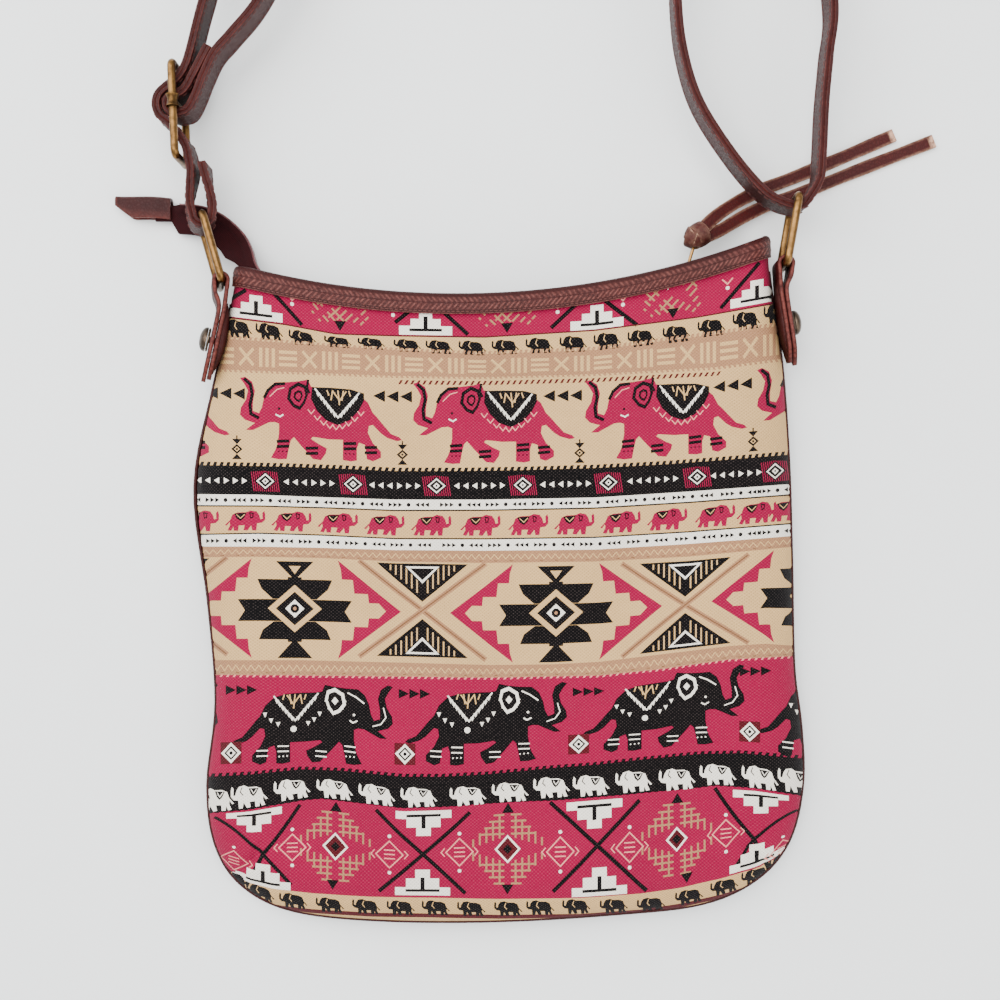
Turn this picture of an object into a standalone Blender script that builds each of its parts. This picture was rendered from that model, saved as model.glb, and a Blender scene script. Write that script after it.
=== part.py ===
"""A crossbody bag in printed canvas and faux leather, lying on its plain back with the print up.

The origin is the middle of the flat face that the bag lies on. +X is the viewer's right and +Y points
to the mouth. The zip is closed, with its slider at the right end of the mouth, and the strap lies in a
loop beyond the mouth at its shortest setting. All lengths are in metres.
"""

import math

import bmesh
import bpy
import numpy as np
from mathutils import Matrix, Vector

MM = 0.001
CLEARANCE = 0.3 * MM

# Bag body: the outline seen from above, from the left of the mouth round the bottom to the right
OUTLINE = [
    (-0.1185, 0.176), (-0.1200, 0.150), (-0.1300, 0.100), (-0.1385, 0.052), (-0.1330, 0.000),
    (-0.1297, -0.047), (-0.1335, -0.085), (-0.1300, -0.112), (-0.1180, -0.1305), (-0.0950, -0.1420),
    (-0.0550, -0.1465), (0.0000, -0.1468), (0.0550, -0.1435), (0.0925, -0.1390), (0.1170, -0.1280),
    (0.1320, -0.1105), (0.1382, -0.085), (0.1375, -0.058), (0.1342, -0.030), (0.1332, 0.020),
    (0.1318, 0.065), (0.1285, 0.110), (0.1228, 0.150), (0.1212, 0.188),
]
LEFT_CORNER = 8
RIGHT_CORNER = 14
SEAM_HEIGHT = 10 * MM
FRONT_HEIGHT = 28.5 * MM
BELLY = 4 * MM
BOTTOM_DROP = 5 * MM
CANVAS = 1.6 * MM
LINING = 0.8 * MM
LINING_GAP = 0.5 * MM
CLOTH_SPREAD = 7 * MM
EDGE_ROUND = 32 * MM
MOUTH_ROUND = 12 * MM
BACK_ROUND = 14 * MM
ROUND_FROM = 0.150
ROUND_TO = 0.070
MOUTH_LIFT = 2.4 * MM
# Where the cloth's rows and columns lie, as shares from the mouth down and from left to right
ROWS = (0, 0.033, 0.11, 0.18, 0.25, 0.305, 0.385, 0.47, 0.557, 0.64, 0.728, 0.78, 0.85, 0.90, 0.95, 0.98, 1)
HALF_COLUMNS = (0, 0.024, 0.052, 0.09, 0.145, 0.215, 0.30, 0.40)
COLUMNS = (*HALF_COLUMNS, 0.5, *(1 - share for share in HALF_COLUMNS[::-1]))

# Mouth: an arc that dips in the middle
MOUTH_CENTRE = Vector((-0.0187, 0.5122))
MOUTH_RADIUS = 375.4 * MM
BINDING_THICKNESS = 1.2 * MM
BINDING_HEIGHT = 9 * MM
BINDING_GAP = 0.6 * MM
# The binding runs between these columns of the cloth
BINDING_FROM = 2
BINDING_TO = -2
PANEL_DROP = 1.4 * MM

# Wire rings at the sides
WIRE = 1.8 * MM
RING_LENGTH = 34 * MM
RING_WIDTH = 26.8 * MM
RING_CORNER = 4.8 * MM
HARDWARE_HEIGHT = 19.2 * MM
RING_LEFT_AT = Vector((-0.1262, 0.1432, HARDWARE_HEIGHT))
RING_RIGHT_AT = Vector((0.1280, 0.1510, HARDWARE_HEIGHT))
RING_LEFT_TURN = math.radians(16)
RING_RIGHT_TURN = math.radians(-10)
RING_LEFT_LEAN = math.radians(14)
RING_RIGHT_LEAN = math.radians(3)

# Strap tabs that hold the rings
TAB_WIDTH = 17 * MM
TAB_LAYER = 1.9 * MM
TAB_TIP = 45 * MM
TAB_TAPER = 11 * MM
LOOP_OFFSET = 0.9 * MM
TAB_LEFT_TURN = math.radians(-12.3)
TAB_RIGHT_TURN = math.radians(8.7)
RIVET_DOWN = 26 * MM
RIVET_CAP = 5.5 * MM
RIVET_RISE = 3.4 * MM
RIVET_POST = 1.5 * MM
RIVET_WASHER = 4.4 * MM

# Strap and its slide
STRAP_WIDTH = 17 * MM
STRAP_THICKNESS = 3.6 * MM
STRAP_ON_TABLE = STRAP_WIDTH / 2
STRAP_STEP = 7 * MM
SLIDE_AT = Vector((-0.1449, 0.2223, HARDWARE_HEIGHT))
SLIDE_TURN = math.radians(2.3)
SLIDE_ABOVE = 17.6 * MM
SLIDE_BELOW = 23.5 * MM
SLIDE_WIDTH = 27.4 * MM
SLIDE_CORNER = 4.8 * MM
SLIDE_BAR = 1.7 * MM
EYE_RADIUS = 3.8 * MM
EYE_DEPTH = 3.0 * MM
EYE_LENGTH = 3.6 * MM

# Zip
ZIP_HEIGHT = 15.3 * MM
CHAIN_RADIUS = MOUTH_RADIUS + 3 * MM
TOOTH_PITCH = 3.5 * MM
TOOTH_WIDTH = 1.45 * MM
TOOTH_REACH = 0.55 * MM
TOOTH_ROOT = 0.75 * MM
CARRIER = 1.6 * MM
CHAIN_THICKNESS = 1.6 * MM
TAPE = 0.7 * MM
SLIDER_AT = 0.0860
SLIDER_LENGTH = 10 * MM
SLIDER_WIDTH = 8.6 * MM
PLATE = 1.0 * MM
CROWN_RISE = 2.6 * MM
CROWN_WIDTH = 2.2 * MM
BAIL_WIRE = 0.65 * MM
BAIL_LENGTH = 9 * MM
BAIL_WIDTH = 5.2 * MM
KNOT_AT = Vector((0.0895, 0.1655, 0.0145))
KNOT_RADIUS = 6.2 * MM
THONG_WIDTH = 6.2 * MM
THONG_THICKNESS = 2.2 * MM
STOP_LENGTH = 2.4 * MM
END_TAB_LENGTH = 25.5 * MM
END_TAB_DROP = 10 * MM
END_TAB_LEATHER = 1.5 * MM
END_TAB_ROOM = 1.6 * MM
TAPE_FLAT = 3.6 * MM
TAPE_END = 11 * MM

# Fields of colour of the print, one for each row of the cloth from the mouth down
PRINT_FIELDS = [
    "magenta", "tan", "cream", "cream", "black", "white", "cream", "cream", "tan", "magenta", "black",
    "magenta", "magenta", "magenta", "cream", "cream",
]
COLOURS = {
    "magenta": (0.45, 0.008, 0.09), "cream": (0.79, 0.56, 0.30), "tan": (0.54, 0.32, 0.19),
    "black": (0.008, 0.008, 0.009), "white": (0.90, 0.83, 0.74), "leather": (0.11, 0.017, 0.015),
    "leather_dark": (0.07, 0.012, 0.011), "brass": (0.30, 0.17, 0.06), "zip": (0.05, 0.006, 0.010),
    "lining": (0.10, 0.06, 0.04),
}


def clear_scene():
    """Remove whatever the scene held."""
    for obj in list(bpy.data.objects):
        bpy.data.objects.remove(obj, do_unlink=True)


def material(name, roughness=0.6, metallic=0.0):
    """A Principled material in one of the bag's colours."""
    made = bpy.data.materials.get(name) or bpy.data.materials.new(name)
    made.use_nodes = True
    shader = made.node_tree.nodes["Principled BSDF"]
    shader.inputs["Base Color"].default_value = (*COLOURS[name], 1.0)
    shader.inputs["Roughness"].default_value = roughness
    shader.inputs["Metallic"].default_value = metallic
    return made


def link(name, mesh, *materials, at=None, smooth=True):
    """Put a mesh in the scene as an object, with its origin moved to a point where one is given."""
    if at is not None:
        mesh.transform(Matrix.Translation(-Vector(at)))
    obj = bpy.data.objects.new(name, mesh)
    if at is not None:
        obj.location = at
    bpy.context.scene.collection.objects.link(obj)
    for made in materials:
        mesh.materials.append(made)
    if smooth:
        mesh.shade_smooth()
        mesh.set_sharp_from_angle(angle=math.radians(40))
    return obj


def mesh_from(name, points, faces):
    """A mesh from points and faces, with its faces turned outwards."""
    mesh = bpy.data.meshes.new(name)
    mesh.from_pydata([tuple(p) for p in points], [], faces)
    shape = bmesh.new()
    shape.from_mesh(mesh)
    bmesh.ops.recalc_face_normals(shape, faces=shape.faces)
    shape.to_mesh(mesh)
    shape.free()
    return mesh


def boolean(obj, other, operation="DIFFERENCE"):
    """Cut another object from this one, or join it, and hide the other."""
    cut = obj.modifiers.new(operation.lower(), "BOOLEAN")
    cut.operation = operation
    cut.object = other
    cut.solver = "EXACT"
    other.hide_render = True
    other.display_type = "WIRE"


def smoothstep(low, high, value):
    """0 below low, 1 above high, and a smooth rise between."""
    share = np.clip((value - low) / (high - low), 0.0, 1.0)
    return share * share * (3 - 2 * share)


def catmull_rom(points, spans):
    """A smooth curve through points, with so many spans between each two."""
    points = np.array([tuple(p) for p in points], float)
    ends = np.vstack([2 * points[0] - points[1], points, 2 * points[-1] - points[-2]])
    curve = []
    for i in range(len(points) - 1):
        a, b, c, d = ends[i : i + 4]
        for share in np.arange(spans) / spans:
            curve.append(
                0.5 * (2 * b + (c - a) * share + (2 * a - 5 * b + 4 * c - d) * share**2
                       + (3 * b - a - 3 * c + d) * share**3)
            )
    curve.append(points[-1])
    return np.array(curve)


def evenly(curve, step):
    """The same curve with points about a step apart."""
    gone = np.concatenate([[0], np.cumsum(np.linalg.norm(np.diff(curve, axis=0), axis=1))])
    marks = np.linspace(0, gone[-1], max(2, round(gone[-1] / step) + 1))
    return np.stack([np.interp(marks, gone, curve[:, k]) for k in range(curve.shape[1])], axis=1)


def sweep(points, across, up, sections, closed=False):
    """Points and faces of a profile carried along a path.

    sections holds one list of (across, up) profile points for each path point.
    """
    made, faces, count = [], [], len(sections[0])
    for point, side, top, section in zip(points, across, up, sections):
        made += [Vector(point) + a * Vector(side) + b * Vector(top) for a, b in section]
    rows = len(points)
    for i in range(rows if closed else rows - 1):
        for k in range(count):
            here, there = i * count, (i + 1) % rows * count
            after = (k + 1) % count
            faces.append((here + k, here + after, there + after, there + k))
    if not closed:
        faces.append(tuple(range(count))[::-1])
        faces.append(tuple((rows - 1) * count + k for k in range(count)))
    return made, faces


def wire_mesh(name, points, radius, sides=8, closed=True):
    """A round wire along points that lie in one plane."""
    points = [Vector(p) for p in points]
    normal = (points[2] - points[0]).cross(points[len(points) // 2] - points[0]).normalized()
    circle = [
        (radius * math.cos(2 * math.pi * k / sides), radius * math.sin(2 * math.pi * k / sides))
        for k in range(sides)
    ]
    sideways = []
    for i, point in enumerate(points):
        before = points[i - 1] if closed or i else point
        after = points[(i + 1) % len(points)] if closed or i < len(points) - 1 else point
        sideways.append((after - before).normalized().cross(normal))
    made, faces = sweep(points, sideways, [normal] * len(points), [circle] * len(points), closed)
    return mesh_from(name, made, faces)


def rounded_rectangle(length_low, length_high, half_width, corner, steps=4):
    """Centre line of a rounded rectangle, as (along, across) pairs."""
    corners = [
        (length_high - corner, half_width - corner, 0),
        (length_low + corner, half_width - corner, 90),
        (length_low + corner, -half_width + corner, 180),
        (length_high - corner, -half_width + corner, 270),
    ]
    line = []
    for along, across, start in corners:
        for k in range(steps + 1):
            angle = math.radians(start + 90 * k / steps)
            line.append((along + corner * math.cos(angle), across + corner * math.sin(angle)))
    return line


class Outline:
    """The bag's outline, and how far in from it a point lies."""

    SPANS = 6

    def __init__(self):
        self.line = catmull_rom(OUTLINE, self.SPANS)
        tangent = np.gradient(self.line, axis=0)
        tangent /= np.linalg.norm(tangent, axis=1)[:, None]
        self.inward = np.stack([-tangent[:, 1], tangent[:, 0]], axis=1)
        self.outer = self.line - CLOTH_SPREAD * self.inward

    def nearest(self, points):
        """Distance in from the outline, and the direction inwards, for each point."""
        start, step = self.line[:-1], np.diff(self.line, axis=0)
        share = ((points[:, None] - start) * step).sum(-1) / (step**2).sum(-1)
        share = np.clip(share, 0, 1)
        foot = start + share[..., None] * step
        near = np.linalg.norm(points[:, None] - foot, axis=-1).argmin(axis=1)
        rows = np.arange(len(points))
        part = share[rows, near][:, None]
        inward = self.inward[near] * (1 - part) + self.inward[near + 1] * part
        inward /= np.linalg.norm(inward, axis=1)[:, None]
        return ((points - foot[rows, near]) * inward).sum(-1), inward

    def crossing(self, side, drop):
        """Index in the outer line where it meets the mouth's arc, on the left (-1) or right (1)."""
        far = np.linalg.norm(self.outer - np.array(MOUTH_CENTRE), axis=1)
        right_side = self.outer[:, 0] * side > 0
        gap = np.where(right_side, np.abs(far - MOUTH_RADIUS - drop), 1.0)
        return int(gap.argmin())


OUTER = Outline()


def skin(points, front, inset=0.0):
    """Where cloth points land on the bag: the front or the back surface, moved in by an inset."""
    points = np.asarray(points, float)
    distance, inward = OUTER.nearest(points)
    x, y = points[:, 0], points[:, 1]
    high = smoothstep(ROUND_TO, ROUND_FROM, y)
    if front:
        edge = EDGE_ROUND + (MOUTH_ROUND - EDGE_ROUND) * high
        middle = np.clip(1 - (x / 0.13) ** 2, 0, 1) * np.clip(1 - (y / 0.17) ** 2, 0, 1)
        top = FRONT_HEIGHT + BELLY * middle - BOTTOM_DROP * smoothstep(0.06, 0.147, -y)
    else:
        edge = np.full(len(points), BACK_ROUND)
        drop = np.linalg.norm(points - np.array(MOUTH_CENTRE), axis=1) - MOUTH_RADIUS
        top = MOUTH_LIFT * (1 - smoothstep(10 * MM, 32 * MM, drop))
    turned = np.clip(1 - (distance + CLOTH_SPREAD) / (edge + CLOTH_SPREAD), 0, 1) * math.pi / 2
    depth = edge - (edge - inset) * np.sin(turned)
    moved = np.where(turned > 0, depth - distance, 0.0)
    place = points + inward * moved[:, None]
    face = top - inset if front else top + inset
    height = SEAM_HEIGHT + (face - SEAM_HEIGHT) * np.cos(turned)
    return np.column_stack([place, height])


def mouth_arc(x, drop):
    """Point of the mouth's arc at an x, a drop below the top of the binding."""
    radius = MOUTH_RADIUS + drop
    across = x - MOUTH_CENTRE.x
    return np.array([x, MOUTH_CENTRE.y - math.sqrt(radius**2 - across**2)])


def cloth_corners():
    """The cloth's edges: its left, bottom and right lines as even points, from the mouth down."""
    first, last = OUTER.crossing(-1, PANEL_DROP), OUTER.crossing(1, PANEL_DROP)
    left = evenly(OUTER.outer[first : LEFT_CORNER * OUTER.SPANS + 1], MM)
    base = evenly(OUTER.outer[LEFT_CORNER * OUTER.SPANS : RIGHT_CORNER * OUTER.SPANS + 1], MM)
    right = evenly(OUTER.outer[RIGHT_CORNER * OUTER.SPANS : last + 1][::-1], MM)
    left[0] = mouth_arc(left[0][0], PANEL_DROP)
    right[0] = mouth_arc(right[0][0], PANEL_DROP)
    return left, base, right


def cloth_grid():
    """Cloth points in rows from the mouth's arc down to the bottom, fitted between the edges."""
    left, base, right = cloth_corners()

    def at(line, share):
        place = share * (len(line) - 1)
        low = min(int(place), len(line) - 2)
        return line[low] + (line[low + 1] - line[low]) * (place - low)

    grid = []
    for v in ROWS:
        for u in COLUMNS:
            top = mouth_arc(left[0][0] + (right[0][0] - left[0][0]) * u, PANEL_DROP)
            sides = (1 - u) * at(left, v) + u * at(right, v)
            ends = (1 - v) * top + v * at(base, u)
            corners = (1 - v) * ((1 - u) * left[0] + u * right[0])
            corners = corners + v * ((1 - u) * base[0] + u * base[-1])
            grid.append(sides + ends - corners)
    return np.array(grid).reshape(len(ROWS), len(COLUMNS), 2)


def grid_faces(rows, columns, start=0):
    """Triangles of a grid of points, all cut alike so that walls stay parallel.

    The first column's last cell is cut the other way, so that no triangle has all its points on the seam.
    """
    faces = []
    for j in range(rows - 1):
        for i in range(columns - 1):
            a, b = start + j * columns + i, start + (j + 1) * columns + i
            if i == 0 and j == rows - 2:
                faces += [(a, b, a + 1), (a + 1, b, b + 1)]
            else:
                faces += [(a, b, b + 1), (a, b + 1, a + 1)]
    return faces


def grid_rim(rows, columns):
    """Indices round the edge of a grid, from its first corner along the first row."""
    rim = [*range(columns), *(j * columns + columns - 1 for j in range(1, rows))]
    rim += [(rows - 1) * columns + i for i in range(columns - 2, -1, -1)]
    rim += [j * columns for j in range(rows - 2, 0, -1)]
    return rim


def make_panel(name, front, materials):
    """One side of the bag as a wall of even thickness, from its outer face to its inner one."""
    cloth = cloth_grid()
    rows, columns = cloth.shape[:2]
    flat = cloth.reshape(-1, 2)
    outer, inner = skin(flat, front), skin(flat, front, CANVAS)
    for face in (outer, inner):
        if front:
            face[:, 2] = np.maximum(face[:, 2], SEAM_HEIGHT + CLEARANCE / 2)
        else:
            face[:, 2] = np.minimum(face[:, 2], SEAM_HEIGHT - CLEARANCE / 2)
    count = len(flat)
    faces = grid_faces(rows, columns)
    faces += [face[::-1] for face in grid_faces(rows, columns, count)]
    rim = grid_rim(rows, columns)
    for a, b in zip(rim, rim[1:] + rim[:1]):
        faces.append((a, b, count + b, count + a))
    return link(name, mesh_from(name, np.vstack([outer, inner]), faces), *materials)


def make_front_panel():
    """The printed canvas, domed from seam to seam, with its fields of colour."""
    names = ["magenta", "cream", "tan", "black", "white"]
    obj = make_panel("front_panel", True, [material(name, 0.85) for name in names])
    across = 2 * (len(COLUMNS) - 1)
    for index, face in enumerate(obj.data.polygons):
        row = index // across
        if row < len(PRINT_FIELDS):
            face.material_index = names.index(PRINT_FIELDS[row])
    return obj


def make_back_panel():
    """The plain leather back, flat where the bag lies and turned up to the seam."""
    return make_panel("back_panel", False, [material("leather", 0.5)])


def make_lining():
    """The lining pouch: a front and a back sheet joined round their edges, open at the mouth."""
    cloth = cloth_grid()[1:]
    rows, columns = cloth.shape[:2]
    flat = cloth.reshape(-1, 2)
    near = CANVAS + LINING_GAP
    points, faces, count = [], [], len(flat)
    seam = [index for index in grid_rim(rows, columns) if index >= columns or index in (0, columns - 1)]
    for inset in (near, near + LINING):
        sheets = [skin(flat, front, inset) for front in (True, False)]
        joined = (sheets[0][seam] + sheets[1][seam]) / 2
        for sheet in sheets:
            sheet[seam] = joined
            faces += grid_faces(rows, columns, len(points))
            points += sheet.tolist()
    for i in range(columns - 1):
        for base in (0, count):
            a, b = base + i, base + 2 * count + i
            faces.append((a, a + 1, b + 1, b))
    shape = bmesh.new()
    corners = [shape.verts.new(p) for p in points]
    for face in faces:
        shape.faces.new([corners[k] for k in face])
    bmesh.ops.remove_doubles(shape, verts=shape.verts, dist=0.01 * MM)
    bmesh.ops.recalc_face_normals(shape, faces=shape.faces)
    mesh = bpy.data.meshes.new("lining")
    shape.to_mesh(mesh)
    shape.free()
    return link("lining", mesh, material("lining", 0.9))


def make_binding(name, front):
    """A leather strip rolled over a mouth edge: outer flap, roll and inner flap."""
    outer = -(BINDING_GAP + BINDING_THICKNESS / 2)
    inner = CANVAS + BINDING_GAP + BINDING_THICKNESS / 2
    crest = PANEL_DROP - BINDING_GAP - BINDING_THICKNESS / 2
    # (drop below the arc, inset from the panel's outer face)
    line = np.array([
        (BINDING_HEIGHT, outer), (2.4 * MM, outer), (crest + 0.5 * MM, outer + 0.5 * MM),
        (crest - 0.1 * MM, (outer + inner) / 2), (crest + 0.5 * MM, inner - 0.5 * MM), (2.4 * MM, inner),
        (BINDING_HEIGHT * 0.9, inner),
    ])
    slope = np.gradient(line, axis=0)
    slope /= np.linalg.norm(slope, axis=1)[:, None]
    normal = np.stack([-slope[:, 1], slope[:, 0]], axis=1) * BINDING_THICKNESS / 2
    profile = [*(line + normal), *(line - normal)[::-1]]
    places, points = cloth_grid()[0][BINDING_FROM:BINDING_TO, 0], []
    for drop, inset in profile:
        cloth = np.array([mouth_arc(x, drop) for x in places])
        points.append(skin(cloth, front, inset))
    count = len(profile)
    points = np.array(points).transpose(1, 0, 2).reshape(-1, 3)
    faces = []
    for i in range(len(places) - 1):
        for k in range(count):
            a, b = i * count + k, i * count + (k + 1) % count
            faces.append((a, b, b + count, a + count))
    for base in (0, (len(places) - 1) * count):
        for k in range(count // 2 - 1):
            faces.append((base + k, base + k + 1, base + count - 2 - k, base + count - 1 - k))
    return link(name, mesh_from(name, points, faces), material("leather", 0.5))


class Stand:
    """A local frame at a ring: out from the bag, along the ring, and across it."""

    def __init__(self, at, side, turn, lean):
        self.at = Vector(at)
        self.along = Vector((-math.sin(turn), math.cos(turn), 0))
        flat_out = Vector((side * math.cos(turn), side * math.sin(turn), 0))
        upright = Vector((0, 0, 1))
        self.out = flat_out * math.cos(lean) + upright * math.sin(lean)
        self.across = upright * math.cos(lean) - flat_out * math.sin(lean)

    def point(self, out, along, across=0.0):
        """World place of a local point."""
        return self.at + self.out * out + self.along * along + self.across * across


STANDS = {
    "left": Stand(RING_LEFT_AT, -1, RING_LEFT_TURN, RING_LEFT_LEAN),
    "right": Stand(RING_RIGHT_AT, 1, RING_RIGHT_TURN, RING_RIGHT_LEAN),
}
RING_BARS = RING_LENGTH - 2 * WIRE


def make_ring(side):
    """A rectangular wire ring, hung by its lower bar in the tab's fold."""
    stand = STANDS[side]
    line = rounded_rectangle(0, RING_BARS, RING_WIDTH / 2 - WIRE, RING_CORNER - WIRE)
    points = [stand.point(0, along, across) for along, across in line]
    mesh = wire_mesh(f"ring_{side}", points, WIRE)
    return link(f"ring_{side}", mesh, material("brass", 0.35, 1.0), at=stand.at)


def tab_frame(side):
    """The tab's own frame: it starts at the ring's bar and runs down the bag's side."""
    stand = STANDS[side]
    if side == "left":
        return Stand(stand.at, -1, TAB_LEFT_TURN, RING_LEFT_LEAN)
    return Stand(stand.at, 1, TAB_RIGHT_TURN, RING_RIGHT_LEAN)


def tab_line():
    """Centre line of the folded strip, as (out, along): up the inner layer, round the bar, down the outer."""
    radius = WIRE + CLEARANCE + TAB_LAYER / 2
    flat = -radius - LOOP_OFFSET
    outer = flat + TAB_LAYER + CLEARANCE
    line = [(flat, -TAB_TIP + 1.5 * MM), (flat, -30 * MM), (flat, -16 * MM), (flat + 0.1 * MM, -10 * MM)]
    line += [(-radius - 0.3 * MM, -4 * MM)]
    line += [
        (radius * math.cos(math.radians(a)), radius * math.sin(math.radians(a)))
        for a in range(180, -31, -30)
    ]
    line += [(outer + 3.0 * MM, -5.8 * MM), (outer + 0.8 * MM, -9.4 * MM), (outer, -14 * MM)]
    line += [(outer, -30 * MM), (outer, -TAB_TIP)]
    return catmull_rom(line, 2)


def make_tab(side):
    """A leather strip folded over its ring, tapered to a point at both ends."""
    frame, ring = tab_frame(side), STANDS[side]
    line = tab_line()
    points = [frame.point(out, along) for out, along in line]
    across, sideways, sections = [], [], []
    half = TAB_LAYER / 2
    for i, (out, along) in enumerate(line):
        turned = float(smoothstep(-16 * MM, -4 * MM, along))
        across.append(frame.across.lerp(ring.across, turned).normalized())
        way = points[min(i + 1, len(points) - 1)] - points[max(i - 1, 0)]
        sideways.append(way.cross(across[-1]).normalized())
        taper = min(1.0, (along + TAB_TIP + 1.5 * MM) / TAB_TAPER)
        wide = TAB_WIDTH / 2 * math.sin(taper * math.pi / 2)
        sections.append([(-half, -wide), (half, -wide), (half, wide), (-half, wide)])
    made, faces = sweep(points, sideways, across, sections)
    name = f"tab_{side}"
    obj = link(name, mesh_from(name, made, faces), material("leather", 0.5))
    boolean(obj, rivet_hole(side))
    return obj


def rivet_hole(side):
    """The hole for a rivet's post, through the tab and the bag's side."""
    name = f"rivet_hole_{side}"
    hole = bpy.data.objects.get(name)
    if hole:
        return hole
    frame = tab_frame(side)
    far = 16 * MM
    ends = [frame.point(far * k, -RIVET_DOWN) for k in (-1, 1)]
    radius = RIVET_POST + CLEARANCE
    return link(name, rod_mesh(name, ends[0], ends[1], radius, 12), smooth=False)


def rod_mesh(name, start, end, radius, sides, squashed=1.0, side=None):
    """A straight round rod, or an oval one with its full radius along side."""
    way = (Vector(end) - Vector(start)).normalized()
    side = side or way.orthogonal().normalized()
    circle = [
        (radius * math.cos(2 * math.pi * k / sides), radius * squashed * math.sin(2 * math.pi * k / sides))
        for k in range(sides)
    ]
    points, faces = sweep([start, end], [side] * 2, [way.cross(side)] * 2, [circle] * 2)
    return mesh_from(name, points, faces)


def make_rivet(side):
    """A rivet: domed cap outside, post through the leather and canvas, washer inside."""
    frame = tab_frame(side)
    radius = WIRE + CLEARANCE + TAB_LAYER / 2
    outer_face = -radius - LOOP_OFFSET + 1.5 * TAB_LAYER + 2 * CLEARANCE
    inner_face = wall_reach(side) - 0.5 * MM
    profile = [
        (inner_face - 1.0 * MM, RIVET_WASHER * 0.85), (inner_face, RIVET_WASHER),
        (inner_face, RIVET_POST), (outer_face, RIVET_POST), (outer_face, RIVET_CAP),
        (outer_face + RIVET_RISE * 0.35, RIVET_CAP), (outer_face + RIVET_RISE * 0.72, RIVET_CAP * 0.8),
        (outer_face + RIVET_RISE * 0.94, RIVET_CAP * 0.45),
    ]
    sides = 14
    points = [frame.point(profile[0][0], -RIVET_DOWN)]
    for out, wide in profile:
        for k in range(sides):
            angle = 2 * math.pi * k / sides
            turned = -RIVET_DOWN + wide * math.cos(angle)
            points.append(frame.point(out, turned, wide * math.sin(angle)))
    points.append(frame.point(outer_face + RIVET_RISE, -RIVET_DOWN))
    faces = []
    for row in range(len(profile) - 1):
        for k in range(sides):
            a, b = 1 + row * sides + k, 1 + row * sides + (k + 1) % sides
            faces.append((a, b, b + sides, a + sides))
    last = 1 + (len(profile) - 1) * sides
    for k in range(sides):
        faces.append((0, 1 + (k + 1) % sides, 1 + k))
        faces.append((len(points) - 1, last + k, last + (k + 1) % sides))
    name = f"rivet_{side}"
    return link(name, mesh_from(name, points, faces), material("brass", 0.35, 1.0))


def wall_reach(side):
    """How far in along the rivet's axis the lining's inner face lies, as the tab's out value."""
    frame = tab_frame(side)
    centre = frame.point(0, -RIVET_DOWN)
    sign = -1 if side == "left" else 1
    rows = np.linspace(0.100, 0.152, 40)
    inset = CANVAS + LINING_GAP + LINING
    cloth = np.array([(sign * x, y) for y in rows for x in np.linspace(0.108, 0.137, 40)])
    face = skin(cloth, True, inset)
    local = face - np.array(centre)
    along = local @ np.array(frame.along)
    across = local @ np.array(frame.across)
    near = np.hypot(along, across) < RIVET_WASHER + 1.5 * MM
    return float((local @ np.array(frame.out))[near].min())


def around(centre, radius, start, end, step=30):
    """Points of an arc in plan, as offsets from a centre, for the strap's loops."""
    count = max(2, round(abs(end - start) / step))
    angles = [math.radians(start + (end - start) * k / count) for k in range(count + 1)]
    return [(centre[0] + radius * math.cos(a), centre[1] + radius * math.sin(a)) for a in angles]


def bar_of(side):
    """Plan place of a ring's upper bar."""
    stand = STANDS[side]
    return stand.at.xy + stand.along.xy * RING_BARS


def strap_route():
    """The strap's centre line in plan with its height, from the sewn end at the left ring to the slide."""
    left, right, slide = bar_of("left"), bar_of("right"), SLIDE_AT.xy
    loop = WIRE + CLEARANCE + STRAP_THICKNESS / 2 + 0.2 * MM
    wrap = SLIDE_BAR + CLEARANCE + STRAP_THICKNESS / 2 + 0.2 * MM
    bulge = wrap + STRAP_THICKNESS + 1.0 * MM
    route = [left + Vector(p) * MM for p in ((1.4, 24.0), (2.4, 17.0), (3.9, 9.0), (4.4, 4.0))]
    route += around(left, loop, 0, -180)
    route += [left + Vector(p) * MM for p in ((-5.4, 6.5), (-4.7, 14.0), (-3.9, 22.0))]
    route += [slide + Vector(p) * MM for p in ((4.6, -18.6), (1.6, -14.2))]
    route += around(slide, bulge, 250, 120)
    route += [slide + Vector(p) * MM for p in ((1.0, 11.8), (4.4, 17.0), (6.8, 24.5), (9.4, 35.0))]
    route += [
        (-0.1322, 0.2700), (-0.1240, 0.3000), (-0.1040, 0.3450), (-0.0620, 0.3900), (-0.0050, 0.4100),
        (0.0600, 0.4020), (0.1120, 0.3680), (0.1420, 0.3200), (0.1490, 0.2700), (0.1470, 0.2450),
        (0.1450, 0.2230), (0.1438, 0.1990),
    ]
    route += [right + Vector(p) * MM for p in ((9.3, 7.4),)]
    route += around(right, loop, -33, -108)
    route += [right + Vector(p) * MM for p in ((-7.7, -2.0), (-16.1, 3.4))]
    route += [
        (0.1035, 0.2005), (0.0890, 0.2235), (0.0818, 0.2465), (0.0792, 0.2700), (0.0790, 0.3000),
        (0.0670, 0.3380), (0.0380, 0.3670), (0.0000, 0.3740), (-0.0400, 0.3610), (-0.0720, 0.3310),
        (-0.0930, 0.2980), (-0.1080, 0.2690), (-0.1200, 0.2540),
    ]
    route += [slide + Vector(p) * MM for p in ((17.4, 23.0), (12.6, 13.0), (9.0, 4.0), (5.6, -2.2))]
    route += around(slide, wrap, 290, 100)
    route += [slide + Vector(p) * MM for p in ((4.0, 6.6), (8.6, 14.6), (14.6, 26.0))]
    return evenly(catmull_rom(route, 8), 0.5 * MM)


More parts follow.
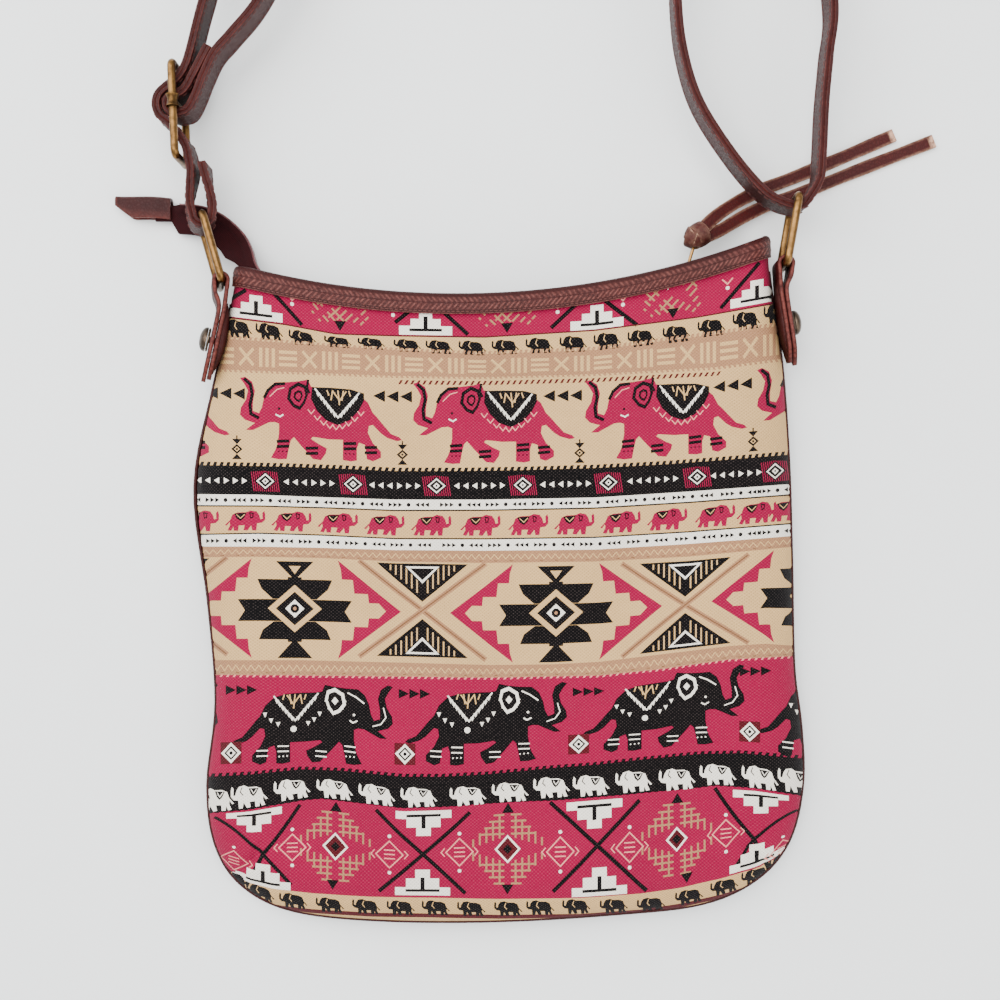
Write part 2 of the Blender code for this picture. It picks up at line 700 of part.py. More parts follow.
def strap_frames():
    """Path points of the strap in space, each with its width direction."""
    plan = strap_route()
    stand = STANDS["left"]
    straight = STANDS["left"].at.xy + stand.along.xy * RING_BARS
    points, wide = [], []
    for i, (x, y) in enumerate(plan):
        held = 1 - smoothstep(0.262, 0.335, y)
        height = STRAP_ON_TABLE + (HARDWARE_HEIGHT - STRAP_ON_TABLE) * held
        near_start = i < len(plan) * 0.12
        lean = RING_LEFT_LEAN * (1 - smoothstep(0.176, 0.200, y)) * near_start
        out = (Vector((x, y)) - straight).dot(Vector((stand.out.x, stand.out.y)).normalized())
        height += out * math.sin(lean)
        flat_out = Vector((stand.out.x, stand.out.y, 0)).normalized()
        points.append(Vector((x, y, height)))
        wide.append(Vector((0, 0, 1)) * math.cos(lean) - flat_out * math.sin(lean))
    return points, wide


def thin_out(points, wide):
    """Fewer path points where the strap runs straight, more where it turns."""
    kept, last = [0], 0
    for i in range(1, len(points) - 1):
        here = (points[i + 1] - points[i]).normalized()
        then = (points[last + 1] - points[last]).normalized()
        turned = here.angle(then)
        if turned > math.radians(13) or (points[i] - points[last]).length > 3 * STRAP_STEP:
            kept.append(i)
            last = i
    kept.append(len(points) - 1)
    return [points[i] for i in kept], [wide[i] for i in kept]


def make_strap():
    """The two-layer strap, standing on its edge, with a groove where its layers meet."""
    points, wide = thin_out(*strap_frames())
    half, width, groove = STRAP_THICKNESS / 2, STRAP_WIDTH / 2, 0.5 * MM
    profile = [
        (-half, -width), (0, -width + groove), (half, -width), (half, width), (0, width - groove),
        (-half, width),
    ]
    sideways = []
    for i, point in enumerate(points):
        before, after = points[max(i - 1, 0)], points[min(i + 1, len(points) - 1)]
        sideways.append((after - before).normalized().cross(wide[i]).normalized())
    made, faces = sweep(points, sideways, wide, [profile] * len(points))
    return link("strap", mesh_from("strap", made, faces), material("leather", 0.5))


def slide_frame_axes():
    """The slide's own frame, at its centre bar."""
    return Stand(SLIDE_AT, -1, SLIDE_TURN, 0.0)


def make_slide():
    """The slide: a bent wire frame, and a centre bar with an eye pressed round each side wire."""
    stand = slide_frame_axes()
    half = SLIDE_WIDTH / 2 - WIRE
    line = rounded_rectangle(-SLIDE_BELOW, SLIDE_ABOVE, half, SLIDE_CORNER - WIRE)
    points = [stand.point(0, along, across) for along, across in line]
    brass = material("brass", 0.35, 1.0)
    frame = link("slide_frame", wire_mesh("slide_frame", points, WIRE), brass, at=stand.at)
    ends = [stand.point(0, 0, k * (half + 0.2 * MM)) for k in (-1, 1)]
    bar = link("slide_bar", rod_mesh("slide_bar", ends[0], ends[1], SLIDE_BAR, 10), brass, at=stand.at)
    for k, name in ((-1, "low"), (1, "high")):
        base = [stand.point(0, j * EYE_LENGTH / 2, k * half) for j in (-1, 1)]
        eye_mesh = rod_mesh("slide_eye", *base, EYE_RADIUS, 14, EYE_DEPTH / EYE_RADIUS, stand.out)
        eye = link(f"slide_eye_{name}", eye_mesh)
        boolean(bar, eye, "UNION")
    for k, name in ((-1, "low"), (1, "high")):
        base = [stand.point(0, j * EYE_LENGTH, k * half) for j in (-1, 1)]
        bore = link(f"slide_bore_{name}", rod_mesh("slide_bore", *base, WIRE + CLEARANCE, 14))
        boolean(bar, bore)
    return frame, bar


def chain_angle(x, radius=CHAIN_RADIUS):
    """Angle on the mouth's arc at an x."""
    return math.asin((x - MOUTH_CENTRE.x) / radius)


def zip_route():
    """The chain's line from its right end, along the arc, and out over the left side to its tail."""
    start, end = chain_angle(SLIDER_AT), chain_angle(-0.101)
    count = 30
    line = []
    for k in range(count + 1):
        angle = start + (end - start) * k / count
        line.append((
            MOUTH_CENTRE.x + CHAIN_RADIUS * math.sin(angle),
            MOUTH_CENTRE.y - CHAIN_RADIUS * math.cos(angle), ZIP_HEIGHT,
        ))
    tail = [
        (-0.1072, 0.1470, 14.2), (-0.1118, 0.1528, 11.4), (-0.1142, 0.1600, 8.2), (-0.1180, 0.1672, 5.2),
        (-0.1240, 0.1735, 3.8), (-0.1310, 0.1782, 3.7), (-0.1390, 0.1808, 3.7), (-0.1480, 0.1815, 3.7),
    ]
    line += [(x, y, z * MM) for x, y, z in tail]
    return catmull_rom(line, 4)


def zip_frames(pitch):
    """Points a pitch apart along the chain, with the outward direction at each."""
    points = evenly(zip_route(), pitch)
    tangent = np.gradient(points, axis=0)
    tangent[:, 2] = 0
    tangent /= np.linalg.norm(tangent, axis=1)[:, None]
    outward = np.stack([tangent[:, 1], -tangent[:, 0], np.zeros(len(points))], axis=1)
    return points, outward


def make_teeth(name, side):
    """A row of teeth on its carrier. The two rows are half a pitch apart, so that they mesh."""
    pitch = TOOTH_PITCH / 2
    points, outward = zip_frames(pitch)
    first = 0 if side > 0 else 1
    marks = list(range(first, len(points) - 1, 2))
    half = CHAIN_THICKNESS / 2
    made, faces = [], []

    def corner(index, share, across, up):
        low = min(index, len(points) - 2)
        base = points[low] + (points[low + 1] - points[low]) * share
        way = outward[low] * (1 - share) + outward[low + 1] * share
        made.append(tuple(base + way * up + np.array([0, 0, side * across])))
        return len(made) - 1

    tooth = TOOTH_WIDTH / pitch
    cells = []
    for index in marks:
        cell = {}
        for up in (-half, half):
            cell[up] = [
                corner(index, 0.0, TOOTH_ROOT + CARRIER, up), corner(index, 0.0, TOOTH_ROOT, up),
                corner(index, 0.0, -TOOTH_REACH, up), corner(index, tooth, -TOOTH_REACH, up),
                corner(index, tooth, TOOTH_ROOT, up),
            ]
        cells.append(cell)
    end = {
        up: [corner(len(points) - 2, 0.98, across, up) for across in (TOOTH_ROOT + CARRIER, TOOTH_ROOT)]
        for up in (-half, half)
    }
    for cell, after in zip(cells, cells[1:] + [end]):
        for up in (-half, half):
            outer, root, tip, tip_end, root_end = cell[up]
            faces.append((outer, root, tip, tip_end, root_end, after[up][1], after[up][0]))
        low, high = cell[-half], cell[half]
        for a, b in ((1, 2), (2, 3), (3, 4)):
            faces.append((low[a], high[a], high[b], low[b]))
        faces.append((low[4], high[4], after[half][1], after[-half][1]))
        faces.append((low[0], after[-half][0], after[half][0], high[0]))
    faces.append((cells[0][-half][0], cells[0][half][0], cells[0][half][1], cells[0][-half][1]))
    faces.append((end[-half][0], end[-half][1], end[half][1], end[half][0]))
    obj = link(name, mesh_from(name, made, faces), material("zip", 0.4), smooth=False)
    return obj


def tape_section(share, room):
    """Tape's centre line at a place, as (across, outward): spread in the mouth, folded in the tail."""
    edge = TOOTH_ROOT + CARRIER + CLEARANCE + TAPE / 2
    mouth = [(edge, 0.0), (edge + 3.2 * MM, -1.0 * MM), (8.9 * MM, -4.2 * MM), (9.2 * MM, -9.0 * MM)]
    tail = [(edge, 0.0), (edge - 0.5 * MM, -2.4 * MM), (1.0 * MM, -4.6 * MM), (0.7 * MM, -room)]
    return [
        (a[0] * (1 - share) + b[0] * share, a[1] * (1 - share) + b[1] * share)
        for a, b in zip(mouth, tail)
    ]


def make_tape(name, side):
    """One half of the zip tape, from its row of teeth to the binding, and on along the tail."""
    points, outward = zip_frames(8.6 * MM)
    points = np.vstack([points, points[-1] - (TAPE_FLAT, 0, 0), points[-1] - (TAPE_END, 0, 0)])
    outward = np.vstack([outward, outward[-1], outward[-1]])
    made, faces = [], []
    half = TAPE / 2
    for i, (point, way) in enumerate(zip(points, outward)):
        share = float(smoothstep(0.1035, 0.1125, -point[0]))
        room = 5.2 * MM + 7.6 * MM * float(smoothstep(0.150, 0.164, point[1]))
        line = np.array(tape_section(share, room))
        if i >= len(points) - 2:
            line = np.array([(TAPE / 2 + 0.2 * MM, back) for back in (0, -2.4 * MM, -4.6 * MM, -7.0 * MM)])
        slope = np.gradient(line, axis=0)
        slope /= np.linalg.norm(slope, axis=1)[:, None]
        normal = np.stack([slope[:, 1], -slope[:, 0]], axis=1)
        loop = [*(line + normal * half), *(line - normal * half)[::-1]]
        made += [tuple(point + way * up + np.array([0, 0, side * across])) for across, up in loop]
    count = 8
    for i in range(len(points) - 1):
        for k in range(count):
            a, b = i * count + k, i * count + (k + 1) % count
            faces.append((a, b, b + count, a + count))
    for base in (0, (len(points) - 1) * count):
        for k in range(3):
            faces.append((base + k, base + k + 1, base + count - 2 - k, base + count - 1 - k))
    return link(name, mesh_from(name, made, faces), material("zip", 0.8))


class SliderFrame:
    """The slider's frame on the arc: along the chain to the right, outward, and across."""

    def __init__(self):
        angle = chain_angle(SLIDER_AT)
        self.along = Vector((math.cos(angle), math.sin(angle), 0))
        self.outward = Vector((-math.sin(angle), math.cos(angle), 0))
        self.at = Vector((
            MOUTH_CENTRE.x + CHAIN_RADIUS * math.sin(angle),
            MOUTH_CENTRE.y - CHAIN_RADIUS * math.cos(angle), ZIP_HEIGHT,
        ))

    def point(self, along, outward, across):
        """World place of a local point."""
        return self.at + self.along * along + self.outward * outward + Vector((0, 0, across))


def box_mesh(name, frame, low, high):
    """A box between two corners in the slider's frame."""
    points = [
        frame.point(x, y, z) for x in (low[0], high[0]) for y in (low[1], high[1]) for z in (low[2], high[2])
    ]
    faces = [(0, 1, 3, 2), (4, 6, 7, 5), (0, 4, 5, 1), (2, 3, 7, 6), (0, 2, 6, 4), (1, 5, 7, 3)]
    return mesh_from(name, points, faces)


def make_slider():
    """The slider: two flared plates, the wedge that parts the teeth, side flanges and a crown."""
    frame = SliderFrame()
    room = CHAIN_THICKNESS / 2 + CLEARANCE
    tail, nose = -SLIDER_LENGTH * 0.55, SLIDER_LENGTH * 0.45
    wide, narrow = SLIDER_WIDTH / 2, SLIDER_WIDTH * 0.42
    outline = [
        (tail, -narrow), (-0.5 * MM, -narrow), (nose - 2 * MM, -wide), (nose, -wide + 0.8 * MM),
        (nose, wide - 0.8 * MM), (nose - 2 * MM, wide), (-0.5 * MM, narrow), (tail, narrow),
    ]
    brass = material("brass", 0.35, 1.0)
    count = len(outline)

    def plate(name, low, high):
        points = [frame.point(x, low, z) for x, z in outline] + [frame.point(x, high, z) for x, z in outline]
        faces = [tuple(range(count)), tuple(range(count, 2 * count))]
        faces += [(k, (k + 1) % count, count + (k + 1) % count, count + k) for k in range(count)]
        return link(name, mesh_from(name, points, faces), brass)

    slider = plate("zip_slider", room, room + PLATE)
    boolean(slider, wedge_object(frame, room, nose), "UNION")
    boolean(slider, plate("slider_lower_plate", -room - PLATE, -room), "UNION")
    for sign, name in ((-1, "back"), (1, "front")):
        for low, high, part in ((room - 0.55 * MM, room + PLATE / 2, "upper"),
                                (-room - PLATE / 2, -room + 0.55 * MM, "lower")):
            inner, outer = sorted((sign * (narrow - 0.7 * MM), sign * narrow))
            flange = box_mesh("flange", frame, (tail + 0.3 * MM, low, inner), (-0.6 * MM, high, outer))
            boolean(slider, link(f"flange_{name}_{part}", flange), "UNION")
    crown_line = [
        (-3.0, 0.2), (-2.6, 1.6), (-1.6, 2.4), (0.0, CROWN_RISE / MM), (1.6, 2.4), (2.6, 1.6), (3.0, 0.2),
    ]
    line = np.array(crown_line) * MM
    slope = np.gradient(line, axis=0)
    slope /= np.linalg.norm(slope, axis=1)[:, None]
    top = room + PLATE
    points = [frame.point(x, top - 0.3 * MM + y, 0) for x, y in line]
    ways = [frame.outward * dx - frame.along * dy for dx, dy in slope]
    half, width = 0.45 * MM, CROWN_WIDTH / 2
    section = [(-half, -width), (half, -width), (half, width), (-half, width)]
    made, faces = sweep(points, ways, [Vector((0, 0, 1))] * len(points), [section] * len(points))
    crown = link("slider_crown", mesh_from("slider_crown", made, faces), brass)
    boolean(slider, crown, "UNION")
    return slider


def wedge_object(frame, room, nose):
    """The post between the slider's plates, a diamond in plan."""
    reach = room + PLATE / 2
    diamond = [(nose - 4.2 * MM, 0), (nose - 2.2 * MM, -1.2 * MM), (nose - 0.3 * MM, 0), (nose - 2.2 * MM, 1.2 * MM)]
    points = [frame.point(x, -reach, z) for x, z in diamond] + [frame.point(x, reach, z) for x, z in diamond]
    faces = [(0, 1, 2, 3), (7, 6, 5, 4)] + [(k, (k + 1) % 4, 4 + (k + 1) % 4, 4 + k) for k in range(4)]
    return link("slider_wedge", mesh_from("slider_wedge", points, faces))


def bail_pivot():
    """The line that the bail turns on, under the slider's crown."""
    frame = SliderFrame()
    crown_top = CHAIN_THICKNESS / 2 + CLEARANCE + PLATE - 0.3 * MM + CROWN_RISE
    return frame.point(0, crown_top - 0.45 * MM - CLEARANCE - BAIL_WIRE, 0)


def bail_points():
    """Centre line of the bail, a wire loop from the crown to the thong's knot."""
    pivot = bail_pivot()
    way = (KNOT_AT - pivot).normalized()
    line = rounded_rectangle(0, BAIL_LENGTH, BAIL_WIDTH / 2 - BAIL_WIRE, 1.4 * MM, steps=3)
    up = (Vector((0, 0, 1)) - way * way.z).normalized()
    return [pivot + way * along + up * across for along, across in line]


def make_bail():
    """The wire loop that joins the thong to the slider."""
    mesh = wire_mesh("zip_bail", bail_points(), BAIL_WIRE, sides=6)
    return link("zip_bail", mesh, material("brass", 0.35, 1.0), at=bail_pivot())


def make_thong():
    """The knotted thong: a knot on the bail and two flat tails that drop to the table."""
    leather = material("leather", 0.5)
    shape = bmesh.new()
    bmesh.ops.create_uvsphere(shape, u_segments=12, v_segments=8, radius=KNOT_RADIUS)
    bmesh.ops.scale(shape, vec=(1.0, 0.92, 0.86), verts=shape.verts)
    bmesh.ops.translate(shape, vec=KNOT_AT, verts=shape.verts)
    mesh = bpy.data.meshes.new("zip_pull_thong")
    shape.to_mesh(mesh)
    shape.free()
    thong = link("zip_pull_thong", mesh, leather, at=bail_pivot())
    tails = {
        "upper": [(1.0, 1.6, 0.5), (9.0, 9.5, -3.0), (20.0, 17.5, -8.6), (32.0, 24.0, -12.4),
                  (46.0, 29.5, -13.3), (68.0, 38.5, -13.3), (93.5, 49.5, -13.3)],
        "lower": [(1.0, -1.6, 0.5), (11.0, 3.2, -3.0), (23.0, 10.8, -8.6), (35.5, 17.2, -12.4),
                  (50.0, 22.4, -13.3), (80.0, 34.4, -13.3), (112.0, 46.8, -13.3)],
    }
    half, width = THONG_THICKNESS / 2, THONG_WIDTH / 2
    section = [(-width, -half), (width, -half), (width, half), (-width, half)]
    for name, line in tails.items():
        points = [Vector(p) for p in (catmull_rom(line, 2) * MM + np.array(KNOT_AT)).tolist()]
        sideways, up = [], []
        for i in range(len(points)):
            way = (points[min(i + 1, len(points) - 1)] - points[max(i - 1, 0)]).normalized()
            side = way.cross(Vector((0, 0, 1))).normalized()
            sideways.append(side)
            up.append(side.cross(way).normalized())
        made, faces = sweep(points, sideways, up, [section] * len(points))
        tail = link(f"thong_tail_{name}", mesh_from("tail", made, faces))
        boolean(thong, tail, "UNION")
    collar = bmesh.new()
    bmesh.ops.create_uvsphere(collar, u_segments=10, v_segments=6, radius=KNOT_RADIUS * 0.72)
    bmesh.ops.translate(collar, vec=KNOT_AT + Vector((4.6, 4.4, -0.4)) * MM, verts=collar.verts)
    collar_mesh = bpy.data.meshes.new("thong_collar")
    collar.to_mesh(collar_mesh)
    collar.free()
    boolean(thong, link("thong_collar", collar_mesh), "UNION")
    groove = link("bail_groove", wire_mesh("bail_groove", bail_points(), BAIL_WIRE + CLEARANCE, 6))
    boolean(thong, groove)
    return thong


def make_stop(name, side):
    """A top stop: a short clip on the tape's edge, just past the slider."""
    frame = SliderFrame()
    start = SLIDER_LENGTH * 0.45 + 0.6 * MM
    inner = side * (TOOTH_ROOT + 0.2 * MM)
    outer = side * (TOOTH_ROOT + CARRIER)
    low, high = sorted((inner, outer))
    half = CHAIN_THICKNESS / 2
    mesh = box_mesh(name, frame, (start, -half, low), (start + STOP_LENGTH, half, high))
    return link(name, mesh, material("brass", 0.35, 1.0), smooth=False)


def make_end_tab():
    """The folded leather tab over the zip's loose end, its fold to the strap's side, cut at a slant."""
    right = -0.1520
    points, sections = [], []
    room, thick = END_TAB_ROOM, END_TAB_LEATHER
    for share in (0.0, 0.35, 0.7, 0.85, 1.0):
        points.append(Vector((right - END_TAB_LENGTH * share, 0.1850 + 1.2 * MM * share, 3.5 * MM)))
        drop = END_TAB_DROP * (1 - 0.55 * max(0.0, share - 0.7) / 0.3)
        half = [
            (0.0, room * 0.4 + thick / 2), (-1.4 * MM, room + thick), (-drop, room + thick), (-drop, room),
            (-thick - 0.5 * MM, room), (-thick, room * 0.5),
        ]
        sections.append(half + [(y, -z) for y, z in half[::-1]])
    across = [Vector((0, 1, 0))] * len(points)
    up = [Vector((0, 0, 1))] * len(points)
    made, faces = sweep(points, across, up, sections)
    return link("zip_end_tab", mesh_from("zip_end_tab", made, faces), material("leather_dark", 0.5))


def main():
    """Build every piece of the bag."""
    clear_scene()
    front = make_front_panel()
    make_back_panel()
    lining = make_lining()
    make_binding("front_binding", True)
    make_binding("back_binding", False)
    for side in ("left", "right"):
        make_ring(side)
        make_tab(side)
        make_rivet(side)
        for wall in (front, lining):
            boolean(wall, rivet_hole(side))
    make_strap()
    make_slide()
    for name, side in (("front", 1), ("back", -1)):
        make_teeth(f"zip_teeth_{name}", side)
        make_tape(f"zip_tape_{name}", side)
        make_stop(f"zip_stop_{name}", side)
    make_slider()
    make_bail()
    make_thong()
    make_end_tab()


main()
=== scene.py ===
"""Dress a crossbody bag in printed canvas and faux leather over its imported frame.

The bag lies on its plain back with the print up. +X is the viewer's right, +Y points to the mouth and
the strap, and +Z is up. All lengths are in metres, and the print's layout is drawn in the thousandths of
the picture's side that its bands and figures were measured in.
"""

import logging
import math
from dataclasses import dataclass, field
from enum import Enum

import bmesh
import bpy
import numpy as np
from mathutils import Matrix, Vector
from mathutils.geometry import delaunay_2d_cdt


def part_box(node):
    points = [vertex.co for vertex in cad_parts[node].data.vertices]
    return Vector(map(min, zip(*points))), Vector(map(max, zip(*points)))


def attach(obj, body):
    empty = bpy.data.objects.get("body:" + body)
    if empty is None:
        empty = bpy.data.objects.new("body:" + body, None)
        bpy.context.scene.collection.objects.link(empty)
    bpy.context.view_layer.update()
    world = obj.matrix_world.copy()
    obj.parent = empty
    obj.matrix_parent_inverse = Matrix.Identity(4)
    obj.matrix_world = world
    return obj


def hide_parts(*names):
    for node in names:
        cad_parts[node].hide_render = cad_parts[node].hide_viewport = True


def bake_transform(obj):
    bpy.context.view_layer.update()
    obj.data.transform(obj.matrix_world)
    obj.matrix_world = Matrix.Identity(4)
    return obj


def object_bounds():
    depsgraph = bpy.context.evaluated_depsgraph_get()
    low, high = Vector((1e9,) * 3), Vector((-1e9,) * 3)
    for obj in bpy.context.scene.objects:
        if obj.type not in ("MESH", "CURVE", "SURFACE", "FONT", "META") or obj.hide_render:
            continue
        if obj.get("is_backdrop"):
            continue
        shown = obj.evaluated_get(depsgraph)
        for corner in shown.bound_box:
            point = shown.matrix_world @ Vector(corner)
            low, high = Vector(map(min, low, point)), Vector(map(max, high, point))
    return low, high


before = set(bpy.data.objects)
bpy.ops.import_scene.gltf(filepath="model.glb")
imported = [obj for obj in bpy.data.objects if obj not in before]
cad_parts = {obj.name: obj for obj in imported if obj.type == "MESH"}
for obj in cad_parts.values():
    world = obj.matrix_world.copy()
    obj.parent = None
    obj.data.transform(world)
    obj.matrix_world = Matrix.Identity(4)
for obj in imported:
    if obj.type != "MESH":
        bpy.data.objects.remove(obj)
CAD_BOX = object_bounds()

LOG = logging.getLogger("bag")
MM = 0.001
CLEARANCE = 0.3 * MM

# Bag body: the outline seen from above, from the left of the mouth round the bottom to the right
OUTLINE = [
    (-0.1185, 0.176), (-0.1200, 0.150), (-0.1300, 0.100), (-0.1385, 0.052), (-0.1330, 0.000),
    (-0.1297, -0.047), (-0.1335, -0.085), (-0.1300, -0.112), (-0.1180, -0.1305), (-0.0950, -0.1420),
    (-0.0550, -0.1465), (0.0000, -0.1468), (0.0550, -0.1435), (0.0925, -0.1390), (0.1170, -0.1280),
    (0.1320, -0.1105), (0.1382, -0.085), (0.1375, -0.058), (0.1342, -0.030), (0.1332, 0.020),
    (0.1318, 0.065), (0.1285, 0.110), (0.1228, 0.150), (0.1212, 0.188),
]
LEFT_CORNER = 8
RIGHT_CORNER = 14
SEAM_HEIGHT = 10 * MM
FRONT_HEIGHT = 28.5 * MM
BELLY = 4 * MM
BOTTOM_DROP = 5 * MM
CANVAS = 1.6 * MM
LINING = 0.8 * MM
LINING_GAP = 0.5 * MM
CLOTH_SPREAD = 7 * MM
EDGE_ROUND = 32 * MM
MOUTH_ROUND = 12 * MM
BACK_ROUND = 14 * MM
ROUND_FROM = 0.150
ROUND_TO = 0.070
MOUTH_LIFT = 2.4 * MM
MOUTH_CENTRE = Vector((-0.0187, 0.5122))
MOUTH_RADIUS = 375.4 * MM
BINDING_THICKNESS = 1.2 * MM
BINDING_HEIGHT = 9 * MM
BINDING_GAP = 0.6 * MM
BINDING_SHARES = (0.025, 0.975)
PANEL_DROP = 1.4 * MM

# Wire rings, tabs, strap and slide
WIRE = 1.8 * MM
RING_LENGTH = 34 * MM
RING_WIDTH = 26.8 * MM
RING_CORNER = 4.8 * MM
HARDWARE_HEIGHT = 19.2 * MM
RING_BARS = RING_LENGTH - 2 * WIRE
RING_LEFT_LEAN = math.radians(14)
RING_RIGHT_LEAN = math.radians(3)
TAB_WIDTH = 17 * MM
TAB_LAYER = 1.9 * MM
TAB_TIP = 45 * MM
TAB_TAPER = 11 * MM
BACKING_LEFT = 3.0 * MM
BACKING_RIGHT = 1.6 * MM
BACKING_START = -41 * MM
BACKING_LENGTH = 33 * MM
BACKING_HALF = 7.4 * MM
BACKING_ROWS = 26
LOOP_OFFSET = 0.9 * MM
RIVET_DOWN = 26 * MM
RIVET_CAP = 5.5 * MM
RIVET_RISE = 3.4 * MM
RIVET_POST = 1.5 * MM
STRAP_WIDTH = 17 * MM
STRAP_THICKNESS = 3.6 * MM
SLIDE_AT = Vector((-0.1449, 0.2223, HARDWARE_HEIGHT))
SLIDE_TURN = math.radians(2.3)
SLIDE_ABOVE = 17.6 * MM
SLIDE_BELOW = 23.5 * MM
SLIDE_WIDTH = 27.4 * MM
SLIDE_CORNER = 4.8 * MM
SLIDE_BAR = 1.7 * MM
EYE_RADIUS = 3.8 * MM
EYE_LENGTH = 3.6 * MM

# Zip
ZIP_HEIGHT = 15.3 * MM
CHAIN_RADIUS = MOUTH_RADIUS + 3 * MM
TOOTH_ROOT = 0.75 * MM
CARRIER = 1.6 * MM
TAPE = 0.7 * MM
SLIDER_AT = 0.0860
KNOT_AT = Vector((0.0895, 0.1655, 0.0145))
KNOT_RADIUS = 6.2 * MM
THONG_WIDTH = 6.2 * MM
THONG_THICKNESS = 2.2 * MM
TAPE_FLAT = 3.6 * MM
TAPE_END = 11 * MM

Points = np.ndarray
Faces = list[tuple[int, ...]]


def smoothstep(low: float, high: float, value: Points | float) -> Points | float:
    """Rise smoothly from 0 to 1 between two values.

    Args:
        low: value up to which the result is 0.
        high: value from which the result is 1.
        value: what is looked up.

    Returns:
        The share, of the same shape as value.
    """
    share = np.clip((value - low) / (high - low), 0.0, 1.0)
    return share * share * (3 - 2 * share)


def catmull_rom(points: list, spans: int) -> Points:
    """Draw a smooth curve through points.

    Args:
        points: the points that the curve passes.
        spans: how many spans lie between each two.

    Returns:
        The curve's points, one row each.
    """
    points = np.array([tuple(p) for p in points], float)
    ends = np.vstack([2 * points[0] - points[1], points, 2 * points[-1] - points[-2]])
    curve = []
    for i in range(len(points) - 1):
        a, b, c, d = ends[i : i + 4]
        for share in np.arange(spans) / spans:
            curve.append(
                0.5 * (2 * b + (c - a) * share + (2 * a - 5 * b + 4 * c - d) * share**2
                       + (3 * b - a - 3 * c + d) * share**3)
            )
    curve.append(points[-1])
    return np.array(curve)


def evenly(curve: Points, step: float) -> Points:
    """Place points about a step apart on the same curve.

    Args:
        curve: the curve's points.
        step: wanted distance.

    Returns:
        The new points, with the curve's own ends.
    """
    gone = np.concatenate([[0], np.cumsum(np.linalg.norm(np.diff(curve, axis=0), axis=1))])
    marks = np.linspace(0, gone[-1], max(2, round(gone[-1] / step) + 1))
    return np.stack([np.interp(marks, gone, curve[:, k]) for k in range(curve.shape[1])], axis=1)


class Outline:
    """The bag's outline, and how far in from it a point lies."""

    SPANS = 6

    def __init__(self) -> None:
        """Draw the outline, its inward directions and the line where the cloth ends."""
        self.line = catmull_rom(OUTLINE, self.SPANS)
        tangent = np.gradient(self.line, axis=0)
        tangent /= np.linalg.norm(tangent, axis=1)[:, None]
        self.inward = np.stack([-tangent[:, 1], tangent[:, 0]], axis=1)
        self.outer = self.line - CLOTH_SPREAD * self.inward

    def nearest(self, points: Points) -> tuple[Points, Points]:
        """Measure in from the outline.

        Args:
            points: plan points.

        Returns:
            Distance in from the outline and the direction inwards, for each point.
        """
        distances, ways = [], []
        for start_row in range(0, len(points), 4000):
            part_points = points[start_row : start_row + 4000]
            start, step = self.line[:-1], np.diff(self.line, axis=0)
            share = ((part_points[:, None] - start) * step).sum(-1) / (step**2).sum(-1)
            share = np.clip(share, 0, 1)
            foot = start + share[..., None] * step
            near = np.linalg.norm(part_points[:, None] - foot, axis=-1).argmin(axis=1)
            rows = np.arange(len(part_points))
            part = share[rows, near][:, None]
            inward = self.inward[near] * (1 - part) + self.inward[near + 1] * part
            inward /= np.linalg.norm(inward, axis=1)[:, None]
            distances.append(((part_points - foot[rows, near]) * inward).sum(-1))
            ways.append(inward)
        return np.concatenate(distances), np.vstack(ways)

    def crossing(self, side: int, drop: float) -> int:
        """Find where the cloth's edge meets the mouth's arc.

        Args:
            side: -1 for the left, 1 for the right.
            drop: how far below the arc.

        Returns:
            Index in the outer line.
        """
        far = np.linalg.norm(self.outer - np.array(MOUTH_CENTRE), axis=1)
        gap = np.where(self.outer[:, 0] * side > 0, np.abs(far - MOUTH_RADIUS - drop), 1.0)
        return int(gap.argmin())


OUTER = Outline()

# Gentle swells of the laid cloth: place, reach and height, all in metres
SWELLS = [
    (-0.070, 0.020, 0.050, 0.9 * MM), (0.055, -0.020, 0.055, 0.8 * MM), (-0.030, -0.085, 0.040, 0.7 * MM),
    (0.080, 0.075, 0.040, 0.7 * MM), (-0.095, -0.060, 0.030, -0.6 * MM), (0.010, 0.085, 0.045, -0.6 * MM),
    (0.100, -0.080, 0.030, -0.5 * MM), (-0.010, 0.030, 0.035, -0.5 * MM), (0.105, 0.020, 0.028, 0.5 * MM),
]
# Sewn darts at the two bottom corners: start, end, depth
DARTS = [((-0.104, -0.108), (-0.1195, -0.1265), 1.5 * MM), ((0.107, -0.106), (0.122, -0.122), 1.5 * MM)]


def swell(points: Points) -> Points:
    """Tell how far the laid cloth stands out or in.

    Args:
        points: cloth points.

    Returns:
        Height for each point, fading out at the mouth and at the seam.
    """
    x, y = points[:, 0], points[:, 1]
    height = np.zeros(len(points))
    for across, along, reach, rise in SWELLS:
        height += rise * np.exp(-((x - across) ** 2 + (y - along) ** 2) / reach**2)
    height += 0.18 * MM * np.sin(x * 210 + 1.3 * np.sin(y * 90)) * np.sin(y * 170 + 0.8)
    for start, end, depth in DARTS:
        start, end = np.array(start), np.array(end)
        way = (end - start) / np.linalg.norm(end - start)
        along = ((points - start) @ way) / np.linalg.norm(end - start)
        aside = (points - start) @ np.array([-way[1], way[0]])
        ends = smoothstep(-0.25, 0.25, along) * (1 - smoothstep(1.15, 1.45, along))
        height -= depth * ends * np.exp(-((aside / (1.5 * MM)) ** 2))
        height += 0.45 * depth * ends * np.exp(-(((np.abs(aside) - 5 * MM) / (3 * MM)) ** 2))
    distance, _ = OUTER.nearest(points)
    drop = np.linalg.norm(points - np.array(MOUTH_CENTRE), axis=1) - MOUTH_RADIUS
    tabs = 1 - smoothstep(0.070, 0.095, y) * smoothstep(0.090, 0.105, np.abs(x))
    return height * smoothstep(-4 * MM, 6 * MM, distance) * smoothstep(14 * MM, 30 * MM, drop) * tabs


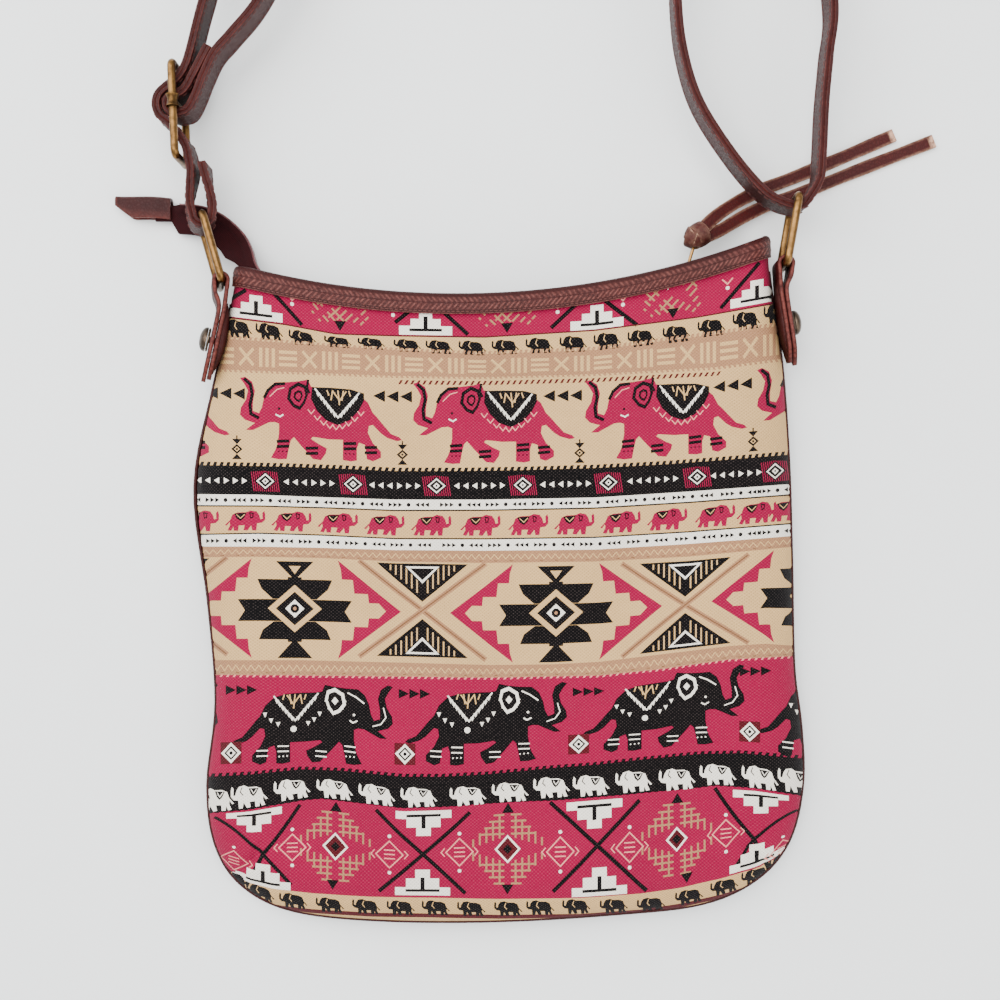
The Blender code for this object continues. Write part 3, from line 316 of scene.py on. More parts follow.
def skin(points: Points, front: bool, inset: float = 0.0) -> Points:
    """Land cloth points on the bag.

    Args:
        points: cloth points.
        front: True for the printed side, False for the back.
        inset: how far inside the outer face.

    Returns:
        Points in space.
    """
    points = np.asarray(points, float)
    distance, inward = OUTER.nearest(points)
    x, y = points[:, 0], points[:, 1]
    high = smoothstep(ROUND_TO, ROUND_FROM, y)
    if front:
        edge = EDGE_ROUND + (MOUTH_ROUND - EDGE_ROUND) * high
        middle = np.clip(1 - (x / 0.13) ** 2, 0, 1) * np.clip(1 - (y / 0.17) ** 2, 0, 1)
        top = FRONT_HEIGHT + BELLY * middle - BOTTOM_DROP * smoothstep(0.06, 0.147, -y)
        top = top + swell(points)
    else:
        edge = np.full(len(points), BACK_ROUND)
        drop = np.linalg.norm(points - np.array(MOUTH_CENTRE), axis=1) - MOUTH_RADIUS
        top = MOUTH_LIFT * (1 - smoothstep(10 * MM, 32 * MM, drop))
    turned = np.clip(1 - (distance + CLOTH_SPREAD) / (edge + CLOTH_SPREAD), 0, 1) * math.pi / 2
    depth = edge - (edge - inset) * np.sin(turned)
    moved = np.where(turned > 0, depth - distance, 0.0)
    place = points + inward * moved[:, None]
    face = top - inset if front else top + inset
    height = SEAM_HEIGHT + (face - SEAM_HEIGHT) * np.cos(turned)
    return np.column_stack([place, height])


def skin_normals(points: Points, front: bool) -> Points:
    """Measure the outward directions of the bag's surface.

    Args:
        points: cloth points.
        front: True for the printed side.

    Returns:
        One unit vector for each point.
    """
    step = 0.4 * MM
    across = skin(points + (step, 0), front) - skin(points - (step, 0), front)
    along = skin(points + (0, step), front) - skin(points - (0, step), front)
    normal = np.cross(across, along)
    normal /= np.maximum(np.linalg.norm(normal, axis=1), 1e-12)[:, None]
    return normal if front else -normal


def mouth_arc(x: float, drop: float) -> Points:
    """Point of the mouth's arc at an x, a drop below the top of the binding."""
    radius = MOUTH_RADIUS + drop
    return np.array([x, MOUTH_CENTRE.y - math.sqrt(radius**2 - (x - MOUTH_CENTRE.x) ** 2)])


def cloth_corners() -> tuple[Points, Points, Points]:
    """The cloth's left, bottom and right edges as even points, from the mouth down."""
    first, last = OUTER.crossing(-1, PANEL_DROP), OUTER.crossing(1, PANEL_DROP)
    left = evenly(OUTER.outer[first : LEFT_CORNER * OUTER.SPANS + 1], MM)
    base = evenly(OUTER.outer[LEFT_CORNER * OUTER.SPANS : RIGHT_CORNER * OUTER.SPANS + 1], MM)
    right = evenly(OUTER.outer[RIGHT_CORNER * OUTER.SPANS : last + 1][::-1], MM)
    left[0] = mouth_arc(left[0][0], PANEL_DROP)
    right[0] = mouth_arc(right[0][0], PANEL_DROP)
    return left, base, right


def cloth_grid(rows: int, columns: int) -> Points:
    """Fit rows of cloth points between the panel's edges.

    Args:
        rows: number of rows, from the mouth down.
        columns: number of columns, closer at the sides.

    Returns:
        Array of rows x columns x 2.
    """
    left, base, right = cloth_corners()

    def at(line: Points, share: float) -> Points:
        """Point of a line at a share of its length."""
        place = share * (len(line) - 1)
        low = min(int(place), len(line) - 2)
        return line[low] + (line[low + 1] - line[low]) * (place - low)

    grid = []
    for v in np.linspace(0, 1, rows):
        for share in np.linspace(0, 1, columns):
            u = 0.75 * share + 0.25 * float(smoothstep(0, 1, share)) if columns > 2 else share
            top = mouth_arc(left[0][0] + (right[0][0] - left[0][0]) * u, PANEL_DROP)
            sides = (1 - u) * at(left, v) + u * at(right, v)
            ends = (1 - v) * top + v * at(base, u)
            corners = (1 - v) * ((1 - u) * left[0] + u * right[0])
            corners = corners + v * ((1 - u) * base[0] + u * base[-1])
            grid.append(sides + ends - corners)
    return np.array(grid).reshape(rows, columns, 2)


def grid_faces(rows: int, columns: int, start: int = 0) -> Faces:
    """Four-sided faces of a grid of points that starts at an index."""
    faces = []
    for j in range(rows - 1):
        for i in range(columns - 1):
            a, b = start + j * columns + i, start + (j + 1) * columns + i
            faces.append((a, b, b + 1, a + 1))
    return faces


def grid_rim(rows: int, columns: int) -> list[int]:
    """Indices round the edge of a grid, from its first corner along the first row."""
    rim = [*range(columns), *(j * columns + columns - 1 for j in range(1, rows))]
    rim += [(rows - 1) * columns + i for i in range(columns - 2, -1, -1)]
    rim += [j * columns for j in range(rows - 2, 0, -1)]
    return rim


class Stand:
    """A local frame: out from the bag, along the ring or slide, and across it."""

    def __init__(self, at: Vector, side: int, turn: float, lean: float) -> None:
        """Set the frame's place and directions.

        Args:
            at: its origin.
            side: -1 on the left, 1 on the right.
            turn: turn in plan.
            lean: lean out of the table's plane.
        """
        self.at = Vector(at)
        self.along = Vector((-math.sin(turn), math.cos(turn), 0))
        flat_out = Vector((side * math.cos(turn), side * math.sin(turn), 0))
        upright = Vector((0, 0, 1))
        self.out = flat_out * math.cos(lean) + upright * math.sin(lean)
        self.across = upright * math.cos(lean) - flat_out * math.sin(lean)

    def point(self, out: float, along: float, across: float = 0.0) -> Vector:
        """World place of a local point."""
        return self.at + self.out * out + self.along * along + self.across * across


class Side(Enum):
    """The bag's two sides."""

    LEFT = "left"
    RIGHT = "right"


RING_STANDS = {
    Side.LEFT: Stand(Vector((-0.1262, 0.1432, HARDWARE_HEIGHT)), -1, math.radians(16), RING_LEFT_LEAN),
    Side.RIGHT: Stand(Vector((0.1280, 0.1510, HARDWARE_HEIGHT)), 1, math.radians(-10), RING_RIGHT_LEAN),
}
TAB_STANDS = {
    Side.LEFT: Stand(RING_STANDS[Side.LEFT].at, -1, math.radians(-12.3), RING_LEFT_LEAN),
    Side.RIGHT: Stand(RING_STANDS[Side.RIGHT].at, 1, math.radians(8.7), RING_RIGHT_LEAN),
}
SLIDE_STAND = Stand(SLIDE_AT, -1, SLIDE_TURN, 0.0)


def new_piece(name: str, points: Points | list, faces: Faces, sharp: float = 35) -> bpy.types.Object:
    """Make a smooth-shaded piece from points and faces, with its faces turned outwards.

    Args:
        name: the piece's name.
        points: its points.
        faces: its faces.
        sharp: angle in degrees from which an edge stays sharp.

    Returns:
        The new object at the origin.
    """
    mesh = bpy.data.meshes.new(name)
    mesh.from_pydata([tuple(map(float, p)) for p in points], [], faces)
    shape = bmesh.new()
    shape.from_mesh(mesh)
    bmesh.ops.recalc_face_normals(shape, faces=shape.faces)
    shape.to_mesh(mesh)
    shape.free()
    mesh.shade_smooth()
    mesh.set_sharp_from_angle(angle=math.radians(sharp))
    obj = bpy.data.objects.new(name, mesh)
    bpy.context.scene.collection.objects.link(obj)
    return obj


def sweep(points: list, across: list, up: list, sections: list, closed: bool = False) -> tuple[list, Faces]:
    """Carry a profile along a path.

    Args:
        points: path points.
        across: the profile's first direction at each point.
        up: its second direction at each point.
        sections: one list of (across, up) places for each path point.
        closed: whether the path joins up.

    Returns:
        The points and faces.
    """
    made, faces, count = [], [], len(sections[0])
    for point, side, top, section in zip(points, across, up, sections):
        made += [Vector(point) + float(a) * Vector(side) + float(b) * Vector(top) for a, b in section]
    rows = len(points)
    for i in range(rows if closed else rows - 1):
        for k in range(count):
            here, there = i * count, (i + 1) % rows * count
            after = (k + 1) % count
            faces.append((here + k, here + after, there + after, there + k))
    if not closed:
        faces.append(tuple(range(count))[::-1])
        faces.append(tuple((rows - 1) * count + k for k in range(count)))
    return made, faces


def tell(obj: bpy.types.Object) -> bpy.types.Object:
    """Report a finished piece, with its number of faces, and hand it on."""
    LOG.info("%s: %d faces", obj.name, len(obj.data.polygons))
    return obj


def only(obj: bpy.types.Object) -> None:
    """Select one object alone and make it the active one."""
    bpy.ops.object.select_all(action="DESELECT")
    obj.select_set(True)
    bpy.context.view_layer.objects.active = obj


def applied(obj: bpy.types.Object) -> bpy.types.Object:
    """Put an object's place, turn and scale into its mesh and hand it on."""
    only(obj)
    bpy.ops.object.transform_apply(location=True, rotation=True, scale=True)
    return obj


class Graph:
    """Nodes of one material or node group, added and linked in short words."""

    def __init__(self, tree: bpy.types.NodeTree) -> None:
        """Work on a node tree."""
        self.tree = tree

    def add(self, kind: str, **values: object) -> bpy.types.Node:
        """Add a node.

        Args:
            kind: the node's type, without ShaderNode.
            values: settings of the node itself.

        Returns:
            The node.
        """
        node = self.tree.nodes.new("ShaderNode" + kind)
        for name, value in values.items():
            setattr(node, name, value)
        return node

    def feed(self, socket: bpy.types.NodeSocket, value: object) -> None:
        """Link a socket's value, or set it where it is plain."""
        if isinstance(value, bpy.types.NodeSocket):
            self.tree.links.new(value, socket)
        else:
            socket.default_value = value

    def math(self, operation: str, a: object, b: object = 0.0) -> bpy.types.NodeSocket:
        """Combine two values and give the result."""
        node = self.add("Math", operation=operation)
        self.feed(node.inputs[0], a)
        self.feed(node.inputs[1], b)
        return node.outputs[0]

    def mix(self, share: object, a: object, b: object) -> bpy.types.NodeSocket:
        """Mix two colours by a share and give the result."""
        node = self.add("Mix", data_type="RGBA")
        self.feed(node.inputs[0], share)
        for socket, value in ((node.inputs[6], a), (node.inputs[7], b)):
            self.feed(socket, value if isinstance(value, bpy.types.NodeSocket) else (*value, 1.0))
        return node.outputs[2]

    def ramp(self, value: object, low: float, high: float) -> bpy.types.NodeSocket:
        """Stretch a value's range from low to high to 0 to 1, cut at both ends."""
        node = self.add("MapRange", clamp=True)
        self.feed(node.inputs[0], value)
        node.inputs[1].default_value = low
        node.inputs[2].default_value = high
        return node.outputs[0]

    def noise(self, vector: object, scale: object, detail: float = 3.0) -> bpy.types.NodeSocket:
        """Give noise of a scale at a place."""
        node = self.add("TexNoise")
        self.feed(node.inputs["Vector"], vector)
        self.feed(node.inputs["Scale"], scale)
        node.inputs["Detail"].default_value = detail
        return node.outputs["Fac"]

    def group(self, tree: bpy.types.NodeTree, **values: object) -> bpy.types.Node:
        """Place a shared effect with its own values.

        Args:
            tree: the effect's node group.
            values: value or socket for each named input.

        Returns:
            The group's node.
        """
        node = self.add("Group", node_tree=tree)
        for name, value in values.items():
            self.feed(node.inputs[name], value)
        return node


def new_effect(name: str, inputs: dict[str, str], outputs: list[str]) -> tuple[Graph, dict, dict]:
    """Start a shared effect.

    Args:
        name: the node group's name.
        inputs: kind of each named input.
        outputs: names of the values put out.

    Returns:
        The graph, its input sockets and its output sockets by name.
    """
    tree = bpy.data.node_groups.new(name, "ShaderNodeTree")
    for label, kind in inputs.items():
        tree.interface.new_socket(label, in_out="INPUT", socket_type="NodeSocket" + kind)
    for label in outputs:
        tree.interface.new_socket(label, in_out="OUTPUT", socket_type="NodeSocketFloat")
    graph = Graph(tree)
    start, end = tree.nodes.new("NodeGroupInput"), tree.nodes.new("NodeGroupOutput")
    return graph, {s.name: s for s in start.outputs}, {s.name: s for s in end.inputs}


def make_weave() -> bpy.types.NodeTree:
    """A plain weave: its height, and a mask of the raised thread tops in every second cell, broken by slubs,
    where painted highlights go.
    """
    graph, given, out = new_effect("weave", {"Vector": "Vector", "Across": "Float", "Along": "Float"},
                                   ["Height", "ThreadHighlight"])
    split = graph.add("SeparateXYZ")
    wobble = graph.noise(given["Vector"], 60.0, 1.0)
    graph.feed(split.inputs[0], given["Vector"])
    x = graph.math("MULTIPLY", graph.math("MULTIPLY", split.outputs[0], given["Across"]), math.pi)
    y = graph.math("MULTIPLY", graph.math("MULTIPLY", split.outputs[1], given["Along"]), math.pi)
    x = graph.math("ADD", x, graph.math("MULTIPLY", wobble, 3.0))
    wave = graph.math("MULTIPLY", graph.math("SINE", x), graph.math("SINE", y))
    height = graph.math("ADD", graph.math("MULTIPLY", wave, 0.5), 0.5)
    slub = graph.noise(given["Vector"], 900.0, 1.0)
    graph.feed(out["Height"], height)
    # ThreadHighlight: mask of the raised thread tops, for painted highlights
    graph.feed(
        out["ThreadHighlight"], graph.math("MULTIPLY", graph.ramp(height, 0.62, 0.95), graph.ramp(slub, 0.3, 0.6))
    )
    return graph.tree


def make_grain() -> bpy.types.NodeTree:
    """Leather grain: small pebbles parted by fine creases, over a softer unevenness."""
    graph, given, out = new_effect("grain", {"Vector": "Vector", "Scale": "Float"}, ["Height", "Crease"])
    cells = graph.add("TexVoronoi", feature="DISTANCE_TO_EDGE")
    graph.feed(cells.inputs["Vector"], given["Vector"])
    graph.feed(cells.inputs["Scale"], given["Scale"])
    pebble = graph.ramp(cells.outputs["Distance"], 0.0, 0.22)
    soft = graph.noise(given["Vector"], graph.math("MULTIPLY", given["Scale"], 0.35), 2.0)
    graph.feed(
        out["Height"],
        graph.math("ADD", graph.math("MULTIPLY", pebble, 0.6), graph.math("MULTIPLY", soft, 0.5))
    )
    graph.feed(out["Crease"], graph.math("SUBTRACT", 1.0, pebble))
    return graph.tree


def make_edge_rub_and_highlight() -> bpy.types.NodeTree:
    """Sharply convex edges, broken up by noise: real scuffing on leather and metal, a painted highlight on
    the zip teeth.
    """
    graph, given, out = new_effect(
        "edge_rub_and_highlight", {"Vector": "Vector", "Low": "Float", "High": "Float"}, ["Mask"]
    )
    sharp = graph.add("NewGeometry").outputs["Pointiness"]
    over = graph.math("SUBTRACT", sharp, given["Low"])
    share = graph.math("DIVIDE", over, graph.math("SUBTRACT", given["High"], given["Low"]))
    broken = graph.ramp(graph.noise(given["Vector"], 420.0), 0.3, 0.62)
    clipped = graph.math("MINIMUM", graph.math("MAXIMUM", share, 0.0), 1.0)
    graph.feed(out["Mask"], graph.math("MULTIPLY", clipped, broken))
    return graph.tree


def make_patina() -> bpy.types.NodeTree:
    """Uneven tone: large soft patches with finer ones in them."""
    graph, given, out = new_effect("patina", {"Vector": "Vector", "Scale": "Float"}, ["Tone"])
    large = graph.noise(given["Vector"], given["Scale"], 2.0)
    fine = graph.noise(given["Vector"], graph.math("MULTIPLY", given["Scale"], 7.0), 3.0)
    tone = graph.math("ADD", graph.math("MULTIPLY", large, 0.65), graph.math("MULTIPLY", fine, 0.35))
    graph.feed(out["Tone"], graph.ramp(tone, 0.3, 0.7))
    return graph.tree


@dataclass(frozen=True)
class Effects:
    """The shared effects that the finishes place."""

    weave: bpy.types.NodeTree = field(default_factory=make_weave)
    grain: bpy.types.NodeTree = field(default_factory=make_grain)
    wear_and_highlight: bpy.types.NodeTree = field(default_factory=make_edge_rub_and_highlight)
    patina: bpy.types.NodeTree = field(default_factory=make_patina)


@dataclass(frozen=True)
class Finish:
    """A finish: its name, colours and gloss. Each kind fills in its own nodes."""

    name: str
    colour: tuple[float, float, float]
    second: tuple[float, float, float]
    roughness: float = 0.6

    def make(self, effects: Effects) -> bpy.types.Material:
        """Build the material.

        Args:
            effects: the shared effects.

        Returns:
            The finished material.
        """
        made = bpy.data.materials.new(self.name)
        made.use_nodes = True
        graph = Graph(made.node_tree)
        shader = made.node_tree.nodes["Principled BSDF"]
        place = graph.add("TexCoord").outputs["Object"]
        self.fill(graph, shader, place, effects)
        return made

    def fill(self, graph: Graph, shader: bpy.types.Node, place: object, effects: Effects) -> None:
        """Set the finish's own nodes; each kind has its own."""
        raise NotImplementedError

    def roughen(self, graph: Graph, shader: bpy.types.Node, tone: object, amount: float) -> None:
        """Feed the finish's roughness to the shader, raised by a share of a tone."""
        raised = graph.math("ADD", graph.math("MULTIPLY", tone, amount), self.roughness)
        graph.feed(shader.inputs["Roughness"], raised)

    def bump(self, graph: Graph, shader: bpy.types.Node, height: object, depth: float) -> None:
        """Feed a height to the shader as a bump of a depth in metres."""
        node = graph.add("Bump")
        node.inputs["Strength"].default_value = 1.0
        node.inputs["Distance"].default_value = depth
        graph.feed(node.inputs["Height"], height)
        graph.feed(shader.inputs["Normal"], node.outputs[0])


@dataclass(frozen=True)
class PrintedCanvas(Finish):
    """Woven cotton with a print: painted highlights on the thread tops and painted shade in the gaps between
    them; the ink is a little uneven.
    """

    def fill(self, graph: Graph, shader: bpy.types.Node, place: object, effects: Effects) -> None:
        """Colour from the print's fields, with painted shade in the weave's gaps and painted highlights on
        the threads, with the weave as bump.
        """
        cloth = graph.add("UVMap", uv_map="cloth").outputs[0]
        ink = graph.add("VertexColor", layer_name="print").outputs["Color"]
        weave = graph.group(effects.weave, Vector=cloth, Across=1180.0, Along=1400.0)
        patina = graph.group(effects.patina, Vector=place, Scale=26.0)
        dark = graph.mix(0.13, ink, self.second)
        toned = graph.mix(patina.outputs["Tone"], dark, ink)
        # painted shade: up to 28 percent darker toward black in the gaps between threads
        gap = graph.mix(
            graph.ramp(weave.outputs["Height"], 0.5, 0.0), toned, graph.mix(0.28, toned, (0, 0, 0))
        )
        # painted highlight: thread tops mixed 5 percent toward the pale canvas colour
        share = graph.math("MULTIPLY", weave.outputs["ThreadHighlight"], 0.05)
        graph.feed(shader.inputs["Base Color"], graph.mix(share, gap, self.colour))
        self.roughen(graph, shader, patina.outputs["Tone"], 0.08)
        shader.inputs["Sheen Weight"].default_value = 0.02
        shader.inputs["Specular IOR Level"].default_value = 0.1
        self.bump(graph, shader, weave.outputs["Height"], 0.00022)


@dataclass(frozen=True)
class GrainedLeather(Finish):
    """Faux leather: fine grain, paler and drier where it is scuffed or cut, with painted highlights on
    folded edges and embossed ridges and painted shade in the grain's creases.
    """

    grain: float = 700.0
    # pale colour that the stored attribute mixes in: real scuffing on cut edges, painted highlights on
    # folded edges and embossed ridges
    pale_rub_and_highlight_colour: tuple[float, float, float] = (0.15, 0.034, 0.026)

    def fill(self, graph: Graph, shader: bpy.types.Node, place: object, effects: Effects) -> None:
        """Two tones, painted shade in the grain's creases, and paler edges from the piece's own stored
        attribute: real scuffing on cut edges, painted highlights on folded edges and embossed ridges.
        """
        grain = graph.group(effects.grain, Vector=place, Scale=self.grain)
        patina = graph.group(effects.patina, Vector=place, Scale=45.0)
        wear_and_highlight = graph.group(effects.wear_and_highlight, Vector=place, Low=0.53, High=0.62)
        # stored attribute: real scuffing on cut edges, painted highlights on the strap's folded edges and
        # the binding's embossed ridges
        stored_rub_and_highlight = graph.add("Attribute", attribute_name="wear_and_highlight").outputs["Fac"]
        base = graph.mix(patina.outputs["Tone"], self.colour, self.second)
        # painted shade: the grain's creases up to 45 percent darker toward near black
        crease_shaded = graph.mix(
            graph.math("MULTIPLY", grain.outputs["Crease"], 0.45), base, (0.02, 0.004, 0.004)
        )
        broken = graph.ramp(graph.noise(place, 600.0), 0.25, 0.6)
        share = graph.math("MULTIPLY", graph.math("MULTIPLY", stored_rub_and_highlight, broken), 0.85)
        share = graph.math("MAXIMUM", share, graph.math("MULTIPLY", wear_and_highlight.outputs["Mask"], 0.2))
        graph.feed(shader.inputs["Base Color"], graph.mix(share, crease_shaded, self.pale_rub_and_highlight_colour))
        rough = graph.math("ADD", graph.math("MULTIPLY", grain.outputs["Crease"], 0.2), self.roughness)
        graph.feed(shader.inputs["Roughness"], rough)
        shader.inputs["Specular IOR Level"].default_value = 0.16
        self.bump(graph, shader, grain.outputs["Height"], 0.00016)


@dataclass(frozen=True)
class AntiqueMetal(Finish):
    """Antique metal: dark in the hollows, bright where hands and cloth rub it."""

    def fill(self, graph: Graph, shader: bpy.types.Node, place: object, effects: Effects) -> None:
        """Patches of tarnish over the metal, with worn edges and a fine unevenness."""
        patina = graph.group(effects.patina, Vector=place, Scale=190.0)
        wear_and_highlight = graph.group(effects.wear_and_highlight, Vector=place, Low=0.505, High=0.58)
        base = graph.mix(patina.outputs["Tone"], self.second, self.colour)
        bright = tuple(min(1.0, value * 1.9) for value in self.colour)
        graph.feed(shader.inputs["Base Color"], graph.mix(wear_and_highlight.outputs["Mask"], base, bright))
        shader.inputs["Metallic"].default_value = 1.0
        rough = graph.math(
            "SUBTRACT", self.roughness + 0.14, graph.math("MULTIPLY", patina.outputs["Tone"], 0.16)
        )
        graph.feed(shader.inputs["Roughness"], rough)
        self.bump(graph, shader, graph.noise(place, 1600.0), 0.00004)


@dataclass(frozen=True)
class PlainWoven(Finish):
    """Plain woven tape or lining."""

    threads: float = 1900.0

    def fill(self, graph: Graph, shader: bpy.types.Node, place: object, effects: Effects) -> None:
        """A fine weave in two tones of one colour, with painted highlights on the thread tops."""
        weave = graph.group(effects.weave, Vector=place, Across=self.threads, Along=self.threads)
        patina = graph.group(effects.patina, Vector=place, Scale=60.0)
        base = graph.mix(patina.outputs["Tone"], self.second, self.colour)
        # painted highlight: a colour 2.2 times paler on the thread tops, at up to half strength
        top = tuple(min(1.0, value * 2.2) for value in self.colour)
        share = graph.math("MULTIPLY", weave.outputs["ThreadHighlight"], 0.5)
        graph.feed(shader.inputs["Base Color"], graph.mix(share, base, top))
        self.roughen(graph, shader, patina.outputs["Tone"], 0.1)
        shader.inputs["Sheen Weight"].default_value = 0.02
        shader.inputs["Specular IOR Level"].default_value = 0.1
        self.bump(graph, shader, weave.outputs["Height"], 0.0001)


@dataclass(frozen=True)
class MouldedCoil(Finish):
    """Moulded zip teeth: smooth plastic, dulled by handling, with a painted highlight on their convex tips.
    """

    def fill(self, graph: Graph, shader: bpy.types.Node, place: object, effects: Effects) -> None:
        """Two close tones, with a painted highlight on the convex tips."""
        patina = graph.group(effects.patina, Vector=place, Scale=300.0)
        wear_and_highlight = graph.group(effects.wear_and_highlight, Vector=place, Low=0.52, High=0.6)
        base = graph.mix(patina.outputs["Tone"], self.second, self.colour)
        # painted highlight: convex tips mixed up to 60 percent toward a colour 2.4 times paler
        pale = tuple(min(1.0, value * 2.4) for value in self.colour)
        share = graph.math("MULTIPLY", wear_and_highlight.outputs["Mask"], 0.6)
        graph.feed(shader.inputs["Base Color"], graph.mix(share, base, pale))
        self.roughen(graph, shader, patina.outputs["Tone"], 0.15)
        self.bump(graph, shader, graph.noise(place, 2400.0), 0.00003)


@dataclass(frozen=True)
class TwistedThread(Finish):
    """Sewing thread: fine slanted plies."""

    def fill(self, graph: Graph, shader: bpy.types.Node, place: object, effects: Effects) -> None:
        """Slanted bands in two tones: the darker one is painted shade in the grooves between plies, where
        the bump sinks.
        """
        wave = graph.add("TexWave", bands_direction="DIAGONAL")
        graph.feed(wave.inputs["Vector"], place)
        wave.inputs["Scale"].default_value = 900.0
        # painted shade: the darker second colour fills the wave's low grooves
        graph.feed(shader.inputs["Base Color"], graph.mix(wave.outputs["Fac"], self.second, self.colour))
        self.roughen(graph, shader, wave.outputs["Fac"], 0.1)
        self.bump(graph, shader, wave.outputs["Fac"], 0.00005)


@dataclass(frozen=True)
class PaintedBoard(Finish):
    """The plain pale floor."""

    def fill(self, graph: Graph, shader: bpy.types.Node, place: object, effects: Effects) -> None:
        """An almost even matt white."""
        patina = graph.group(effects.patina, Vector=place, Scale=4.0)
        graph.feed(shader.inputs["Base Color"], graph.mix(patina.outputs["Tone"], self.second, self.colour))
        self.roughen(graph, shader, patina.outputs["Tone"], 0.05)
        shader.inputs["Specular IOR Level"].default_value = 0.15


class Wardrobe:
    """Every finish of the bag, each material made once."""

    def __init__(self) -> None:
        """Build the shared effects and the materials."""
        effects = Effects()
        # canvas: the first colour is the pale colour of the painted highlights on the thread tops
        self.canvas = PrintedCanvas(
            "printed_canvas", (0.80, 0.60, 0.55), (0.010, 0.002, 0.003), 0.85
        ).make(effects)
        # leather: its default pale colour also carries the painted highlights on the strap's folded edges
        self.leather = GrainedLeather(
            "grained_leather", (0.019, 0.0016, 0.0013), (0.035, 0.0032, 0.0026), 0.46
        ).make(effects)
        self.back = GrainedLeather(
            "back_leather", (0.026, 0.0024, 0.0021), (0.044, 0.0046, 0.0040), 0.46, grain=520.0
        ).make(effects)
        # binding: its pale colour is mostly the painted highlight on the embossed ridges, and partly the
        # scuffed cut edge
        self.binding = GrainedLeather(
            "embossed_leather", (0.021, 0.0016, 0.0013), (0.038, 0.0034, 0.0028), 0.42, grain=1100.0,
            pale_rub_and_highlight_colour=(0.32, 0.105, 0.085)
        ).make(effects)
        self.thong = GrainedLeather(
            "thong_leather", (0.032, 0.0028, 0.0024), (0.054, 0.0056, 0.0048), 0.46, grain=620.0,
            pale_rub_and_highlight_colour=(0.62, 0.36, 0.24)
        ).make(effects)
        self.brass = AntiqueMetal(
            "antique_brass", (0.17, 0.088, 0.028), (0.022, 0.011, 0.006), 0.3
        ).make(effects)
        self.rivet = AntiqueMetal(
            "dark_antique", (0.085, 0.060, 0.042), (0.012, 0.009, 0.008), 0.36
        ).make(effects)
        self.tape = PlainWoven(
            "zip_tape", (0.022, 0.0025, 0.0035), (0.012, 0.0014, 0.002), 0.8
        ).make(effects)
        self.lining = PlainWoven(
            "lining_cloth", (0.13, 0.075, 0.05), (0.08, 0.045, 0.03), 0.85, 1500.0
        ).make(effects)
        self.teeth = MouldedCoil(
            "zip_coil", (0.075, 0.011, 0.013), (0.04, 0.006, 0.008), 0.35
        ).make(effects)
        # thread: the second colour is the painted shade between plies
        self.thread = TwistedThread(
            "sewing_thread", (0.12, 0.026, 0.020), (0.045, 0.008, 0.006), 0.7
        ).make(effects)
        self.floor = PaintedBoard(
            "pale_floor", (0.86, 0.87, 0.865), (0.83, 0.84, 0.838), 0.9
        ).make(effects)


class Ink(Enum):
    """Colours of the print."""

    MAGENTA = (0.255, 0.0008, 0.036)
    CREAM = (0.56, 0.345, 0.145)
    TAN = (0.33, 0.165, 0.082)
    BLACK = (0.0010, 0.0009, 0.0012)
    WHITE = (0.84, 0.78, 0.68)
    BROWN = (0.17, 0.075, 0.033)
    PINK = (0.72, 0.24, 0.20)
    MAROON = (0.07, 0.004, 0.008)


# Where the bands' borders run: border's place at the middle, then (across, down) along it
BORDERS = [
    (338, [(226, 318), (284, 325), (335, 334.6), (395, 336.5), (484, 337.8), (595, 331), (697, 318),
           (770, 305)]),
    (354, [(228, 339), (395, 350), (480, 354), (595, 350), (770, 327)]),
    (379, [(226, 372), (395, 378), (480, 379), (595, 376), (714, 370), (777, 362)]),
    (471, [(199, 465), (284, 466.5), (340, 468.5), (394, 471), (459, 471), (523, 470), (595, 468),
           (662, 464.5), (729, 459.5), (790, 454.5)]),
    (500, [(199, 494.2), (259, 494.8), (310, 496.8), (394, 499.6), (484, 499.7), (595, 497.6), (689, 491.6),
           (789, 484.2)]),
    (509.5, [(199, 505), (259, 505.3), (323, 507), (394, 509.7), (484, 509.5), (595, 507.3), (689, 501.6),
             (789, 494.2)]),
    (539.5, [(199, 535), (259, 533.8), (323, 535.7), (394, 539.2), (484, 539.5), (595, 538), (689, 532.4),
             (789, 524.4)]),
    (550.6, [(200, 546.5), (259, 546.5), (323, 547.8), (394, 550), (484, 550.7), (595, 549.6), (689, 543.8),
             (789, 536.2)]),
    (563, [(200, 557.3), (259, 556.7), (323, 558), (394, 561.5), (484, 563), (595, 561.5), (689, 556.5),
           (789, 547.1)]),
    (664.5, [(215, 660.1), (302, 660.1), (402, 662.5), (489, 664.9), (553, 664.2), (600, 661.5), (662, 654),
             (729, 646), (765, 643.5), (789, 645.4)]),
    (677.5, [(215, 674.9), (302, 675.5), (402, 676.5), (489, 677.6), (600, 675.3), (662, 668.8),
             (729, 659.4), (793, 656.1)]),
    (774, [(208, 776.7), (249, 774.6), (302, 769.3), (342, 770.6), (402, 776.3), (438, 776.5), (489, 773.9),
           (540, 768.8), (600, 764), (649, 758.5), (702, 753.8), (742, 753.2), (803, 758.5)]),
    (804, [(210, 813.5), (249, 810.1), (302, 800.8), (321, 799), (356, 802.8), (402, 808.2), (451, 806.5),
           (502, 802.6), (553, 800.7), (600, 797.2), (649, 792.7), (689, 789.3), (715, 786), (756, 788.7),
           (801, 796)]),
    (898, [(225, 872), (251, 883), (273, 888.8), (312, 893.1), (370, 896.6), (428, 897.4), (500, 898.8),
           (580, 897.9), (641, 893.5), (681, 887.5), (721, 878.5), (761, 866.4), (790, 850)]),
]
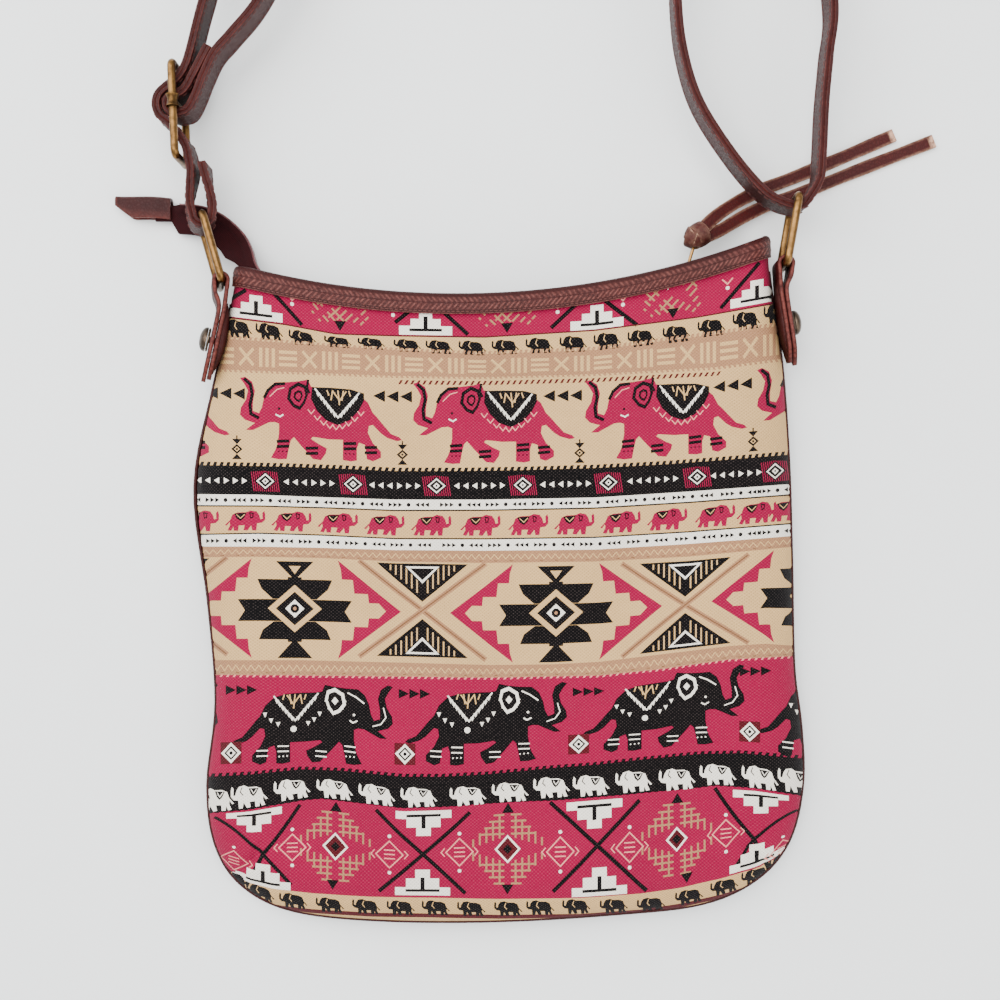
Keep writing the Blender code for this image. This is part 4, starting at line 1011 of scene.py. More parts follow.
# Fields of colour between two of those places, from the mouth down
BANDS = [
    (230, 338, Ink.MAGENTA), (338, 354, Ink.CREAM), (354, 379, Ink.TAN), (379, 471, Ink.CREAM),
    (471, 500, Ink.BLACK), (500, 509.5, Ink.WHITE), (509.5, 511, Ink.BLACK), (511, 538.2, Ink.CREAM),
    (538.2, 539.6, Ink.BLACK), (539.6, 550.6, Ink.WHITE), (550.6, 563, Ink.TAN), (563, 664.5, Ink.CREAM),
    (664.5, 677.5, Ink.TAN), (677.5, 774, Ink.MAGENTA), (774, 804, Ink.BLACK), (804, 898, Ink.MAGENTA),
    (898, 914, Ink.CREAM), (914, 918, Ink.MAROON), (918, 990, Ink.CREAM),
]
# A plain walking elephant that faces right, its trunk raised, about its body's middle
ELEPHANT = [
    (-52, -8), (-47, -18), (-38, -26), (-26, -29.5), (-10, -30.5), (4, -31), (10, -32), (13, -39),
    (22, -37), (34, -35.5), (46, -35), (53, -29), (57, -20), (59, -10), (62, -4), (68, -6), (68, -14),
    (66, -26), (69, -35), (76, -39.5), (81, -38), (77, -33), (73, -26), (75, -17), (80, -9), (81, -2),
    (76, 3), (66, 6), (70, 9), (75, 13), (68, 13), (58, 8), (52, 5), (46, 4.5), (42, 6), (42, 16),
    (44, 28), (46, 33), (50, 40), (42, 41.5), (34, 41), (32, 30), (30, 22), (27, 19), (20, 27), (8, 40),
    (0, 41), (-5, 34), (-6, 29), (2, 25), (10, 20), (8, 18), (-8, 20), (-22, 20), (-22, 30), (-22, 40),
    (-30, 41), (-36, 40), (-36, 28), (-38, 22), (-44, 24), (-46, 38), (-52, 40), (-60, 36), (-60, 30),
    (-52, 22), (-47, 12), (-48, 5), (-52, 4), (-60, 12), (-66, 16), (-76, 19), (-81, 18), (-78, 15),
    (-70, 12), (-62, 3), (-56, -4),
]
SMALL_ELEPHANT = [
    (-52, -4), (-44, -24), (-24, -32), (8, -33), (24, -40), (46, -36), (56, -22), (60, -6), (68, -8),
    (67, -30), (74, -38), (78, -26), (78, -4), (66, 8), (48, 10), (45, 38), (30, 38), (26, 18),
    (12, 38), (-3, 36), (2, 18), (-20, 18), (-22, 38), (-38, 38), (-40, 22), (-48, 38), (-62, 36),
    (-52, 16), (-54, 4), (-64, 18), (-72, 16),
]


class Print:
    """The canvas's print, as flat shapes laid over each other in the order they are added."""

    REACH = (150, 850)

    def __init__(self) -> None:
        """Draw every band and figure of the print."""
        self.shapes: list[tuple[Ink, Points]] = []
        self.places = np.array([place for place, _ in BORDERS], float)
        for low, high, ink in BANDS:
            self.strip(ink, low, high)
        self.top_band()
        self.small_row()
        self.tan_glyphs()
        self.large_elephants()
        self.black_band()
        self.narrow_strips()
        self.zigzags()
        self.stars()
        self.dark_elephants()
        self.white_row()
        self.lower_band()
        self.bottom_row()

    def borders_at(self, across: Points) -> Points:
        """Heights of all borders at places across, one row for each border."""
        rows = []
        for _, line in BORDERS:
            line = np.array(line, float)
            x, y = line[:, 0], line[:, 1]
            height = np.interp(across, x, y)
            first = (y[1] - y[0]) / (x[1] - x[0])
            last = (y[-1] - y[-2]) / (x[-1] - x[-2])
            height = np.where(across < x[0], y[0] + (across - x[0]) * first * 0.6, height)
            height = np.where(across > x[-1], y[-1] + (across - x[-1]) * last * 0.6, height)
            rows.append(height)
        return np.array(rows)

    def warp(self, points: Points) -> Points:
        """Carry points from the straightened print to where the laid cloth shows them.

        Args:
            points: (across, place in the straightened print).

        Returns:
            Points as seen from above.
        """
        points = np.asarray(points, float)
        rows = self.borders_at(points[:, 0])
        seen = np.empty(len(points))
        for i, place in enumerate(points[:, 1]):
            if place <= self.places[0]:
                seen[i] = rows[0, i] + place - self.places[0]
            elif place >= self.places[-1]:
                seen[i] = rows[-1, i] + place - self.places[-1]
            else:
                seen[i] = np.interp(place, self.places, rows[:, i])
        return np.column_stack([points[:, 0], seen])

    def straight(self, across: float, down: float) -> tuple[float, float]:
        """Give a seen place's place in the straightened print."""
        rows = self.borders_at(np.array([float(across)]))[:, 0]
        if down <= rows[0]:
            return across, self.places[0] + down - rows[0]
        if down >= rows[-1]:
            return across, self.places[-1] + down - rows[-1]
        return across, float(np.interp(down, rows, self.places))

    def lay(self, ink: Ink, points: list | Points, step: float = 5.0) -> None:
        """Add a shape of the straightened print.

        Args:
            ink: its colour.
            points: its outline.
            step: longest stretch between two points.
        """
        points = np.asarray(points, float)
        outline = []
        for a, b in zip(points, np.roll(points, -1, axis=0)):
            count = max(1, math.ceil(np.linalg.norm(b - a) / step))
            outline += [a + (b - a) * k / count for k in range(count)]
        self.shapes.append((ink, self.warp(np.array(outline))))

    def strip(
        self, ink: Ink, low: float, high: float, start: float = REACH[0], end: float = REACH[1]
    ) -> None:
        """Add a band between two places of the straightened print."""
        self.lay(ink, [(start, low), (end, low), (end, high), (start, high)], 6.0)

    def at(
        self, ink: Ink, centre: tuple[float, float], points: list, flip: bool = False, size: float = 1.0
    ) -> None:
        """Add a shape about a seen centre.

        Args:
            ink: its colour.
            centre: where the photograph shows its middle.
            points: its outline about that middle.
            flip: whether it is mirrored left to right.
            size: its scale.
        """
        x, v = self.straight(*centre)
        sign = -1 if flip else 1
        self.lay(ink, [(x + sign * size * a, v + size * b) for a, b in points])

    def line(
        self, ink: Ink, centre: tuple[float, float], points: list, width: float, flip: bool = False
    ) -> None:
        """Add a stroke of a width through points about a seen centre."""
        for a, b in zip(points, points[1:]):
            a, b = np.array(a, float), np.array(b, float)
            way = (b - a) / max(np.linalg.norm(b - a), 1e-6)
            side = np.array([-way[1], way[0]]) * width / 2
            reach = way * width * 0.35
            self.at(
                ink, centre, [a - reach + side, b + reach + side, b + reach - side, a - reach - side], flip
            )

    def seen_line(self, ink: Ink, points: list, width: float) -> None:
        """Add a stroke through places as the photograph shows them."""
        for a, b in zip(points, points[1:]):
            a, b = np.array(self.straight(*a)), np.array(self.straight(*b))
            way = (b - a) / max(np.linalg.norm(b - a), 1e-6)
            side = np.array([-way[1], way[0]]) * width / 2
            self.lay(ink, [a + side, b + side, b - side, a - side])

    def diamond(
        self, ink: Ink, centre: tuple[float, float], half: float, tall: float, offset: tuple = (0, 0)
    ) -> None:
        """Add a diamond of half its width and height."""
        x, y = offset
        self.at(ink, centre, [(x - half, y), (x, y - tall), (x + half, y), (x, y + tall)])

    def dot(self, ink: Ink, centre: tuple[float, float], radius: float, offset: tuple = (0, 0)) -> None:
        """Add a round dot."""
        turn = [math.radians(45 * k + 22) for k in range(8)]
        self.at(
            ink, centre, [(offset[0] + radius * math.cos(a), offset[1] + radius * math.sin(a)) for a in turn]
        )

    def teeth(self, ink: Ink, place: float, height: float, pitch: float, slant: float = 1.5) -> None:
        """Add a row of slanted teeth that stand on a border."""
        for x in np.arange(160, 845, pitch):
            self.lay(
                ink, [(x, place), (x + slant, place - height), (x + pitch * 0.5 + slant, place - height),
                      (x + pitch * 0.55, place)], 9
            )

    def pyramid(self, centre: tuple, widths: tuple, heights: tuple, up: int, tee: bool = True) -> None:
        """Add a stepped white pyramid with a black T inside.

        Args:
            centre: seen place of the middle of its base.
            widths: each step's width, from the base.
            heights: each step's height.
            up: -1 where it points up, 1 where it points down.
            tee: whether it has its T.
        """
        left, right, y = [], [], 0.0
        for width, height in zip(widths, heights):
            left += [(-width / 2, up * y), (-width / 2, up * (y + height))]
            right += [(width / 2, up * y), (width / 2, up * (y + height))]
            y += height
        self.at(Ink.WHITE, centre, left + right[::-1])
        if tee:
            low, high = sorted((up * 3.6, up * 6.4))
            wide = widths[0] * 0.31
            self.at(Ink.BLACK, centre, [(-wide, low), (wide, low), (wide, high), (-wide, high)])
            low, high = sorted((up * 3.6, up * 18.5))
            self.at(Ink.BLACK, centre, [(-2.1, low), (2.1, low), (2.1, high), (-2.1, high)])

    def arrows(
        self, ink: Ink, centre: tuple, count: int, pitch: float, half: float, reach: float, way: int
    ) -> None:
        """Add a row of small triangles that point left (-1) or right (1)."""
        for k in range(count):
            x = k * pitch
            self.at(
                ink, centre, [(x - way * reach / 2, -half), (x - way * reach / 2, half),
                              (x + way * reach / 2, 0)]
            )

    def lattice(self, centre: tuple, wide: float, tall: float, turn: float = 0.0) -> None:
        """Add a tan lattice: crossed bars in steps round an open middle.

        Args:
            centre: its seen middle.
            wide: half its width.
            tall: half its height.
            turn: turn of its bars in degrees.
        """
        cosine = math.cos(math.radians(turn))
        sine = math.sin(math.radians(turn))
        bars = []
        for sign in (-1, 1):
            for k in range(5):
                x = sign * (8 + 6.6 * k)
                height = max(5.0, tall * (1 - (8 + 6.6 * k) / (wide + 8)))
                bars += [[(x, -height), (x, -height * 0.34)], [(x, height * 0.34), (x, height)]]
            for k in range(4):
                y = sign * (15 + 6.2 * k)
                half = wide * (1 - (14 + 6.2 * k) / (tall + 10))
                bars += [[(-half, y), (-4, y)], [(4, y), (half, y)]]
        for bar in bars:
            self.line(Ink.TAN, centre, [(x * cosine - y * sine, x * sine + y * cosine) for x, y in bar], 1.9)

    def top_band(self) -> None:
        """Magenta band below the mouth: pyramids, crossing bars, lattices and small marks."""
        for x, y in ((340, 300), (507, 301), (672, 290)):
            self.lattice((x, y - 4), 30, 30, 45)
        for line in (
            [(246, 290), (226, 301.5)], [(271.5, 291), (302, 325)], [(395, 322.5), (418.6, 304)],
            [(434.5, 304), (468, 334.6)], [(551, 328), (584, 297)], [(597.5, 295), (637, 325)],
            [(720.6, 308.4), (759.5, 262.5)],
        ):
            self.seen_line(Ink.BLACK, line, 4)
        for x, y in ((256, 319.5), (425.6, 335), (597, 329), (757, 304)):
            self.pyramid((x, y), (53, 30, 13), (9, 7, 8), -1)
        for x, y in ((292, 304), (459, 312), (557.6, 312), (623, 304.6), (727.6, 288), (393, 315)):
            self.dot(Ink.WHITE, (x, y), 2.0)
            self.line(Ink.PINK, (x, y), [(-5, -9), (0, -4), (5, -9)], 1.4)
        for x, y in ((340, 326), (507, 328), (673, 313.5)):
            self.at(Ink.BLACK, (x, y), [(-6, -5), (6, -5), (0, 5)])
        for x, y in ((505, 303), (668, 286)):
            self.at(Ink.WHITE, (x, y), [(-4, -4), (4, -4), (0, 4)])
        self.strip(Ink.MAROON, 336.6, 338)

    def small_row(self) -> None:
        """Small black elephants on cream below the top band."""
        for x, y in (
            (207, 325), (239, 329), (270, 332), (303, 338), (338.5, 342), (372, 343.5), (408, 345.5),
            (440, 347), (473, 348), (506, 347), (540, 345.5), (574, 344), (608, 341), (642, 338),
            (677, 334), (712, 327.6), (747, 320.6), (778, 314),
        ):
            self.at(Ink.BLACK, (x, y), SMALL_ELEPHANT, True, 0.185)
            self.line(Ink.CREAM, (x, y), [(-3.2, -5.4), (-4.4, -2.0), (-2.2, 0.4)], 0.8)

    def tan_glyphs(self) -> None:
        """Tan band of plain crosses and bars, with hatching below it."""
        for x in np.arange(183.5, 850, 63.0):
            v = 366.5
            for a, b in (((-7, -6.5), (7, 6.5)), ((-7, 6.5), (7, -6.5))):
                self.bar(Ink.CREAM, (x + a[0], v + a[1]), (x + b[0], v + b[1]), 2.6)
            for k in range(3):
                across = x + 20.5 + (k - 1) * 6.3
                self.bar(Ink.CREAM, (across, v - 7.5), (across, v + 7.5), 3.2)
                down = v + (k - 1) * 5
                self.bar(Ink.CREAM, (x + 32.5, down), (x + 50.5, down), 2.6)
        self.teeth(Ink.TAN, 354.3, 3.0, 5.2)
        self.teeth(Ink.CREAM, 380.2, 3.0, 5.2, -1.5)
        for x in np.arange(398, 720, 6.0):
            self.lay(Ink.MAROON, [(x, 385.2), (x + 2.6, 381), (x + 5.0, 381), (x + 2.4, 385.2)], 9)

    def bar(self, ink: Ink, start: tuple, end: tuple, width: float) -> None:
        """Add a stroke between two places of the straightened print."""
        start, end = np.array(start, float), np.array(end, float)
        way = (end - start) / np.linalg.norm(end - start)
        side = np.array([-way[1], way[0]]) * width / 2
        self.lay(ink, [start + side, end + side, end - side, start - side])

    def elephant(self, centre: tuple, body: Ink, trim: Ink, accent: Ink, flip: bool) -> None:
        """Add a large elephant with its saddle cloth, ear, eye and leg bands.

        Args:
            centre: its seen middle.
            body: its colour.
            trim: black where it has a saddle cloth and black bands, white where all its strokes are white.
            accent: colour of the V on its back, and of its ear and brow where trim is white.
            flip: whether it faces left.
        """
        self.at(body, centre, ELEPHANT, flip)
        dark = trim is Ink.BLACK
        if dark:
            saddle = [(-43, -27), (-30, -30.5), (-10, -31.5), (9, -31.5), (10, -20), (4, -8), (-5, 1),
                      (-17, 5.5), (-29, 0), (-38, -10), (-43, -20)]
            self.at(trim, centre, saddle, flip)
            for k in range(9):
                x, y = -43 + k * 6.2, -12 + 18 * math.sin(math.pi * (k + 0.5) / 9)
                self.line(Ink.PINK, centre, [(x, y), (x + 3.1, y + 4), (x + 6.2, y)], 1.0, flip)
        for a, b in (((-38, -27), (-17, -2)), ((-17, -2), (6, -30))):
            a, b = np.array(a, float), np.array(b, float)
            self.line(accent, centre, [a, b], 1.5, flip)
            for k in range(1, 7):
                p = a + (b - a) * k / 7
                self.at(accent, centre, [(p[0] - 2, p[1]), (p[0] + 2, p[1]), (p[0], p[1] + 4.0)], flip)
        for k in (-2, -1, 0, 1, 2):
            x = -17 + k * 5.4
            self.line(
                Ink.CREAM, centre, [(x, -28.5), (x + (1.5 if k % 2 else -1.5), -28 + 13 - 4.5 * abs(k))],
                1.3, flip
            )
        self.line(Ink.CREAM, centre, [(-25, -28), (-18.6, -19), (-12, -28)], 1.3, flip)
        ear = [(15, -33), (23, -36), (32, -30), (34, -19), (28, -11), (21, -8), (16, -15), (13, -24)]
        self.at(Ink.BLACK if dark else accent, centre, ear, flip)
        for ink, size in ((body, 0.72), (Ink.BLACK if dark else body, 0.44), (body, 0.26)):
            self.at(ink, centre, [(22.5 + (a - 22.5) * size, -22 + (b + 22) * size) for a, b in ear], flip)
        if dark:
            self.line(Ink.BLACK, centre, [(37, -34), (46, -33), (53, -27), (56.5, -20)], 3.0, flip)
            self.line(Ink.PINK, centre, [(37, -30), (44, -28), (51, -21)], 1.0, flip)
            self.line(
                Ink.BLACK, centre, [(63, 0.5), (70, -3), (71, -12), (68.8, -22), (70.5, -32), (76, -37)],
                3.2, flip
            )
            self.line(Ink.BLACK, centre, [(13, -38), (14, -31), (12, -26)], 2.4, flip)
        else:
            self.line(accent, centre, [(36, -31), (44, -27), (52, -21)], 1.4, flip)
        self.line(Ink.WHITE, centre, [(38, -3), (41, -1), (45, -3)], 1.4, flip)
        self.dot(Ink.BLACK if dark else Ink.WHITE, centre, 1.3, ((-42 if flip else 42), -9))
        stripe = Ink.BLACK if dark else Ink.WHITE
        if not dark:
            self.line(stripe, centre, [(61, 1.5), (69, -1.0), (74, -8), (71.5, -17)], 1.1, flip)
        for x, y in ((-29, 23), (38, 23), (-50, 26), (9, 29)):
            for k in (0, 5.2):
                self.line(
                    stripe, centre, [(x - 5.2, y + k), (x + 5.2, y + k + 0.6)], 3.0 if dark else 1.3, flip
                )
        for k in range(3):
            for x in (-29, 38):
                self.dot(stripe, centre, 0.8, ((-1 if flip else 1) * (x - 4 + k * 4), 33.5))

    def large_elephants(self) -> None:
        """Large magenta elephants on cream, with arrows and small ornaments between them."""
        for x in (149, 321, 494, 666, 838):
            self.elephant(
                (x, float(self.warp(np.array([(x, 422.5)]))[0, 1])), Ink.MAGENTA, Ink.BLACK, Ink.WHITE, True
            )
        for x, y, count in ((212, 393, 3), (379, 396, 3), (549, 396, 3), (719, 387, 3)):
            self.arrows(Ink.BLACK, (x, y), count, 13.5, 5.8, 12, -1)
        for x, y in ((237, 449), (402.4, 454.7), (579.7, 452.8), (753, 441.3)):
            self.diamond(Ink.BLACK, (x, y), 5.7, 5)
            self.diamond(Ink.CREAM, (x, y), 3.0, 2.6)
            self.at(Ink.BLACK, (x, y), [(-5, -10), (5, -10), (0, -4.6)])
            self.at(Ink.BLACK, (x, y), [(-5, 10), (5, 10), (0, 4.6)])
            self.dot(Ink.BLACK, (x, y), 1.2)
            self.line(Ink.BLACK, (x, y), [(0, -13), (0, -9)], 1.4)

    def black_band(self) -> None:
        """Black band of outlined diamonds and rows of small arrows, with slanted teeth above."""
        self.teeth(Ink.BLACK, 471.2, 3.6, 6.6)
        marks = [265.4, 353.2, 436.5, 522.8, 608.4, 697, 775]
        for i, x in enumerate([178, *marks]):
            centre = (x, float(self.warp(np.array([(x, 486.0)]))[0, 1]))
            for k in range(-6, 7):
                self.line(
                    Ink.MAGENTA, centre, [(k * 2.1 - 1.4, -10 + abs(k) * 0.2), (k * 2.1 + 1.4, 10)], 0.9
                )
            self.diamond(Ink.BLACK, centre, 11, 9.6)
            self.diamond(Ink.WHITE, centre, 9, 7.8)
            self.diamond(Ink.BLACK, centre, 7.2, 6.0)
            self.diamond(Ink.WHITE, centre, 3.4, 3.2)
            self.dot(Ink.BLACK, centre, 1.1)
            after = ([178, *marks, 862])[i + 1] - x
            shift = (after - 85) / 2
            for offsets, way in (((19.5, 28.5, 37.5), -1), ((47.5, 56.5, 65.5), 1)):
                for offset in offsets:
                    across = offset + shift
                    self.at(
                        Ink.WHITE, centre,
                        [(across - way * 2.6, -3.1), (across - way * 2.6, 3.1), (across + way * 2.6, 0)]
                    )

    def narrow_strips(self) -> None:
        """Two white strips of dots and arrows, and the row of small magenta elephants between them."""
        first = [180, 225.6, 270.6, 317, 362.7, 408.6, 460, 505.7, 551.9, 598, 644.6, 692.4, 740.6, 777.4]
        second = [180, 226.3, 272.8, 319, 365.3, 410.6, 462.3, 508, 554, 600, 647, 694.8, 740.2, 777.4]
        for place, marks in ((504.9, first), (545.3, second)):
            for x in marks:
                centre = (x, float(self.warp(np.array([(x, place)]))[0, 1]))
                self.dot(Ink.BLACK, centre, 2.0)
                for k in range(3):
                    for way, start in ((-1, 8.6), (1, -18.0)):
                        across = start + k * 4.9
                        self.at(
                            Ink.BLACK, centre,
                            [(across - way * 2.1, -2.3), (across - way * 2.1, 2.3), (across + way * 2.1, 0)]
                        )
        for x in (198, 244.4, 290.7, 337, 383.5, 430.2, 479.4, 527.3, 573.3, 619.4, 666, 713.8, 755.3, 787):
            centre = (x, float(self.warp(np.array([(x, 525.6)]))[0, 1]))
            self.at(Ink.MAGENTA, centre, SMALL_ELEPHANT, False, 0.27)
            self.at(Ink.BLACK, centre, [(-10, -7.6), (2.5, -8.4), (0, -3), (-3.5, 0), (-7.5, -2.4)])
            self.at(Ink.BLACK, centre, [(5, -9), (9.6, -8), (9, -3.2), (6.2, -2.2)])
            self.at(Ink.MAGENTA, centre, [(6.2, -7.6), (8.6, -7), (8.1, -4.0), (6.8, -3.6)])
            self.line(Ink.CREAM, centre, [(-7.4, -6.3), (-3.6, -2.6), (0.4, -6.6)], 0.8)

    def zigzags(self) -> None:
        """Pale zigzags along the two narrow tan bands."""
        for middle in (556.9, 671.2):
            xs = np.arange(160, 845, 3.8)
            line = [(x, middle + (2.6 if k % 2 else -2.6)) for k, x in enumerate(xs)]
            for a, b in zip(line, line[1:]):
                self.bar(Ink.CREAM, a, b, 0.9)
            for x in xs[::4]:
                self.bar(Ink.BROWN, (x, middle + 4.2), (x + 3.2, middle + 4.2), 0.8)
        for x in np.arange(160, 845, 6.6):
            self.lay(Ink.PINK, [(x, 679.4), (x + 1.6, 677.2), (x + 3.8, 677.2), (x + 2.2, 679.4)], 9)

    def stars(self) -> None:
        """Cream section: black stepped stars between magenta brackets, and crossed tan bands."""
        for centre in ((295, 608.4), (556, 612.8), (817, 596)):
            self.star(centre)
        for x, y in ((164, 606), (422.4, 610.3), (685, 604.7)):
            for a, b in (((-62, -47), (62, 47)), ((62, -47), (-62, 47))):
                self.line(Ink.TAN, (x, y), [a, b], 5.2)
                self.line(Ink.BROWN, (x, y), [a, b], 1.4)
            for sign in (-1, 1):
                self.at(Ink.BLACK, (x, y), [(-45.5, sign * 46.8), (45.5, sign * 46.8), (0, sign * 8.6)])
                for k in range(-7, 8):
                    top = 44.6
                    low = 12 + abs(k * 5.3) * 0.84
                    if abs(k) > 0 and low < top - 2:
                        self.line(
                            Ink.CREAM, (x, y), [(k * 5.3, sign * top), (k * 5.3, sign * (low + 1.5))], 1.5
                        )
                self.at(Ink.BLACK, (x, y), [(-20, sign * 46.4), (20, sign * 46.4), (0, sign * 24.5)])
                self.at(Ink.WHITE, (x, y), [(-17, sign * 44), (17, sign * 44), (0, sign * 27)])
                self.at(Ink.BLACK, (x, y), [(-12.4, sign * 42), (12.4, sign * 42), (0, sign * 30.2)])

    def star(self, centre: tuple) -> None:
        """Add one stepped star with its brackets."""
        bracket = [
            (43, -49), (106, 0), (43, 49), (46, 40), (47, 30), (58, 30), (59.5, 16.5), (73, 16.5),
            (74, 7.5), (84, 7.5), (91, 0), (84, -7.5), (74, -7.5), (73, -16.5), (59.5, -16.5),
            (58, -30), (47, -30), (46, -40),
        ]
        for flip in (False, True):
            self.at(Ink.MAGENTA, centre, bracket, flip)
        self.at(Ink.BLACK, centre, [(-18.8, -46.5), (18.8, -46.5), (0, -28)])
        self.at(Ink.CREAM, centre, [(-6, -42), (6, -42), (0, -34)])
        self.at(
            Ink.BLACK, centre,
            [(-37.5, -28.7), (37.5, -28.7), (33, -19), (22, -9.3), (-22, -9.3), (-33, -19)]
        )
        self.at(Ink.BLACK, centre, [(-57, -9), (57, -9), (50, 2), (57, 12.5), (-57, 12.5), (-50, 2)])
        self.at(Ink.BLACK, centre, [(-21, 12.8), (21, 12.8), (32, 21), (36, 30.6), (-36, 30.6), (-32, 21)])
        self.at(Ink.BLACK, centre, [(-17.5, 49), (17.5, 49), (0, 30)])
        self.at(Ink.BLACK, centre, [(-7, -31), (7, -31), (7, 33), (-7, 33)])
        self.diamond(Ink.CREAM, centre, 27, 23.5)
        self.diamond(Ink.BLACK, centre, 19, 16.6)
        self.diamond(Ink.WHITE, centre, 9.5, 9)
        self.dot(Ink.BLACK, centre, 4.7)
        self.dot(Ink.TAN, centre, 1.8)

    def dark_elephants(self) -> None:
        """Magenta section: large black elephants, arrows and square ornaments."""
        for centre in ((137, 726), (312, 722.6), (486, 723), (663.5, 710), (838, 716)):
            self.elephant(centre, Ink.BLACK, Ink.WHITE, Ink.WHITE, False)
            for points in ([(-47, -9), (-41, -3), (-34, 1)], [(7.6, -9), (2, -3), (-4, 1)]):
                for x, y in points:
                    self.at(Ink.WHITE, centre, [(x - 2.2, y - 2.2), (x + 2.2, y - 2.2), (x, y + 2.6)])
            self.dot(Ink.WHITE, centre, 3.2, (-18.6, 6.5))
            for k in range(8):
                turn = math.radians(45 * k)
                self.dot(
                    Ink.WHITE, centre, 0.9, (23.5 + 11 * math.cos(turn) * 0.9, -22.5 + 11 * math.sin(turn))
                )
            self.diamond(Ink.WHITE, centre, 3.4, 4.2, (23, -22.6))
        for x, y in ((231, 690), (404, 693.6), (578, 691.7), (745, 671.5)):
            self.arrows(Ink.BLACK, (x, y), 3, 10.6, 4.7, 10.5, 1)
        for centre in ((231, 753), (405, 754), (578.6, 744), (749.7, 731.7)):
            self.at(Ink.MAROON, centre, [(-10.5, -10.5), (10.5, -10.5), (10.5, 10.5), (-10.5, 10.5)])
            self.diamond(Ink.WHITE, centre, 10, 10)
            self.diamond(Ink.BLACK, centre, 6.8, 6.8)
            self.diamond(Ink.WHITE, centre, 4.6, 4.6)
            self.dot(Ink.BLACK, centre, 1.8)

    def white_row(self) -> None:
        """Small white elephants on the lower black band."""
        self.teeth(Ink.BLACK, 774.3, 3.2, 7.2)
        self.teeth(Ink.MAGENTA, 806.2, 2.6, 7.2)
        for centre in (
            (216.4, 800), (250, 796.7), (292.8, 789.4), (335.6, 789.4), (377.8, 794.7), (419.8, 796.9),
            (468.9, 795.6), (511, 791.8), (552.4, 787.3), (592, 785.4), (634.5, 781.3), (678, 779.3),
            (718.9, 774.6), (761, 777.9), (797, 781.3),
        ):
            self.at(Ink.WHITE, centre, SMALL_ELEPHANT, True, 0.245)
            self.at(Ink.BLACK, centre, [(-1.6, -7.2), (8.6, -6.4), (5.6, -1.6), (3, 0.2), (0.4, -2.4)])
            self.line(Ink.WHITE, centre, [(1.0, -5.8), (3.4, -2.2), (6.4, -5.6)], 0.8)
            self.line(Ink.BLACK, centre, [(-8.2, -8), (-9.8, -4.4), (-7.0, -1.6)], 0.9)

    def lower_band(self) -> None:
        """Lower magenta band: pyramids, crossing bars, lattices and outlined diamonds."""
        for centre, side in (
            ((335.4, 846.4), 13), ((507.6, 848.9), 13), ((676.8, 839.3), 11), ((174, 858), 12),
            ((838, 850), 12)
        ):
            self.lattice(centre, 38, 40)
            self.diamond(Ink.MAGENTA, centre, side + 3.4, side + 4.4)
            self.diamond(Ink.WHITE, centre, side, side + 1)
            self.diamond(Ink.MAROON, centre, side - 2.6, side - 1.6)
            self.diamond(Ink.BLACK, centre, 4.6, 4.8)
        for line in (
            [(376, 809.5), (465.4, 893)], [(470, 812), (379, 891)], [(550, 802), (646.6, 890.5)],
            [(639.6, 800), (553, 891.5)], [(214.5, 817), (263, 854), (291, 885)],
            [(300, 804.6), (263, 854), (246.5, 885)], [(715, 788), (754, 839), (771, 873)],
            [(798, 810), (754, 839), (736, 866)],
        ):
            self.seen_line(Ink.BLACK, line, 4)
        for centre in ((254, 811), (423.6, 810.5), (594.4, 800.5), (761, 792)):
            self.pyramid(centre, (55.6, 34, 14.6), (8, 9.3, 9), 1)
        for centre in ((422.6, 895), (599.4, 895.5), (263, 886), (757, 866)):
            self.pyramid(centre, (55, 33, 14.6), (8.4, 9.3, 9), -1)
        for centre in ((336, 806.5), (508, 807.5), (677.4, 798)):
            self.at(Ink.BLACK, centre, [(-6, 5), (6, 5), (0, -4.8)])
        for centre in ((332.7, 884.7), (507.4, 889.5), (686.8, 878)):
            self.at(Ink.BLACK, centre, [(-6, -5), (6, -5), (0, 4.8)])
        for centre in (
            (292.3, 847.4), (389.5, 854.2), (459.5, 851.9), (560.3, 851.7), (629.6, 847.3),
            (726, 833.3), (783, 849), (234, 860),
        ):
            outline = [(-13.6, 0), (0, -14), (13.6, 0), (0, 14), (-13.6, 0)]
            self.line(Ink.PINK, centre, outline, 1.3)
            for k in (-1, 0, 1):
                self.line(Ink.PINK, centre, [(-5, k * 4.4), (5, k * 4.4)], 1.3)
            for sign in (-1, 1):
                self.line(Ink.PINK, centre, [(sign * 15, -4), (sign * 18.4, 0), (sign * 15, 4)], 1.1)
                self.dot(Ink.WHITE, centre, 1.9, (0, sign * 19))

    def bottom_row(self) -> None:
        """Small black elephants along the bottom."""
        for centre in (
            (235, 878), (261, 893), (294, 901), (330.6, 905), (367, 906.7), (401.6, 907.7),
            (436.6, 907.7), (472, 908.7), (509, 908.6), (541, 907.6), (577, 906.6), (614.5, 906),
            (651.7, 904.6), (689.8, 896.5), (725, 886.5), (756, 875.4), (784, 858),
        ):
            self.at(Ink.BLACK, centre, SMALL_ELEPHANT, True, 0.19)
            self.line(Ink.CREAM, centre, [(-3.3, -5.6), (-4.6, -2.1), (-2.3, 0.4)], 0.8)


